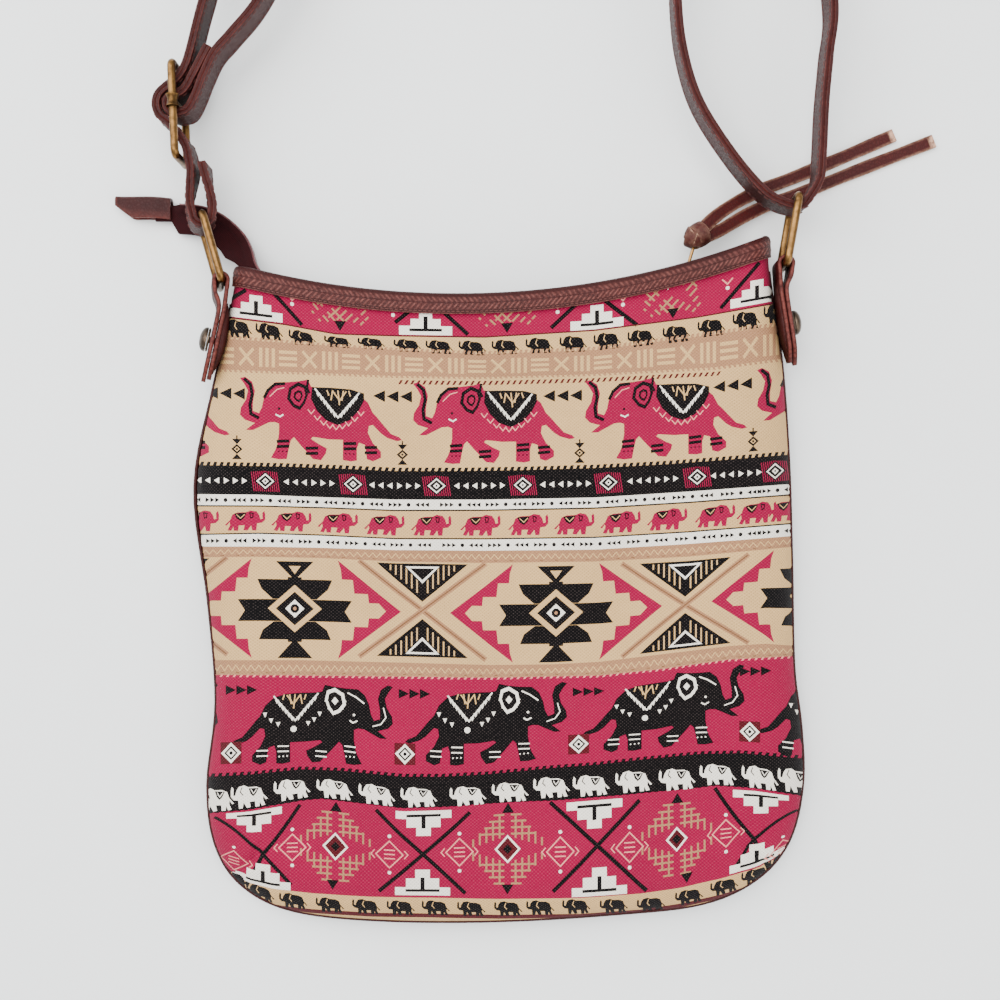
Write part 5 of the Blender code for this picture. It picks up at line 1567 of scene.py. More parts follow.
def seen_to_cloth(seen: Points) -> Points:
    """Find the cloth point under each place as seen from the camera.

    Args:
        seen: places in the picture.

    Returns:
        Cloth points.
    """
    height = np.full(len(seen), 0.031)
    for _ in range(14):
        scale = (0.620 - height) / 0.605 / 2200
        flat = np.column_stack([(seen[:, 0] - 500) * scale, 0.0455 + (500 - seen[:, 1]) * scale])
        distance, inward = OUTER.nearest(flat)
        x, y = flat[:, 0], flat[:, 1]
        high = smoothstep(ROUND_TO, ROUND_FROM, y)
        edge = EDGE_ROUND + (MOUTH_ROUND - EDGE_ROUND) * high
        middle = np.clip(1 - (x / 0.13) ** 2, 0, 1) * np.clip(1 - (y / 0.17) ** 2, 0, 1)
        top = FRONT_HEIGHT + BELLY * middle - BOTTOM_DROP * smoothstep(0.06, 0.147, -y)
        turned = np.where(distance < edge, np.arcsin(np.clip(1 - distance / edge, 0, 1)), 0.0)
        wanted = SEAM_HEIGHT + (top - SEAM_HEIGHT) * np.cos(turned)
        height = height * 0.45 + wanted * 0.55
    along = (1 - turned / (math.pi / 2)) * (edge + CLOTH_SPREAD) - CLOTH_SPREAD
    along = np.where(distance < 0, distance - CLOTH_SPREAD, along)
    moved = np.where(distance < edge, along - distance, 0.0)
    return flat + inward * moved[:, None]


def inside(points: Points, outline: Points) -> Points:
    """Tell which points lie in a closed outline, crossings counted even and odd."""
    result = np.zeros(len(points), bool)
    x, y = points[:, 0], points[:, 1]
    for a, b in zip(outline, np.roll(outline, -1, axis=0)):
        if a[1] == b[1]:
            continue
        spans = (a[1] > y) != (b[1] > y)
        result ^= spans & (x < (b[0] - a[0]) * (y - a[1]) / (b[1] - a[1]) + a[0])
    return result


def fill_outline(outline: Points, spacing: float, lines: list[Points]) -> tuple[Points, Points]:
    """Cut the inside of an outline into triangles that follow given lines.

    Args:
        outline: closed outline, in millimetres.
        spacing: distance of the points in between.
        lines: closed lines that the triangles keep to.

    Returns:
        The points and the triangles, counter-clockwise.
    """
    points, edges = [], []
    for line in [outline, *lines]:
        base = len(points)
        points += line.tolist()
        edges += [(base + k, base + (k + 1) % len(line)) for k in range(len(line))]
    low, high = outline.min(axis=0), outline.max(axis=0)
    for row, y in enumerate(np.arange(low[1], high[1], spacing * 0.87)):
        xs = np.arange(low[0] + (row % 2) * spacing / 2, high[0], spacing)
        points += [(x, y) for x in xs]
    made = delaunay_2d_cdt([Vector(p) for p in points], edges, [], 0, 0.004, False)
    verts = np.array([tuple(p) for p in made[0]])
    faces = np.array([tuple(f) for f in made[2]], int)
    corners = verts[faces]
    area = np.cross(corners[:, 1] - corners[:, 0], corners[:, 2] - corners[:, 0])
    faces = np.where(area[:, None] < 0, faces[:, ::-1], faces)
    keep = inside(corners.mean(axis=1), outline) & (np.abs(area) > 1e-7)
    return verts, faces[keep]


def border_loop(faces: Points) -> list[int]:
    """Indices round the open edge of a filled outline, in order."""
    ways = {(a, b) for face in faces.tolist() for a, b in zip(face, face[1:] + face[:1])}
    after = {a: b for a, b in ways if (b, a) not in ways}
    start = next(iter(after))
    loop, here = [start], after[start]
    while here != start and len(loop) <= len(after):
        loop.append(here)
        here = after[here]
    return loop


def store_rub_and_highlight(obj: bpy.types.Object, values: list | Points) -> None:
    """Store how pale each point of a piece is: real scuffing on cut edges, painted highlight on folded edges
    and embossed ridges.
    """
    attribute = obj.data.attributes.new("wear_and_highlight", "FLOAT", "POINT")
    attribute.data.foreach_set("value", np.asarray(values, np.float32))


@dataclass
class BagBody:
    """Printed front, plain back, their seam and the lining pouch."""

    wardrobe: Wardrobe
    cell: float = 3.2
    piping: float = 1.0 * MM

    def build(self) -> list[bpy.types.Object]:
        """Build and dress the body's pieces.

        Returns:
            The pieces.
        """
        return [self.build_front(), self.build_back(), self.build_piping(), self.build_lining()]

    def build_front(self) -> bpy.types.Object:
        """Cut the canvas along its print and lay it over the bag as a wall of even thickness.

        Returns:
            The printed front.
        """
        left, base, right = cloth_corners()
        arc = [mouth_arc(x, PANEL_DROP) for x in np.linspace(right[0][0], left[0][0], 130)]
        outline = np.vstack([left, base[1:], right[::-1][1:], arc[1:-1]]) * 1000
        low, high = outline.min(axis=0) - 1, outline.max(axis=0) + 1
        inks, lines = [], []
        for ink, seen in Print().shapes:
            line = seen_to_cloth(seen) * 1000
            if (line.max(axis=0) < low).any() or (line.min(axis=0) > high).any():
                continue
            gap = np.linalg.norm(line - np.roll(line, 1, axis=0), axis=1)
            line = line[gap > 0.02]
            if len(line) >= 3:
                inks.append(ink)
                lines.append(line)
        verts, faces = fill_outline(outline, self.cell, lines)
        centres = verts[faces].mean(axis=1)
        colours = np.zeros((len(faces), 4))
        colours[:] = (*Ink.CREAM.value, 1)
        for ink, line in zip(inks, lines):
            near = ((centres >= line.min(axis=0)) & (centres <= line.max(axis=0))).all(axis=1).nonzero()[0]
            near = near[inside(centres[near], line)]
            colours[near] = (*ink.value, 1)
        loop = border_loop(faces)
        used, packed = np.unique(faces, return_inverse=True)
        faces = packed.reshape(faces.shape)
        loop = np.searchsorted(used, loop)
        verts = verts[used] / 1000
        inner, inner_faces = fill_outline(verts[loop] * 1000, 6.0, [])
        inner = inner / 1000
        return self.front_mesh(verts, faces, colours, loop, inner, inner_faces)

    def front_mesh(self, verts: Points, faces: Points, colours: Points, loop: Points, inner: Points,
                   inner_faces: Points) -> bpy.types.Object:
        """Put the canvas's two faces and its rim together.

        Args:
            verts: cloth points of the printed face.
            faces: its triangles.
            colours: one colour for each triangle.
            loop: indices round its edge.
            inner: cloth points of the inner face, the edge's first.
            inner_faces: its triangles.

        Returns:
            The finished piece.
        """
        outside, within = skin(verts, True), skin(inner, True, CANVAS)
        for face in (outside, within):
            face[:, 2] = np.maximum(face[:, 2], SEAM_HEIGHT + CLEARANCE / 2)
        count = len(verts)
        rim = {}
        for index in loop:
            rim[int(index)] = count + int(np.linalg.norm(inner - verts[index], axis=1).argmin())
        walls = []
        for a, b in zip(loop, np.roll(loop, -1)):
            a, b = int(a), int(b)
            if rim[a] != rim[b]:
                walls.append((b, a, rim[a], rim[b]))
        mesh = bpy.data.meshes.new("printed_front")
        every = (
            [tuple(f) for f in faces.tolist()]
            + [tuple(f[::-1]) for f in (inner_faces + count).tolist()] + walls
        )
        mesh.from_pydata(np.vstack([outside, within]).tolist(), [], every)
        mesh.shade_smooth()
        normals = np.vstack([skin_normals(verts, True), -skin_normals(inner, True)])
        corner_normals, corner_colours, corner_cloth = [], [], []
        cloth = np.vstack([verts, inner])
        for index, face in enumerate(mesh.polygons):
            flat = tuple(face.normal) if index >= len(faces) + len(inner_faces) else None
            colour = colours[index] if index < len(faces) else (*Ink.CREAM.value, 1)
            for vertex in face.vertices:
                corner_normals.append(flat or tuple(normals[vertex]))
                corner_colours.append(colour)
                corner_cloth.append(cloth[vertex])
        attribute = mesh.color_attributes.new("print", "FLOAT_COLOR", "CORNER")
        attribute.data.foreach_set("color", np.array(corner_colours, np.float32).ravel())
        mesh.uv_layers.new(name="cloth").data.foreach_set("uv", np.array(corner_cloth, np.float32).ravel())
        mesh.normals_split_custom_set(corner_normals)
        obj = bpy.data.objects.new("printed_front", mesh)
        bpy.context.scene.collection.objects.link(obj)
        mesh.materials.append(self.wardrobe.canvas)
        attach(obj, "bag")
        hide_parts("front_panel")
        return tell(obj)

    def build_back(self) -> bpy.types.Object:
        """Lay the leather back as a wall of even thickness, turned up to the seam.

        Returns:
            The plain back.
        """
        grid = cloth_grid(70, 70)
        rows, columns = grid.shape[:2]
        flat = grid.reshape(-1, 2)
        outer, inner = skin(flat, False), skin(flat, False, CANVAS)
        for face in (outer, inner):
            face[:, 2] = np.minimum(face[:, 2], SEAM_HEIGHT - CLEARANCE / 2)
        count = len(flat)
        faces = grid_faces(rows, columns) + [face[::-1] for face in grid_faces(rows, columns, count)]
        rim = grid_rim(rows, columns)
        faces += [(a, b, count + b, count + a) for a, b in zip(rim, rim[1:] + rim[:1])]
        obj = new_piece("plain_back", np.vstack([outer, inner]), faces)
        obj.data.materials.append(self.wardrobe.back)
        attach(obj, "bag")
        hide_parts("back_panel")
        return tell(obj)

    def build_piping(self) -> bpy.types.Object:
        """Run a thin leather piping round the seam between front and back.

        Returns:
            The piping.
        """
        first, last = OUTER.crossing(-1, 14 * MM), OUTER.crossing(1, 14 * MM)
        line = evenly(OUTER.line[first : last + 1], 1.6 * MM)
        tangent = np.gradient(line, axis=0)
        tangent /= np.linalg.norm(tangent, axis=1)[:, None]
        outward = np.stack([tangent[:, 1], -tangent[:, 0]], axis=1)
        points, across, sections = [], [], []
        for place, way in zip(line, outward):
            left = float(place[0] < 0) * math.exp(-(((place[1] - 0.045) / 0.045) ** 2))
            shown = place + way * (0.2 + 0.9 * left) * MM
            points.append(Vector((shown[0], shown[1], SEAM_HEIGHT)))
            across.append(Vector((way[0], way[1], 0)))
            sections.append([
                (self.piping * math.cos(math.tau * k / 10), self.piping * 1.5 * math.sin(math.tau * k / 10))
                for k in range(10)
            ])
        made, faces = sweep(points, across, [Vector((0, 0, 1))] * len(points), sections)
        obj = new_piece("seam_piping", made, faces)
        obj.data.materials.append(self.wardrobe.leather)
        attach(obj, "bag")
        return tell(obj)

    def build_lining(self) -> bpy.types.Object:
        """Make the lining pouch: two sheets joined round their edges, open at the mouth.

        Returns:
            The lining.
        """
        grid = cloth_grid(44, 44)[1:]
        rows, columns = grid.shape[:2]
        flat = grid.reshape(-1, 2)
        count, near = len(flat), CANVAS + LINING_GAP
        seam = [index for index in grid_rim(rows, columns) if index >= columns or index in (0, columns - 1)]
        points, faces = [], []
        for inset in (near, near + LINING):
            sheets = [skin(flat, front, inset) for front in (True, False)]
            joined = (sheets[0][seam] + sheets[1][seam]) / 2
            for part in sheets:
                part[seam] = joined
                faces += grid_faces(rows, columns, len(points))
                points += part.tolist()
        for i in range(columns - 1):
            for base in (0, count):
                a, b = base + i, base + 2 * count + i
                faces.append((a, a + 1, b + 1, b))
        shape = bmesh.new()
        corners = [shape.verts.new(p) for p in points]
        for face in faces:
            shape.faces.new([corners[k] for k in face])
        bmesh.ops.remove_doubles(shape, verts=shape.verts, dist=0.01 * MM)
        bmesh.ops.recalc_face_normals(shape, faces=shape.faces)
        mesh = bpy.data.meshes.new("lining_pouch")
        shape.to_mesh(mesh)
        shape.free()
        mesh.shade_smooth()
        obj = bpy.data.objects.new("lining_pouch", mesh)
        bpy.context.scene.collection.objects.link(obj)
        mesh.materials.append(self.wardrobe.lining)
        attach(obj, "bag")
        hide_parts("lining")
        return tell(obj)


def model_stitch(length: float, width: float) -> tuple[Points, Faces]:
    """Model one stitch as a short rounded bar along X, by hand operators.

    Args:
        length: its length.
        width: its width.

    Returns:
        Its points and faces.
    """
    bpy.ops.object.select_all(action="DESELECT")
    bpy.ops.mesh.primitive_cylinder_add(vertices=6, radius=width / 2, depth=length * 0.6)
    obj = bpy.context.active_object
    bpy.ops.object.mode_set(mode="EDIT")
    bpy.ops.mesh.select_mode(type="FACE")
    bpy.ops.mesh.select_all(action="DESELECT")
    bpy.ops.object.mode_set(mode="OBJECT")
    for face in obj.data.polygons:
        face.select = abs(face.normal.z) > 0.9
    bpy.ops.object.mode_set(mode="EDIT")
    bpy.ops.mesh.inset(thickness=width * 0.2, depth=length * 0.2, use_individual=True)
    bpy.ops.object.mode_set(mode="OBJECT")
    points = np.array([(v.co.z, v.co.x, v.co.y) for v in obj.data.vertices])
    faces = [tuple(face.vertices) for face in obj.data.polygons]
    bpy.data.objects.remove(obj, do_unlink=True)
    return points, faces


def stitch_rows(name: str, rows: list[tuple[list, list]], length: float, width: float,
                wardrobe: Wardrobe) -> bpy.types.Object:
    """Copy one stitch along rows.

    Args:
        name: the piece's name.
        rows: for each row its places and, at each place, its (along, outward) directions.
        length: a stitch's length.
        width: a stitch's width.
        wardrobe: the finishes.

    Returns:
        All the stitches as one piece.
    """
    stitch, cut = model_stitch(length, width)
    points, faces = [], []
    for places, ways in rows:
        for place, (along, outward) in zip(places, ways):
            along, outward = Vector(along).normalized(), Vector(outward).normalized()
            turn = Matrix((along, along.cross(outward) * -1, outward)).transposed()
            base = len(points)
            points += [Vector(place) + turn @ Vector(p) for p in stitch]
            faces += [tuple(base + k for k in face) for face in cut]
    obj = new_piece(name, points, faces, 80)
    obj.data.materials.append(wardrobe.thread)
    return obj


@dataclass
class Mouth:
    """The two leather bindings along the mouth, with their embossing and stitches."""

    wardrobe: Wardrobe
    relief: float = 0.17 * MM
    stroke: float = 2.3 * MM

    def build(self) -> list[bpy.types.Object]:
        """Build and dress both bindings and the front one's stitches.

        Returns:
            The pieces.
        """
        pieces = [self.binding("front_rolled_binding", True, 0.45 * MM)]
        pieces.append(self.binding("back_rolled_binding", False, 2.0 * MM))
        pieces.append(self.stitches())
        return pieces

    def ends(self) -> tuple[float, float]:
        """Where the binding starts and ends across the mouth."""
        left, _, right = cloth_corners()
        span = right[0][0] - left[0][0]
        return left[0][0] + span * BINDING_SHARES[0], left[0][0] + span * BINDING_SHARES[1]

    def binding(self, name: str, front: bool, step: float) -> bpy.types.Object:
        """Roll a leather strip over a mouth edge, embossed in two rows of slanted strokes.

        Args:
            name: the piece's name.
            front: True for the front binding.
            step: distance between its cross-sections.

        Returns:
            The binding.
        """
        outer = -(BINDING_GAP + BINDING_THICKNESS / 2)
        inner = CANVAS + BINDING_GAP + BINDING_THICKNESS / 2
        crest = PANEL_DROP - BINDING_GAP - BINDING_THICKNESS / 2
        line = catmull_rom([
            (BINDING_HEIGHT, outer), (BINDING_HEIGHT * 0.62, outer), (2.4 * MM, outer),
            (crest + 0.5 * MM, outer + 0.5 * MM), (crest - 0.1 * MM, (outer + inner) / 2),
            (crest + 0.5 * MM, inner - 0.5 * MM), (2.4 * MM, inner), (BINDING_HEIGHT * 0.9, inner),
        ], 7)
        slope = np.gradient(line, axis=0)
        slope /= np.linalg.norm(slope, axis=1)[:, None]
        normal = np.stack([-slope[:, 1], slope[:, 0]], axis=1) * BINDING_THICKNESS / 2
        profile = np.vstack([line + normal, (line - normal)[::-1]])
        shown = np.concatenate([np.zeros(len(line)), np.ones(len(line))]) > 0.5
        if (line + normal)[0, 1] < (line - normal)[0, 1]:
            shown = ~shown
        start, end = self.ends()
        xs = np.linspace(start, end, max(3, round((end - start) / step)))
        cloth, insets, wear_and_highlight = [], [], []
        for x in xs:
            for (drop, inset), out in zip(profile, shown):
                lift = self.emboss(x, drop) if out and inset < 0 else 0.0
                cloth.append(mouth_arc(x, drop))
                insets.append(inset - lift * self.relief)
                # paleness: painted highlight on the embossed ridges, real scuffing on the cut lower edge
                wear_and_highlight.append(max(0.0, lift) * 0.45 + 0.5 * float(drop > BINDING_HEIGHT - 0.3 * MM))
        cloth, insets = np.array(cloth), np.array(insets)
        level, deep = skin(cloth, front, 0.0), skin(cloth, front, 1 * MM)
        points = level + (deep - level) * (insets / MM)[:, None]
        count = len(profile)
        faces = []
        for i in range(len(xs) - 1):
            for k in range(count):
                a, b = i * count + k, i * count + (k + 1) % count
                faces.append((a, b, b + count, a + count))
        for base in (0, (len(xs) - 1) * count):
            for k in range(count // 2 - 1):
                faces.append((base + k, base + k + 1, base + count - 2 - k, base + count - 1 - k))
        obj = new_piece(name, points, faces, 60)
        store_rub_and_highlight(obj, wear_and_highlight)
        obj.data.materials.append(self.wardrobe.binding)
        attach(obj, "bag")
        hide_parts("front_binding" if front else "back_binding")
        return tell(obj)

    def emboss(self, x: float, drop: float) -> float:
        """Height of the embossing at a place, from -0.2 to 1, in two rows that slant towards each other."""
        middle = BINDING_HEIGHT * 0.46
        slant = (drop - middle) * 0.9
        wave = math.cos(math.tau * (x + abs(slant)) / self.stroke)
        row = float(smoothstep(0.15 * MM, 0.6 * MM, abs(drop - middle)))
        fade = (
            float(smoothstep(1.2 * MM, 2.2 * MM, drop)) * (1 - float(smoothstep(7.0 * MM, 7.5 * MM, drop)))
        )
        return (0.2 + 0.8 * float(smoothstep(0.1, 0.7, wave))) * row * fade

    def stitches(self) -> bpy.types.Object:
        """Sew the front binding down near its lower edge.

        Returns:
            The stitches.
        """
        start, end = self.ends()
        drop = 8.0 * MM
        xs = np.arange(start + 1.2 * MM, end - 1 * MM, 2.1 * MM)
        cloth = np.array([mouth_arc(x, drop) for x in xs])
        places = skin(cloth, True, -(BINDING_GAP + BINDING_THICKNESS + 0.02 * MM))
        outward = skin_normals(cloth, True)
        along = np.gradient(places, axis=0)
        obj = stitch_rows(
            "binding_stitches", [(places, list(zip(along, outward)))], 1.6 * MM, 0.5 * MM, self.wardrobe
        )
        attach(obj, "bag")
        return tell(obj)


def placed(obj: bpy.types.Object, stand: Stand, out: float = 0.0, along: float = 0.0,
           across: float = 0.0) -> bpy.types.Object:
    """Carry a piece made about the origin into a stand's frame: X out, Y along, Z across.

    Args:
        obj: the piece.
        stand: the frame.
        out: place out from the bag.
        along: place along the frame.
        across: place across it.

    Returns:
        The piece, at the origin with its place in its mesh.
    """
    applied(obj)
    turn = Matrix((stand.out, stand.along, stand.across)).transposed().to_4x4()
    turn.translation = stand.point(out, along, across)
    obj.data.transform(turn)
    if turn.determinant() < 0:
        obj.data.flip_normals()
    return obj


def wire_loop(
    name: str, low: float, high: float, half: float, corner: float, radius: float
) -> bpy.types.Object:
    """Bend a wire to a rounded rectangle in the YZ plane: a plane with beveled corners, made a round curve.

    Args:
        name: the piece's name.
        low: lowest place along Y.
        high: highest place along Y.
        half: half its width along Z.
        corner: corner radius of the wire's middle.
        radius: the wire's radius.

    Returns:
        The wire as a mesh.
    """
    bpy.ops.object.select_all(action="DESELECT")
    bpy.ops.mesh.primitive_plane_add(size=1, rotation=(0, math.pi / 2, 0), location=(0, (low + high) / 2, 0))
    obj = bpy.context.active_object
    obj.name = name
    obj.scale = (2 * half, high - low, 1)
    applied(obj)
    bpy.ops.object.mode_set(mode="EDIT")
    bpy.ops.mesh.select_all(action="SELECT")
    bpy.ops.mesh.bevel(offset=corner, segments=9, affect="VERTICES")
    bpy.ops.mesh.select_all(action="SELECT")
    bpy.ops.mesh.delete(type="ONLY_FACE")
    bpy.ops.object.mode_set(mode="OBJECT")
    bpy.ops.object.convert(target="CURVE")
    obj.data.bevel_depth = radius
    obj.data.bevel_resolution = 6
    bpy.ops.object.convert(target="MESH")
    bpy.ops.object.mode_set(mode="EDIT")
    bpy.ops.mesh.select_all(action="SELECT")
    bpy.ops.mesh.remove_doubles(threshold=0.00001)
    bpy.ops.mesh.normals_make_consistent(inside=False)
    bpy.ops.object.mode_set(mode="OBJECT")
    bpy.ops.object.shade_smooth()
    obj.data.name = name
    return obj


def dress(obj: bpy.types.Object, material: bpy.types.Material) -> bpy.types.Object:
    """Give a piece its material in a single slot."""
    obj.data.materials.clear()
    obj.data.materials.append(material)
    return obj


@dataclass
class SideTab:
    """A leather tab folded over its ring, with the rivet, the ring and a backing beside the tab."""

    side: Side
    wardrobe: Wardrobe
    backing: float = BACKING_LEFT

    def build(self) -> list[bpy.types.Object]:
        """Build and dress the tab, its backing, its rivet and its ring.

        Returns:
            The pieces.
        """
        return [self.build_tab(), self.build_backing(), self.build_rivet(), self.build_ring()]

    def build_backing(self) -> bpy.types.Object:
        """Lay a leather backing between the tab and the canvas, rounded at both ends.

        It stands in for the tab's own broad face seen at a slant: the real tab has no separate backing.

        Returns:
            The backing.
        """
        stand = TAB_STANDS[self.side]
        flat = -(WIRE + CLEARANCE + TAB_LAYER / 2) - LOOP_OFFSET - TAB_LAYER / 2
        points, sections = [], []
        for share in np.linspace(0, 1, BACKING_ROWS):
            along = BACKING_START + BACKING_LENGTH * share
            fade = math.sin(math.pi * min(1.0, 0.04 + 2.2 * min(share, 1 - share)) / 2)
            deep, tall = self.backing * fade, BACKING_HALF * (0.4 + 0.6 * fade)
            points.append(stand.point(flat, float(along)))
            sections.append([
                (0, -tall), (-deep * 0.7, -tall), (-deep, -tall * 0.85), (-deep, tall * 0.75),
                (-deep * 0.75, tall * 0.93), (-deep * 0.4, tall), (0, tall),
            ])
        made, faces = sweep(points, [stand.out] * len(points), [stand.across] * len(points), sections)
        obj = new_piece(f"tab_backing_{self.side.value}", made, faces)
        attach(obj, "bag")
        return tell(dress(obj, self.wardrobe.leather))

    def build_tab(self) -> bpy.types.Object:
        """Fold the strip: up the inner layer, round the ring's bar and down the outer layer.

        Returns:
            The tab.
        """
        frame_here, ring = TAB_STANDS[self.side], RING_STANDS[self.side]
        radius = WIRE + CLEARANCE + TAB_LAYER / 2
        flat = -radius - LOOP_OFFSET
        outer = flat + TAB_LAYER + CLEARANCE
        line = [(flat, -TAB_TIP + 1.5 * MM), (flat, -30 * MM), (flat, -16 * MM), (flat + 0.1 * MM, -10 * MM)]
        line += [(-radius - 0.3 * MM, -4 * MM)]
        line += [
            (radius * math.cos(math.radians(a)), radius * math.sin(math.radians(a)))
            for a in range(180, -31, -30)
        ]
        line += [(outer + 3.0 * MM, -5.8 * MM), (outer + 0.8 * MM, -9.4 * MM), (outer, -14 * MM)]
        line += [(outer, -30 * MM), (outer, -TAB_TIP)]
        line = evenly(catmull_rom(line, 12), 0.8 * MM)
        points = [frame_here.point(out, along) for out, along in line]
        across, sideways, sections, wear_and_highlight = [], [], [], []
        half, rounding = TAB_LAYER / 2, 0.45 * MM
        for i, (out, along) in enumerate(line):
            turned = float(smoothstep(-16 * MM, -4 * MM, along))
            across.append(frame_here.across.lerp(ring.across, turned).normalized())
            way = points[min(i + 1, len(points) - 1)] - points[max(i - 1, 0)]
            sideways.append(way.cross(across[-1]).normalized())
            taper = min(1.0, max(0.0, (along + TAB_TIP + 0.6 * MM)) / TAB_TAPER)
            wide = max(0.7 * MM, TAB_WIDTH / 2 * math.sin(taper * math.pi / 2))
            inner = max(wide - rounding, 0.3 * MM)
            sections.append([
                (-half, -inner), (-half + rounding, -wide), (0.0, -wide - 0.12 * MM),
                (half - rounding, -wide), (half, -inner), (half * 1.02, -inner * 0.5), (half, 0),
                (half * 1.02, inner * 0.5), (half, inner), (half - rounding, wide),
                (0.0, wide + 0.12 * MM), (-half + rounding, wide), (-half, inner), (-half, 0),
            ])
            wear_and_highlight += [0, 0.75, 1, 0.75, 0.12, 0, 0, 0, 0.12, 0.75, 1, 0.75, 0, 0]
        made, faces = sweep(points, sideways, across, sections)
        obj = new_piece(f"leather_tab_{self.side.value}", made, faces, 50)
        store_rub_and_highlight(obj, wear_and_highlight)
        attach(obj, "bag")
        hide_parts(f"tab_{self.side.value}")
        return tell(dress(obj, self.wardrobe.leather))

    def build_rivet(self) -> bpy.types.Object:
        """Shape the domed cap from a ball cut flat, with a rolled rim and a post.

        Returns:
            The rivet.
        """
        stand = TAB_STANDS[self.side]
        low, high = (np.array(corner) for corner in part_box(f"rivet_{self.side.value}"))
        radius = WIRE + CLEARANCE + TAB_LAYER / 2
        face = -radius - LOOP_OFFSET + 1.5 * TAB_LAYER + 2 * CLEARANCE
        bpy.ops.object.select_all(action="DESELECT")
        bpy.ops.mesh.primitive_uv_sphere_add(segments=40, ring_count=24, radius=RIVET_CAP)
        cap = bpy.context.active_object
        bpy.ops.object.mode_set(mode="EDIT")
        bpy.ops.mesh.select_all(action="SELECT")
        bpy.ops.mesh.bisect(plane_co=(0, 0, 0), plane_no=(0, 0, 1), use_fill=True, clear_inner=True)
        bpy.ops.mesh.extrude_region_move(TRANSFORM_OT_translate={"value": (0, 0, -1.1 * MM)})
        bpy.ops.mesh.select_all(action="SELECT")
        bpy.ops.transform.resize(value=(1, 1, (RIVET_RISE - 0.2 * MM) / (RIVET_CAP + 1.1 * MM)))
        bpy.ops.mesh.remove_doubles(threshold=0.00001)
        bpy.ops.mesh.normals_make_consistent(inside=False)
        bpy.ops.object.mode_set(mode="OBJECT")
        bpy.ops.mesh.primitive_torus_add(
            major_radius=RIVET_CAP - 0.55 * MM, minor_radius=0.5 * MM, major_segments=40, minor_segments=8,
            location=(0, 0, -0.1 * MM),
        )
        rim = bpy.context.active_object
        bpy.ops.object.select_all(action="DESELECT")
        reach = float(np.linalg.norm((low + high) / 2 - np.array(stand.point(face, -RIVET_DOWN)))) * 0.9
        bpy.ops.mesh.primitive_cylinder_add(
            vertices=20, radius=RIVET_POST, depth=reach, location=(0, 0, -reach / 2)
        )
        post = bpy.context.active_object
        for part in (cap, rim, post):
            applied(part)
        bpy.ops.object.select_all(action="DESELECT")
        for part in (rim, post, cap):
            part.select_set(True)
        bpy.context.view_layer.objects.active = cap
        bpy.ops.object.join()
        cap.name = f"domed_rivet_{self.side.value}"
        cap.data.transform(Matrix.Rotation(math.pi / 2, 4, "Y"))
        placed(cap, stand, face + 0.6 * MM, -RIVET_DOWN)
        only(cap)
        bpy.ops.object.shade_smooth_by_angle(angle=math.radians(40))
        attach(cap, "bag")
        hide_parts(f"rivet_{self.side.value}")
        return tell(dress(cap, self.wardrobe.rivet))

    def build_ring(self) -> bpy.types.Object:
        """Bend the rectangular wire ring.

        Returns:
            The ring.
        """
        half = RING_WIDTH / 2 - WIRE
        obj = wire_loop(f"wire_ring_{self.side.value}", 0, RING_BARS, half, RING_CORNER - WIRE, WIRE)
        placed(obj, RING_STANDS[self.side])
        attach(obj, f"ring_{self.side.value}")
        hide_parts(f"ring_{self.side.value}")
        return tell(dress(obj, self.wardrobe.brass))


def around(centre: Vector, radius: float, start: float, end: float, step: float = 30) -> list[tuple]:
    """Points of an arc in plan about a centre, from a start to an end angle in degrees."""
    count = max(2, round(abs(end - start) / step))
    angles = [math.radians(start + (end - start) * k / count) for k in range(count + 1)]
    return [(centre[0] + radius * math.cos(a), centre[1] + radius * math.sin(a)) for a in angles]


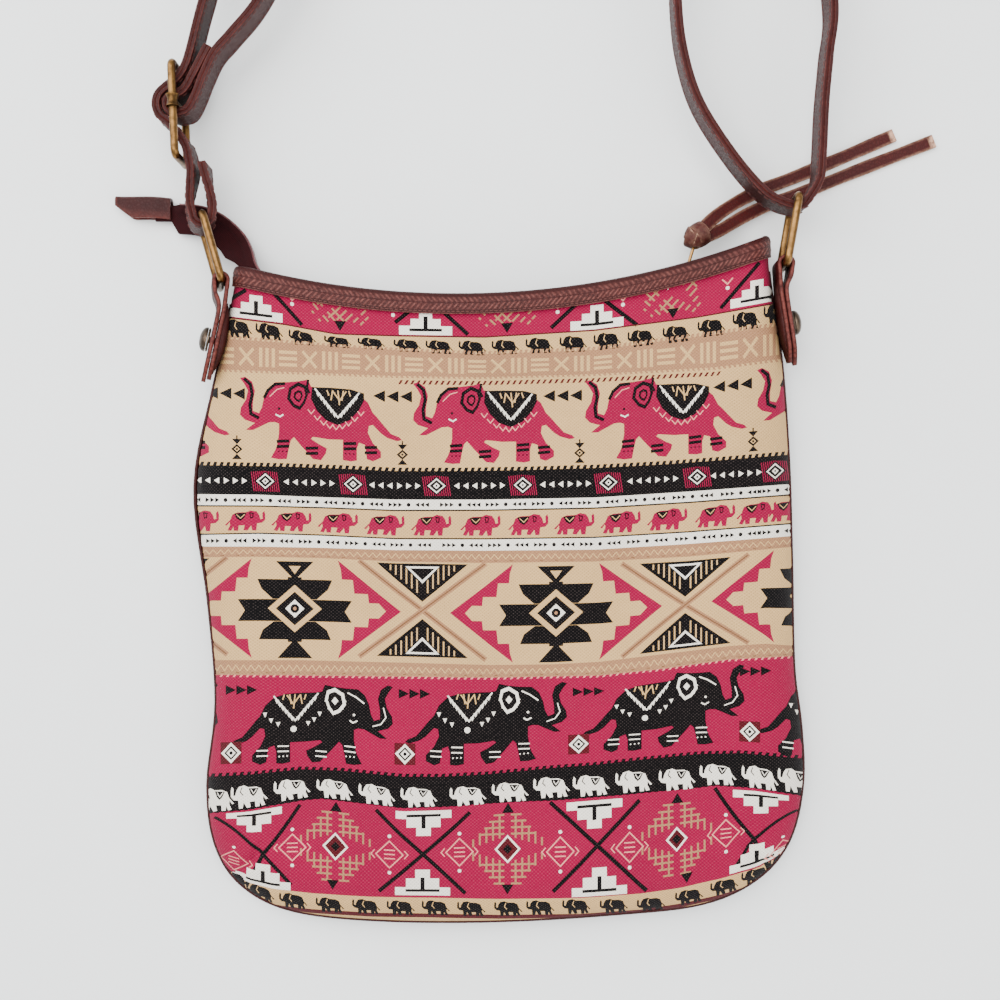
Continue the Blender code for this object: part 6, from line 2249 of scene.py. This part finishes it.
@dataclass
class Strap:
    """The long two-layer strap, cut into stretches where it follows the rings and the slide."""

    wardrobe: Wardrobe
    step: float = 1.6 * MM
    stitch_pitch: float = 3.4 * MM

    def route(self) -> Points:
        """The strap's middle line in plan, from its sewn end at the left ring to the slide."""
        bars = {side: stand.at.xy + stand.along.xy * RING_BARS for side, stand in RING_STANDS.items()}
        left, right, slide = bars[Side.LEFT], bars[Side.RIGHT], SLIDE_AT.xy
        loop = WIRE + CLEARANCE + STRAP_THICKNESS / 2 + 0.2 * MM
        wrap = SLIDE_BAR + CLEARANCE + STRAP_THICKNESS / 2 + 0.2 * MM
        bulge = wrap + STRAP_THICKNESS + 1.0 * MM
        route = [left + Vector(p) * MM for p in ((1.4, 24.0), (2.4, 17.0), (3.9, 9.0), (4.4, 4.0))]
        route += around(left, loop, 0, -180)
        route += [left + Vector(p) * MM for p in ((-5.4, 6.5), (-4.7, 14.0), (-3.9, 22.0))]
        route += [slide + Vector(p) * MM for p in ((4.6, -18.6), (1.6, -14.2))]
        route += around(slide, bulge, 250, 120)
        route += [slide + Vector(p) * MM for p in ((1.0, 11.8), (4.4, 17.0), (6.8, 24.5), (9.4, 35.0))]
        route += [
            (-0.1322, 0.2700), (-0.1240, 0.3000), (-0.1040, 0.3450), (-0.0620, 0.3900),
            (-0.0050, 0.4100), (0.0600, 0.4020), (0.1120, 0.3680), (0.1420, 0.3200), (0.1490, 0.2700),
            (0.1470, 0.2450), (0.1450, 0.2230), (0.1438, 0.1990),
        ]
        route += [right + Vector(p) * MM for p in ((9.3, 7.4),)]
        route += around(right, loop, -33, -108)
        route += [right + Vector(p) * MM for p in ((-7.7, -2.0), (-16.1, 3.4))]
        route += [
            (0.1035, 0.2005), (0.0890, 0.2235), (0.0818, 0.2465), (0.0792, 0.2700), (0.0790, 0.3000),
            (0.0670, 0.3380), (0.0380, 0.3670), (0.0000, 0.3740), (-0.0400, 0.3610), (-0.0720, 0.3310),
            (-0.0930, 0.2980), (-0.1080, 0.2690), (-0.1200, 0.2540),
        ]
        route += [slide + Vector(p) * MM for p in ((17.4, 23.0), (12.6, 13.0), (9.0, 4.0), (5.6, -2.2))]
        route += around(slide, wrap, 290, 100)
        route += [slide + Vector(p) * MM for p in ((4.0, 6.6), (8.6, 14.6), (14.6, 26.0))]
        return evenly(catmull_rom(route, 8), 0.5 * MM)

    def frames(self) -> tuple[list, list]:
        """Path points in space, each with the strap's width direction."""
        plan, stand = self.route(), RING_STANDS[Side.LEFT]
        straight = stand.at.xy + stand.along.xy * RING_BARS
        flat_out = Vector((stand.out.x, stand.out.y, 0)).normalized()
        points, wide = [], []
        for i, (x, y) in enumerate(plan):
            held = 1 - float(smoothstep(0.262, 0.335, y))
            height = STRAP_WIDTH / 2 + (HARDWARE_HEIGHT - STRAP_WIDTH / 2) * held
            near_start = i < len(plan) * 0.12
            lean = RING_LEFT_LEAN * (1 - float(smoothstep(0.176, 0.200, y))) * near_start
            out = (Vector((x, y)) - straight).dot(flat_out.xy)
            points.append(Vector((x, y, height + out * math.sin(lean))))
            wide.append(Vector((0, 0, 1)) * math.cos(lean) - flat_out * math.sin(lean))
        return points, wide

    def build(self) -> list[bpy.types.Object]:
        """Build the strap's stretches and their stitches, and attach those that hang on no ring or slide to
        the bag.

        Returns:
            The pieces.
        """
        points, wide = self.frames()
        keep = list(range(0, len(points) - 1, round(self.step / (0.5 * MM)))) + [len(points) - 1]
        points, wide = [points[k] for k in keep], [wide[k] for k in keep]
        place = np.array([tuple(p) for p in points])
        count = len(points)
        low_slide = int(
            np.argmin(np.abs(place[: count // 5, 1] - 0.2040) + (np.arange(count // 5) < 25) * 1.0)
        )
        at_slide = low_slide + int(np.argmax(place[low_slide : low_slide + 30, 1] > 0.2223))
        after_slide = at_slide + int(np.argmax(place[at_slide:, 1] > 0.318))
        middle = int(np.argmax(place[:, 0]))
        down = middle + int(np.argmax(place[middle:, 1] < 0.236))
        back_up = down + int(np.argmax(place[down + 30 :, 1] > 0.236)) + 30
        last = count - 1
        while place[last, 1] < 0.318 or last > count - 12:
            last -= 1
        z = HARDWARE_HEIGHT
        stretches = [
            ("sewn_end_left", 0, low_slide, "ring_left", (-0.139, 0.203, z), (-0.134, 0.180, z)),
            ("below_slide", low_slide, at_slide, "strap_slide", (-0.1425, 0.2045, z), (-0.1445, 0.2150, z)),
            ("above_slide", at_slide, after_slide, "strap_slide", (-0.121, 0.316, z), (-0.141, 0.238, z)),
            ("arch_outer", after_slide, down, None, None, None),
            ("round_right_ring", down, back_up, "ring_right", (0.120, 0.232, z), (0.132, 0.196, z)),
            ("arch_inner", back_up, last, None, None, None),
            ("sewn_end_slide", last, count - 1, "strap_slide", (-0.095, 0.314, z), (-0.127, 0.243, z)),
        ]
        pieces = []
        for name, start, end, body, at, to in stretches:
            part = self.stretch(name, points, wide, start, end)
            sewn = self.sew(name, points, wide, start, end)
            for obj in (part, sewn):
                if body:
                    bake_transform(obj)
                    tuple(at)
                    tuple(to)
                else:
                    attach(obj, "bag")
                pieces.append(tell(obj))
            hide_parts("strap")
        return pieces

    def sideways(self, points: list, wide: list, i: int) -> Vector:
        """The strap's thickness direction at a path point."""
        before, after = points[max(i - 1, 0)], points[min(i + 1, len(points) - 1)]
        return (after - before).normalized().cross(wide[i]).normalized()

    def stretch(self, name: str, points: list, wide: list, start: int, end: int) -> bpy.types.Object:
        """Sweep one stretch of the strap: two turned-in leather layers with a groove between them, and
        painted highlights along their folded edges and the groove's rims.

        Args:
            name: what the stretch is.
            points: the whole path.
            wide: its width directions.
            start: first path point.
            end: last path point.

        Returns:
            The stretch.
        """
        half, width = STRAP_THICKNESS / 2, STRAP_WIDTH / 2
        # third value of each point: painted highlight along each layer's folded edge and the groove's rims
        edge = [
            (-half, -width + 0.7 * MM, 0.0), (-half * 0.97, -width + 0.25 * MM, 0.15),
            (-half * 0.88, -width + 0.05 * MM, 0.85), (-half * 0.76, -width, 0.1),
            (-half * 0.3, -width + 0.02 * MM, 0.0), (-0.2 * MM, -width + 0.2 * MM, 0.55),
            (0.0, -width + 0.5 * MM, 0.0), (0.2 * MM, -width + 0.2 * MM, 0.55),
            (half * 0.3, -width + 0.02 * MM, 0.0), (half * 0.76, -width, 0.1),
            (half * 0.88, -width + 0.05 * MM, 0.85), (half * 0.97, -width + 0.25 * MM, 0.15),
            (half, -width + 0.7 * MM, 0.0), (half, -width + 1.6 * MM, 0.1),
            (half * 0.96, -width + 2.4 * MM, 0.0),
        ]
        rim = edge + [(-a, -b, c) for a, b, c in edge]
        profile = [(a, b) for a, b, _ in rim]
        ids = range(start, end + 1)
        made, faces = sweep(
            [points[i] for i in ids], [self.sideways(points, wide, i) for i in ids], [wide[i] for i in ids],
            [profile] * len(ids),
        )
        obj = new_piece(f"strap_{name}", made, faces, 60)
        # store the painted highlights of the folded edges
        store_rub_and_highlight(obj, [c for _ in ids for _, _, c in rim])
        return dress(obj, self.wardrobe.leather)

    def sew(self, name: str, points: list, wide: list, start: int, end: int) -> bpy.types.Object:
        """Sew one stretch near both edges, on both faces."""
        half, width = STRAP_THICKNESS / 2, STRAP_WIDTH / 2
        line = np.array([tuple(points[i]) for i in range(start, end + 1)])
        sides = np.array([tuple(self.sideways(points, wide, i)) for i in range(start, end + 1)])
        ups = np.array([tuple(wide[i]) for i in range(start, end + 1)])
        rows = []
        gone = np.concatenate([[0], np.cumsum(np.linalg.norm(np.diff(line, axis=0), axis=1))])
        marks = np.arange(self.stitch_pitch / 2, gone[-1], self.stitch_pitch)
        every = np.hstack([line, sides, ups])
        both = np.stack([np.interp(marks, gone, every[:, k]) for k in range(9)], axis=1)
        for face in (-1, 1):
            for edge in (-1, 1):
                outward = both[:, 3:6] * face
                spots = (
                    both[:, 0:3] + outward * (half + 0.02 * MM) + both[:, 6:9] * edge * (width - 2.3 * MM)
                )
                along = np.gradient(spots, axis=0) if len(spots) > 1 else both[:, 0:3] * 0 + (0, 1, 0)
                rows.append((spots, list(zip(along, outward))))
        return stitch_rows(f"strap_stitches_{name}", rows, 2.5 * MM, 0.55 * MM, self.wardrobe)


@dataclass
class Slide:
    """The strap's slide: a bent wire frame and a centre bar with a flared collar on each side wire."""

    wardrobe: Wardrobe

    def build(self) -> list[bpy.types.Object]:
        """Build and dress the frame and the bar.

        Returns:
            The pieces.
        """
        half = SLIDE_WIDTH / 2 - WIRE
        loop = wire_loop("slide_wire", -SLIDE_BELOW, SLIDE_ABOVE, half, SLIDE_CORNER - WIRE, WIRE)
        placed(loop, SLIDE_STAND)
        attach(loop, "strap_slide")
        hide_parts("slide_frame")
        dress(loop, self.wardrobe.brass)
        bar = self.build_bar(half)
        return [tell(loop), tell(bar)]

    def build_bar(self, half: float) -> bpy.types.Object:
        """Turn the centre bar and press its collars, waisted in the middle and dished at their ends.

        Args:
            half: distance of each side wire from the middle.

        Returns:
            The bar with its collars.
        """
        bpy.ops.object.select_all(action="DESELECT")
        bpy.ops.mesh.primitive_cylinder_add(vertices=24, radius=SLIDE_BAR, depth=2 * half)
        bar = bpy.context.active_object
        parts = []
        for sign in (-1, 1):
            bpy.ops.mesh.primitive_cylinder_add(
                vertices=36, radius=EYE_RADIUS * 0.93, depth=EYE_LENGTH * 1.5, rotation=(math.pi / 2, 0, 0),
                location=(0, 0, sign * half),
            )
            collar = bpy.context.active_object
            bpy.ops.object.mode_set(mode="EDIT")
            bpy.ops.mesh.select_all(action="SELECT")
            for share in (-0.5, 0.0, 0.5):
                bpy.ops.mesh.select_all(action="SELECT")
                bpy.ops.mesh.bisect(plane_co=(0, share * EYE_LENGTH, sign * half), plane_no=(0, 1, 0))
            bpy.ops.mesh.select_all(action="DESELECT")
            bpy.ops.object.mode_set(mode="OBJECT")
            for vertex in collar.data.vertices:
                reach = abs(vertex.co.z) / EYE_LENGTH
                narrow = 0.74 + 0.26 * min(1.0, reach / 0.75) ** 2
                vertex.co.x *= narrow * 0.86
                vertex.co.y *= narrow
            for face in collar.data.polygons:
                face.select = abs(face.normal.z) > 0.9
            bpy.ops.object.mode_set(mode="EDIT")
            bpy.ops.mesh.select_mode(type="FACE")
            bpy.ops.mesh.inset(thickness=0.9 * MM, depth=-0.6 * MM, use_individual=True)
            bpy.ops.object.mode_set(mode="OBJECT")
            applied(collar)
            parts.append(collar)
        bpy.ops.object.select_all(action="DESELECT")
        for part in (*parts, bar):
            part.select_set(True)
        bpy.context.view_layer.objects.active = bar
        bpy.ops.object.join()
        bar.name = "slide_centre_bar"
        bevel = bar.modifiers.new("soft edges", "BEVEL")
        bevel.width = 0.2 * MM
        bevel.segments = 2
        only(bar)
        bpy.ops.object.modifier_apply(modifier=bevel.name)
        placed(bar, SLIDE_STAND)
        only(bar)
        bpy.ops.object.shade_smooth_by_angle(angle=math.radians(40))
        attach(bar, "strap_slide")
        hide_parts("slide_bar")
        return dress(bar, self.wardrobe.brass)


@dataclass
class Zip:
    """The zip: teeth, tapes, slider with its bail, stops, loose end and the knotted pull."""

    wardrobe: Wardrobe

    def build(self) -> list[bpy.types.Object]:
        """Dress the moulded and metal nodes and build the soft pieces.

        Returns:
            The new pieces.
        """
        for name in ("zip_teeth_front", "zip_teeth_back"):
            dress(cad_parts[name], self.wardrobe.teeth)
        for name in ("zip_slider", "zip_bail", "zip_stop_front", "zip_stop_back"):
            dress(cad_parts[name], self.wardrobe.brass)
        tapes = [self.build_tape("front", 1), self.build_tape("back", -1)]
        return [*tapes, self.build_end(), self.build_thong()]

    def frames(self, pitch: float) -> tuple[Points, Points]:
        """Points a pitch apart along the chain, with the outward direction at each."""
        start = math.asin((SLIDER_AT - MOUTH_CENTRE.x) / CHAIN_RADIUS)
        end = math.asin((-0.101 - MOUTH_CENTRE.x) / CHAIN_RADIUS)
        line = []
        for k in range(31):
            angle = start + (end - start) * k / 30
            line.append((
                MOUTH_CENTRE.x + CHAIN_RADIUS * math.sin(angle),
                MOUTH_CENTRE.y - CHAIN_RADIUS * math.cos(angle), ZIP_HEIGHT,
            ))
        tail = [
            (-0.1072, 0.1470, 14.2), (-0.1118, 0.1528, 11.4), (-0.1142, 0.1600, 8.2), (-0.1180, 0.1672, 5.2),
            (-0.1240, 0.1735, 3.8), (-0.1310, 0.1782, 3.7), (-0.1390, 0.1808, 3.7), (-0.1480, 0.1815, 3.7),
        ]
        line += [(x, y, z * MM) for x, y, z in tail]
        points = evenly(catmull_rom(line, 4), pitch)
        tangent = np.gradient(points, axis=0)
        tangent[:, 2] = 0
        tangent /= np.linalg.norm(tangent, axis=1)[:, None]
        return points, np.stack([tangent[:, 1], -tangent[:, 0], np.zeros(len(points))], axis=1)

    def build_tape(self, name: str, side: int) -> bpy.types.Object:
        """Run one half of the tape from its teeth to the binding, and on along the loose end.

        Args:
            name: which half.
            side: 1 for the front half, -1 for the back.

        Returns:
            The tape.
        """
        points, outward = self.frames(2.9 * MM)
        points = np.vstack([points, points[-1] - (TAPE_FLAT, 0, 0), points[-1] - (TAPE_END, 0, 0)])
        outward = np.vstack([outward, outward[-1], outward[-1]])
        edge = TOOTH_ROOT + CARRIER + CLEARANCE + TAPE / 2
        half, made, faces = TAPE / 2, [], []
        for i, (point, way) in enumerate(zip(points, outward)):
            share = float(smoothstep(0.1035, 0.1125, -point[0]))
            room = 5.2 * MM + 7.6 * MM * float(smoothstep(0.150, 0.164, point[1]))
            spread = [
                (edge, 0.0), (edge + 3.2 * MM, -1.0 * MM), (8.9 * MM, -4.2 * MM), (9.2 * MM, -9.0 * MM)
            ]
            folded = [(edge, 0.0), (edge - 0.5 * MM, -2.4 * MM), (1.0 * MM, -4.6 * MM), (0.7 * MM, -room)]
            line = np.array(spread) * (1 - share) + np.array(folded) * share
            if i >= len(points) - 2:
                line = np.array(
                    [(TAPE / 2 + 0.2 * MM, back) for back in (0, -2.4 * MM, -4.6 * MM, -7.0 * MM)]
                )
            line = catmull_rom(line, 3)
            slope = np.gradient(line, axis=0)
            slope /= np.linalg.norm(slope, axis=1)[:, None]
            normal = np.stack([slope[:, 1], -slope[:, 0]], axis=1)
            loop = [*(line + normal * half), *(line - normal * half)[::-1]]
            made += [tuple(point + way * up + np.array([0, 0, side * across])) for across, up in loop]
        count = 20
        for i in range(len(points) - 1):
            for k in range(count):
                a, b = i * count + k, i * count + (k + 1) % count
                faces.append((a, b, b + count, a + count))
        for base in (0, (len(points) - 1) * count):
            for k in range(count // 2 - 1):
                faces.append((base + k, base + k + 1, base + count - 2 - k, base + count - 1 - k))
        obj = new_piece(f"woven_tape_{name}", made, faces)
        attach(obj, "bag")
        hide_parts(f"zip_tape_{name}")
        return tell(dress(obj, self.wardrobe.tape))

    def build_end(self) -> bpy.types.Object:
        """Fold the leather over the zip's loose end, cut at a slant.

        Returns:
            The folded end.
        """
        right, room, thick, length, fall = -0.1520, 1.6 * MM, 1.5 * MM, 25.5 * MM, 10 * MM
        points, sections, wear_and_highlight = [], [], []
        for share in np.linspace(0, 1, 22):
            wave = 0.35 * MM * math.sin(share * 5)
            points.append(Vector((right - length * share, 0.1850 + 1.2 * MM * share + wave, 3.5 * MM)))
            drop = fall * (1 - 0.55 * max(0.0, share - 0.7) / 0.3)
            shape = [
                (0.0, room * 0.4 + thick / 2), (-0.5 * MM, room * 0.75 + thick * 0.8),
                (-1.4 * MM, room + thick), (-drop * 0.6, room + thick), (-drop + 0.3 * MM, room + thick),
                (-drop, room + thick - 0.3 * MM), (-drop, room), (-thick - 0.5 * MM, room),
                (-thick, room * 0.5),
            ]
            sections.append(shape + [(y, -z) for y, z in shape[::-1]])
            cut = [0.1, 0.3, 0, 0, 0.4, 1, 1, 0, 0]
            wear_and_highlight += [max(value, 0.9 * float(share > 0.98)) for value in cut + cut[::-1]]
        made, faces = sweep(
            points, [Vector((0, 1, 0))] * len(points), [Vector((0, 0, 1))] * len(points), sections
        )
        obj = new_piece("folded_zip_end", made, faces)
        store_rub_and_highlight(obj, wear_and_highlight)
        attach(obj, "bag")
        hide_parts("zip_end_tab")
        return tell(dress(obj, self.wardrobe.leather))

    def build_thong(self) -> bpy.types.Object:
        """Tie the knot from flat bands round a core and lay its two tails.

        Returns:
            The knotted thong.
        """
        bpy.ops.object.select_all(action="DESELECT")
        bpy.ops.mesh.primitive_uv_sphere_add(
            segments=28, ring_count=16, radius=KNOT_RADIUS * 0.74, location=KNOT_AT
        )
        core = bpy.context.active_object
        applied(core)
        lead = Vector((0.86, 0.51, 0)).normalized()
        bands = [
            (lead, 1.9 * MM, 4.7 * MM), (Vector((0.35, 0.90, 0.45)).normalized(), -0.6 * MM, 4.35 * MM),
            (Vector((0.75, -0.35, 0.55)).normalized(), -1.4 * MM, 4.1 * MM),
        ]
        parts = [core]
        for index, (normal, shift, radius) in enumerate(bands):
            first = normal.orthogonal().normalized()
            second = normal.cross(first)
            points, ups = [], []
            for k in range(40):
                turn = math.tau * k / 40
                way = first * math.cos(turn) + second * math.sin(turn)
                points.append(KNOT_AT + lead * shift + way * radius + normal * 0.5 * MM * math.sin(2 * turn))
                ups.append(way)
            section = [
                (-2.6 * MM, -0.7 * MM), (2.6 * MM, -0.7 * MM), (2.9 * MM, 0.0), (2.5 * MM, 0.75 * MM),
                (0.0, 1.0 * MM), (-2.5 * MM, 0.75 * MM), (-2.9 * MM, 0.0),
            ]
            made, faces = sweep(points, [normal] * 40, ups, [section] * 40, closed=True)
            band = new_piece(f"band_{index}", made, faces, 50)
            store_rub_and_highlight(band, [0, 0, 0.8, 0.15, 0, 0.15, 0.8] * 40)
            parts.append(band)
        tails = [
            [(1.0, 1.6, 0.5), (9.0, 9.5, -3.0), (20.0, 17.5, -8.6), (32.0, 24.0, -12.4), (46.0, 29.5, -13.3),
             (68.0, 38.5, -13.3), (93.5, 49.5, -13.3)],
            [(1.0, -1.6, 0.5), (11.0, 3.2, -3.0), (23.0, 10.8, -8.6), (35.5, 17.2, -12.4),
             (50.0, 22.4, -13.3), (80.0, 34.4, -13.3), (112.0, 46.8, -13.3)],
        ]
        for index, line in enumerate(tails):
            parts.append(self.tail(index, line))
        bpy.ops.object.select_all(action="DESELECT")
        for part in parts:
            part.select_set(True)
        bpy.context.view_layer.objects.active = core
        bpy.ops.object.join()
        core.name = "knotted_thong"
        only(core)
        bpy.ops.object.shade_smooth_by_angle(angle=math.radians(50))
        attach(core, "zip_pull")
        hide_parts("zip_pull_thong")
        return tell(dress(core, self.wardrobe.thong))

    def tail(self, index: int, line: list) -> bpy.types.Object:
        """Lay one flat tail, a little uneven in width, with raw edges and a raw end."""
        path = evenly(catmull_rom(line, 8) * MM + np.array(KNOT_AT), 1.5 * MM)
        points = [Vector(p) for p in path.tolist()]
        half, sideways, up, sections, wear_and_highlight = THONG_THICKNESS / 2, [], [], [], []
        for i in range(len(points)):
            way = (points[min(i + 1, len(points) - 1)] - points[max(i - 1, 0)]).normalized()
            side = way.cross(Vector((0, 0, 1))).normalized()
            sideways.append(side)
            up.append(side.cross(way).normalized())
            w = THONG_WIDTH / 2 * (0.97 + 0.03 * math.sin(i * 0.31 + index * 2))
            sections.append([
                (-w + 0.3 * MM, -half), (w - 0.3 * MM, -half), (w, -half + 0.35 * MM), (w, half - 0.35 * MM),
                (w - 0.3 * MM, half), (w * 0.55, half), (w * 0.4, half - 0.12 * MM), (w * 0.25, half),
                (-w * 0.25, half), (-w * 0.4, half - 0.12 * MM), (-w * 0.55, half), (-w + 0.3 * MM, half),
                (-w, half - 0.35 * MM), (-w, -half + 0.35 * MM),
            ])
            end = float(i > len(points) - 3)
            wear_and_highlight += [max(end, v) for v in (0, 0, 0.5, 0.7, 0.25, 0, 0, 0, 0, 0, 0, 0.25, 0.7, 0.5)]
        made, faces = sweep(points, sideways, up, sections)
        obj = new_piece(f"tail_{index}", made, faces, 50)
        store_rub_and_highlight(obj, wear_and_highlight)
        return obj


@dataclass
class Studio:
    """Plain pale floor, soft light and the camera."""

    wardrobe: Wardrobe
    eye: tuple[float, float, float] = (0.0, 0.0455, 0.620)
    seen: float = 1.0 / 2.2
    level: float = 0.015

    def build(self) -> None:
        """Lay the floor, hang the lights and place the camera."""
        self.lay_floor()
        self.place_camera()
        for name, place, size, power, colour in (
            ("overhead", (-0.25, 0.35, 1.5), 1.6, 44.0, (1.0, 0.99, 0.975)),
            ("window", (-1.2, 0.9, 0.9), 1.0, 22.0, (0.95, 0.98, 1.0)),
            ("fill", (1.1, -0.7, 1.0), 1.2, 14.0, (1.0, 0.98, 0.96)),
        ):
            self.hang_light(name, place, size, power, colour)
        world = bpy.data.worlds.new("studio")
        world.use_nodes = True
        bpy.context.scene.world = world
        sky = world.node_tree.nodes["Background"]
        sky.inputs[0].default_value = (0.93, 0.97, 1.0, 1.0)
        sky.inputs[1].default_value = 1.15

    def lay_floor(self) -> None:
        """Spread the floor under everything."""
        bpy.ops.object.select_all(action="DESELECT")
        bpy.ops.mesh.primitive_plane_add(size=6, location=(0, 0, -0.05 * MM))
        floor = bpy.context.active_object
        floor.name = "floor"
        applied(floor)
        floor.data.materials.append(self.wardrobe.floor)
        floor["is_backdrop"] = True

    def place_camera(self) -> None:
        """Look straight down at the bag."""
        camera = bpy.data.cameras.new("camera")
        camera.sensor_fit = "HORIZONTAL"
        camera.angle = 2 * math.atan(self.seen * 0.5 / (self.eye[2] - self.level))
        holder = bpy.data.objects.new("camera", camera)
        holder.location = self.eye
        bpy.context.scene.collection.objects.link(holder)
        bpy.context.scene.camera = holder

    def hang_light(self, name: str, place: tuple, size: float, power: float, colour: tuple) -> None:
        """Hang a soft square light that faces the bag."""
        light = bpy.data.lights.new(name, "AREA")
        light.size = size
        light.energy = power
        light.color = colour
        holder = bpy.data.objects.new(name, light)
        holder.location = place
        away = Vector(place) - Vector((0, 0.05, 0))
        holder.rotation_euler = away.to_track_quat("Z", "Y").to_euler()
        bpy.context.scene.collection.objects.link(holder)


def main() -> None:
    """Build every sub-assembly in order."""
    logging.basicConfig(level=logging.INFO, format="%(name)s: %(message)s")
    wardrobe = Wardrobe()
    Studio(wardrobe).build()
    for assembly in (
        BagBody(wardrobe), Mouth(wardrobe), SideTab(Side.LEFT, wardrobe),
        SideTab(Side.RIGHT, wardrobe, BACKING_RIGHT),
        Strap(wardrobe), Slide(wardrobe), Zip(wardrobe),
    ):
        pieces = assembly.build()
        LOG.info("%s: %d pieces", type(assembly).__name__, len(pieces))
    boxes = [[[float(value) for value in corner] for corner in box] for box in (CAD_BOX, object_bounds())]


if __name__ == "__main__":
    main()
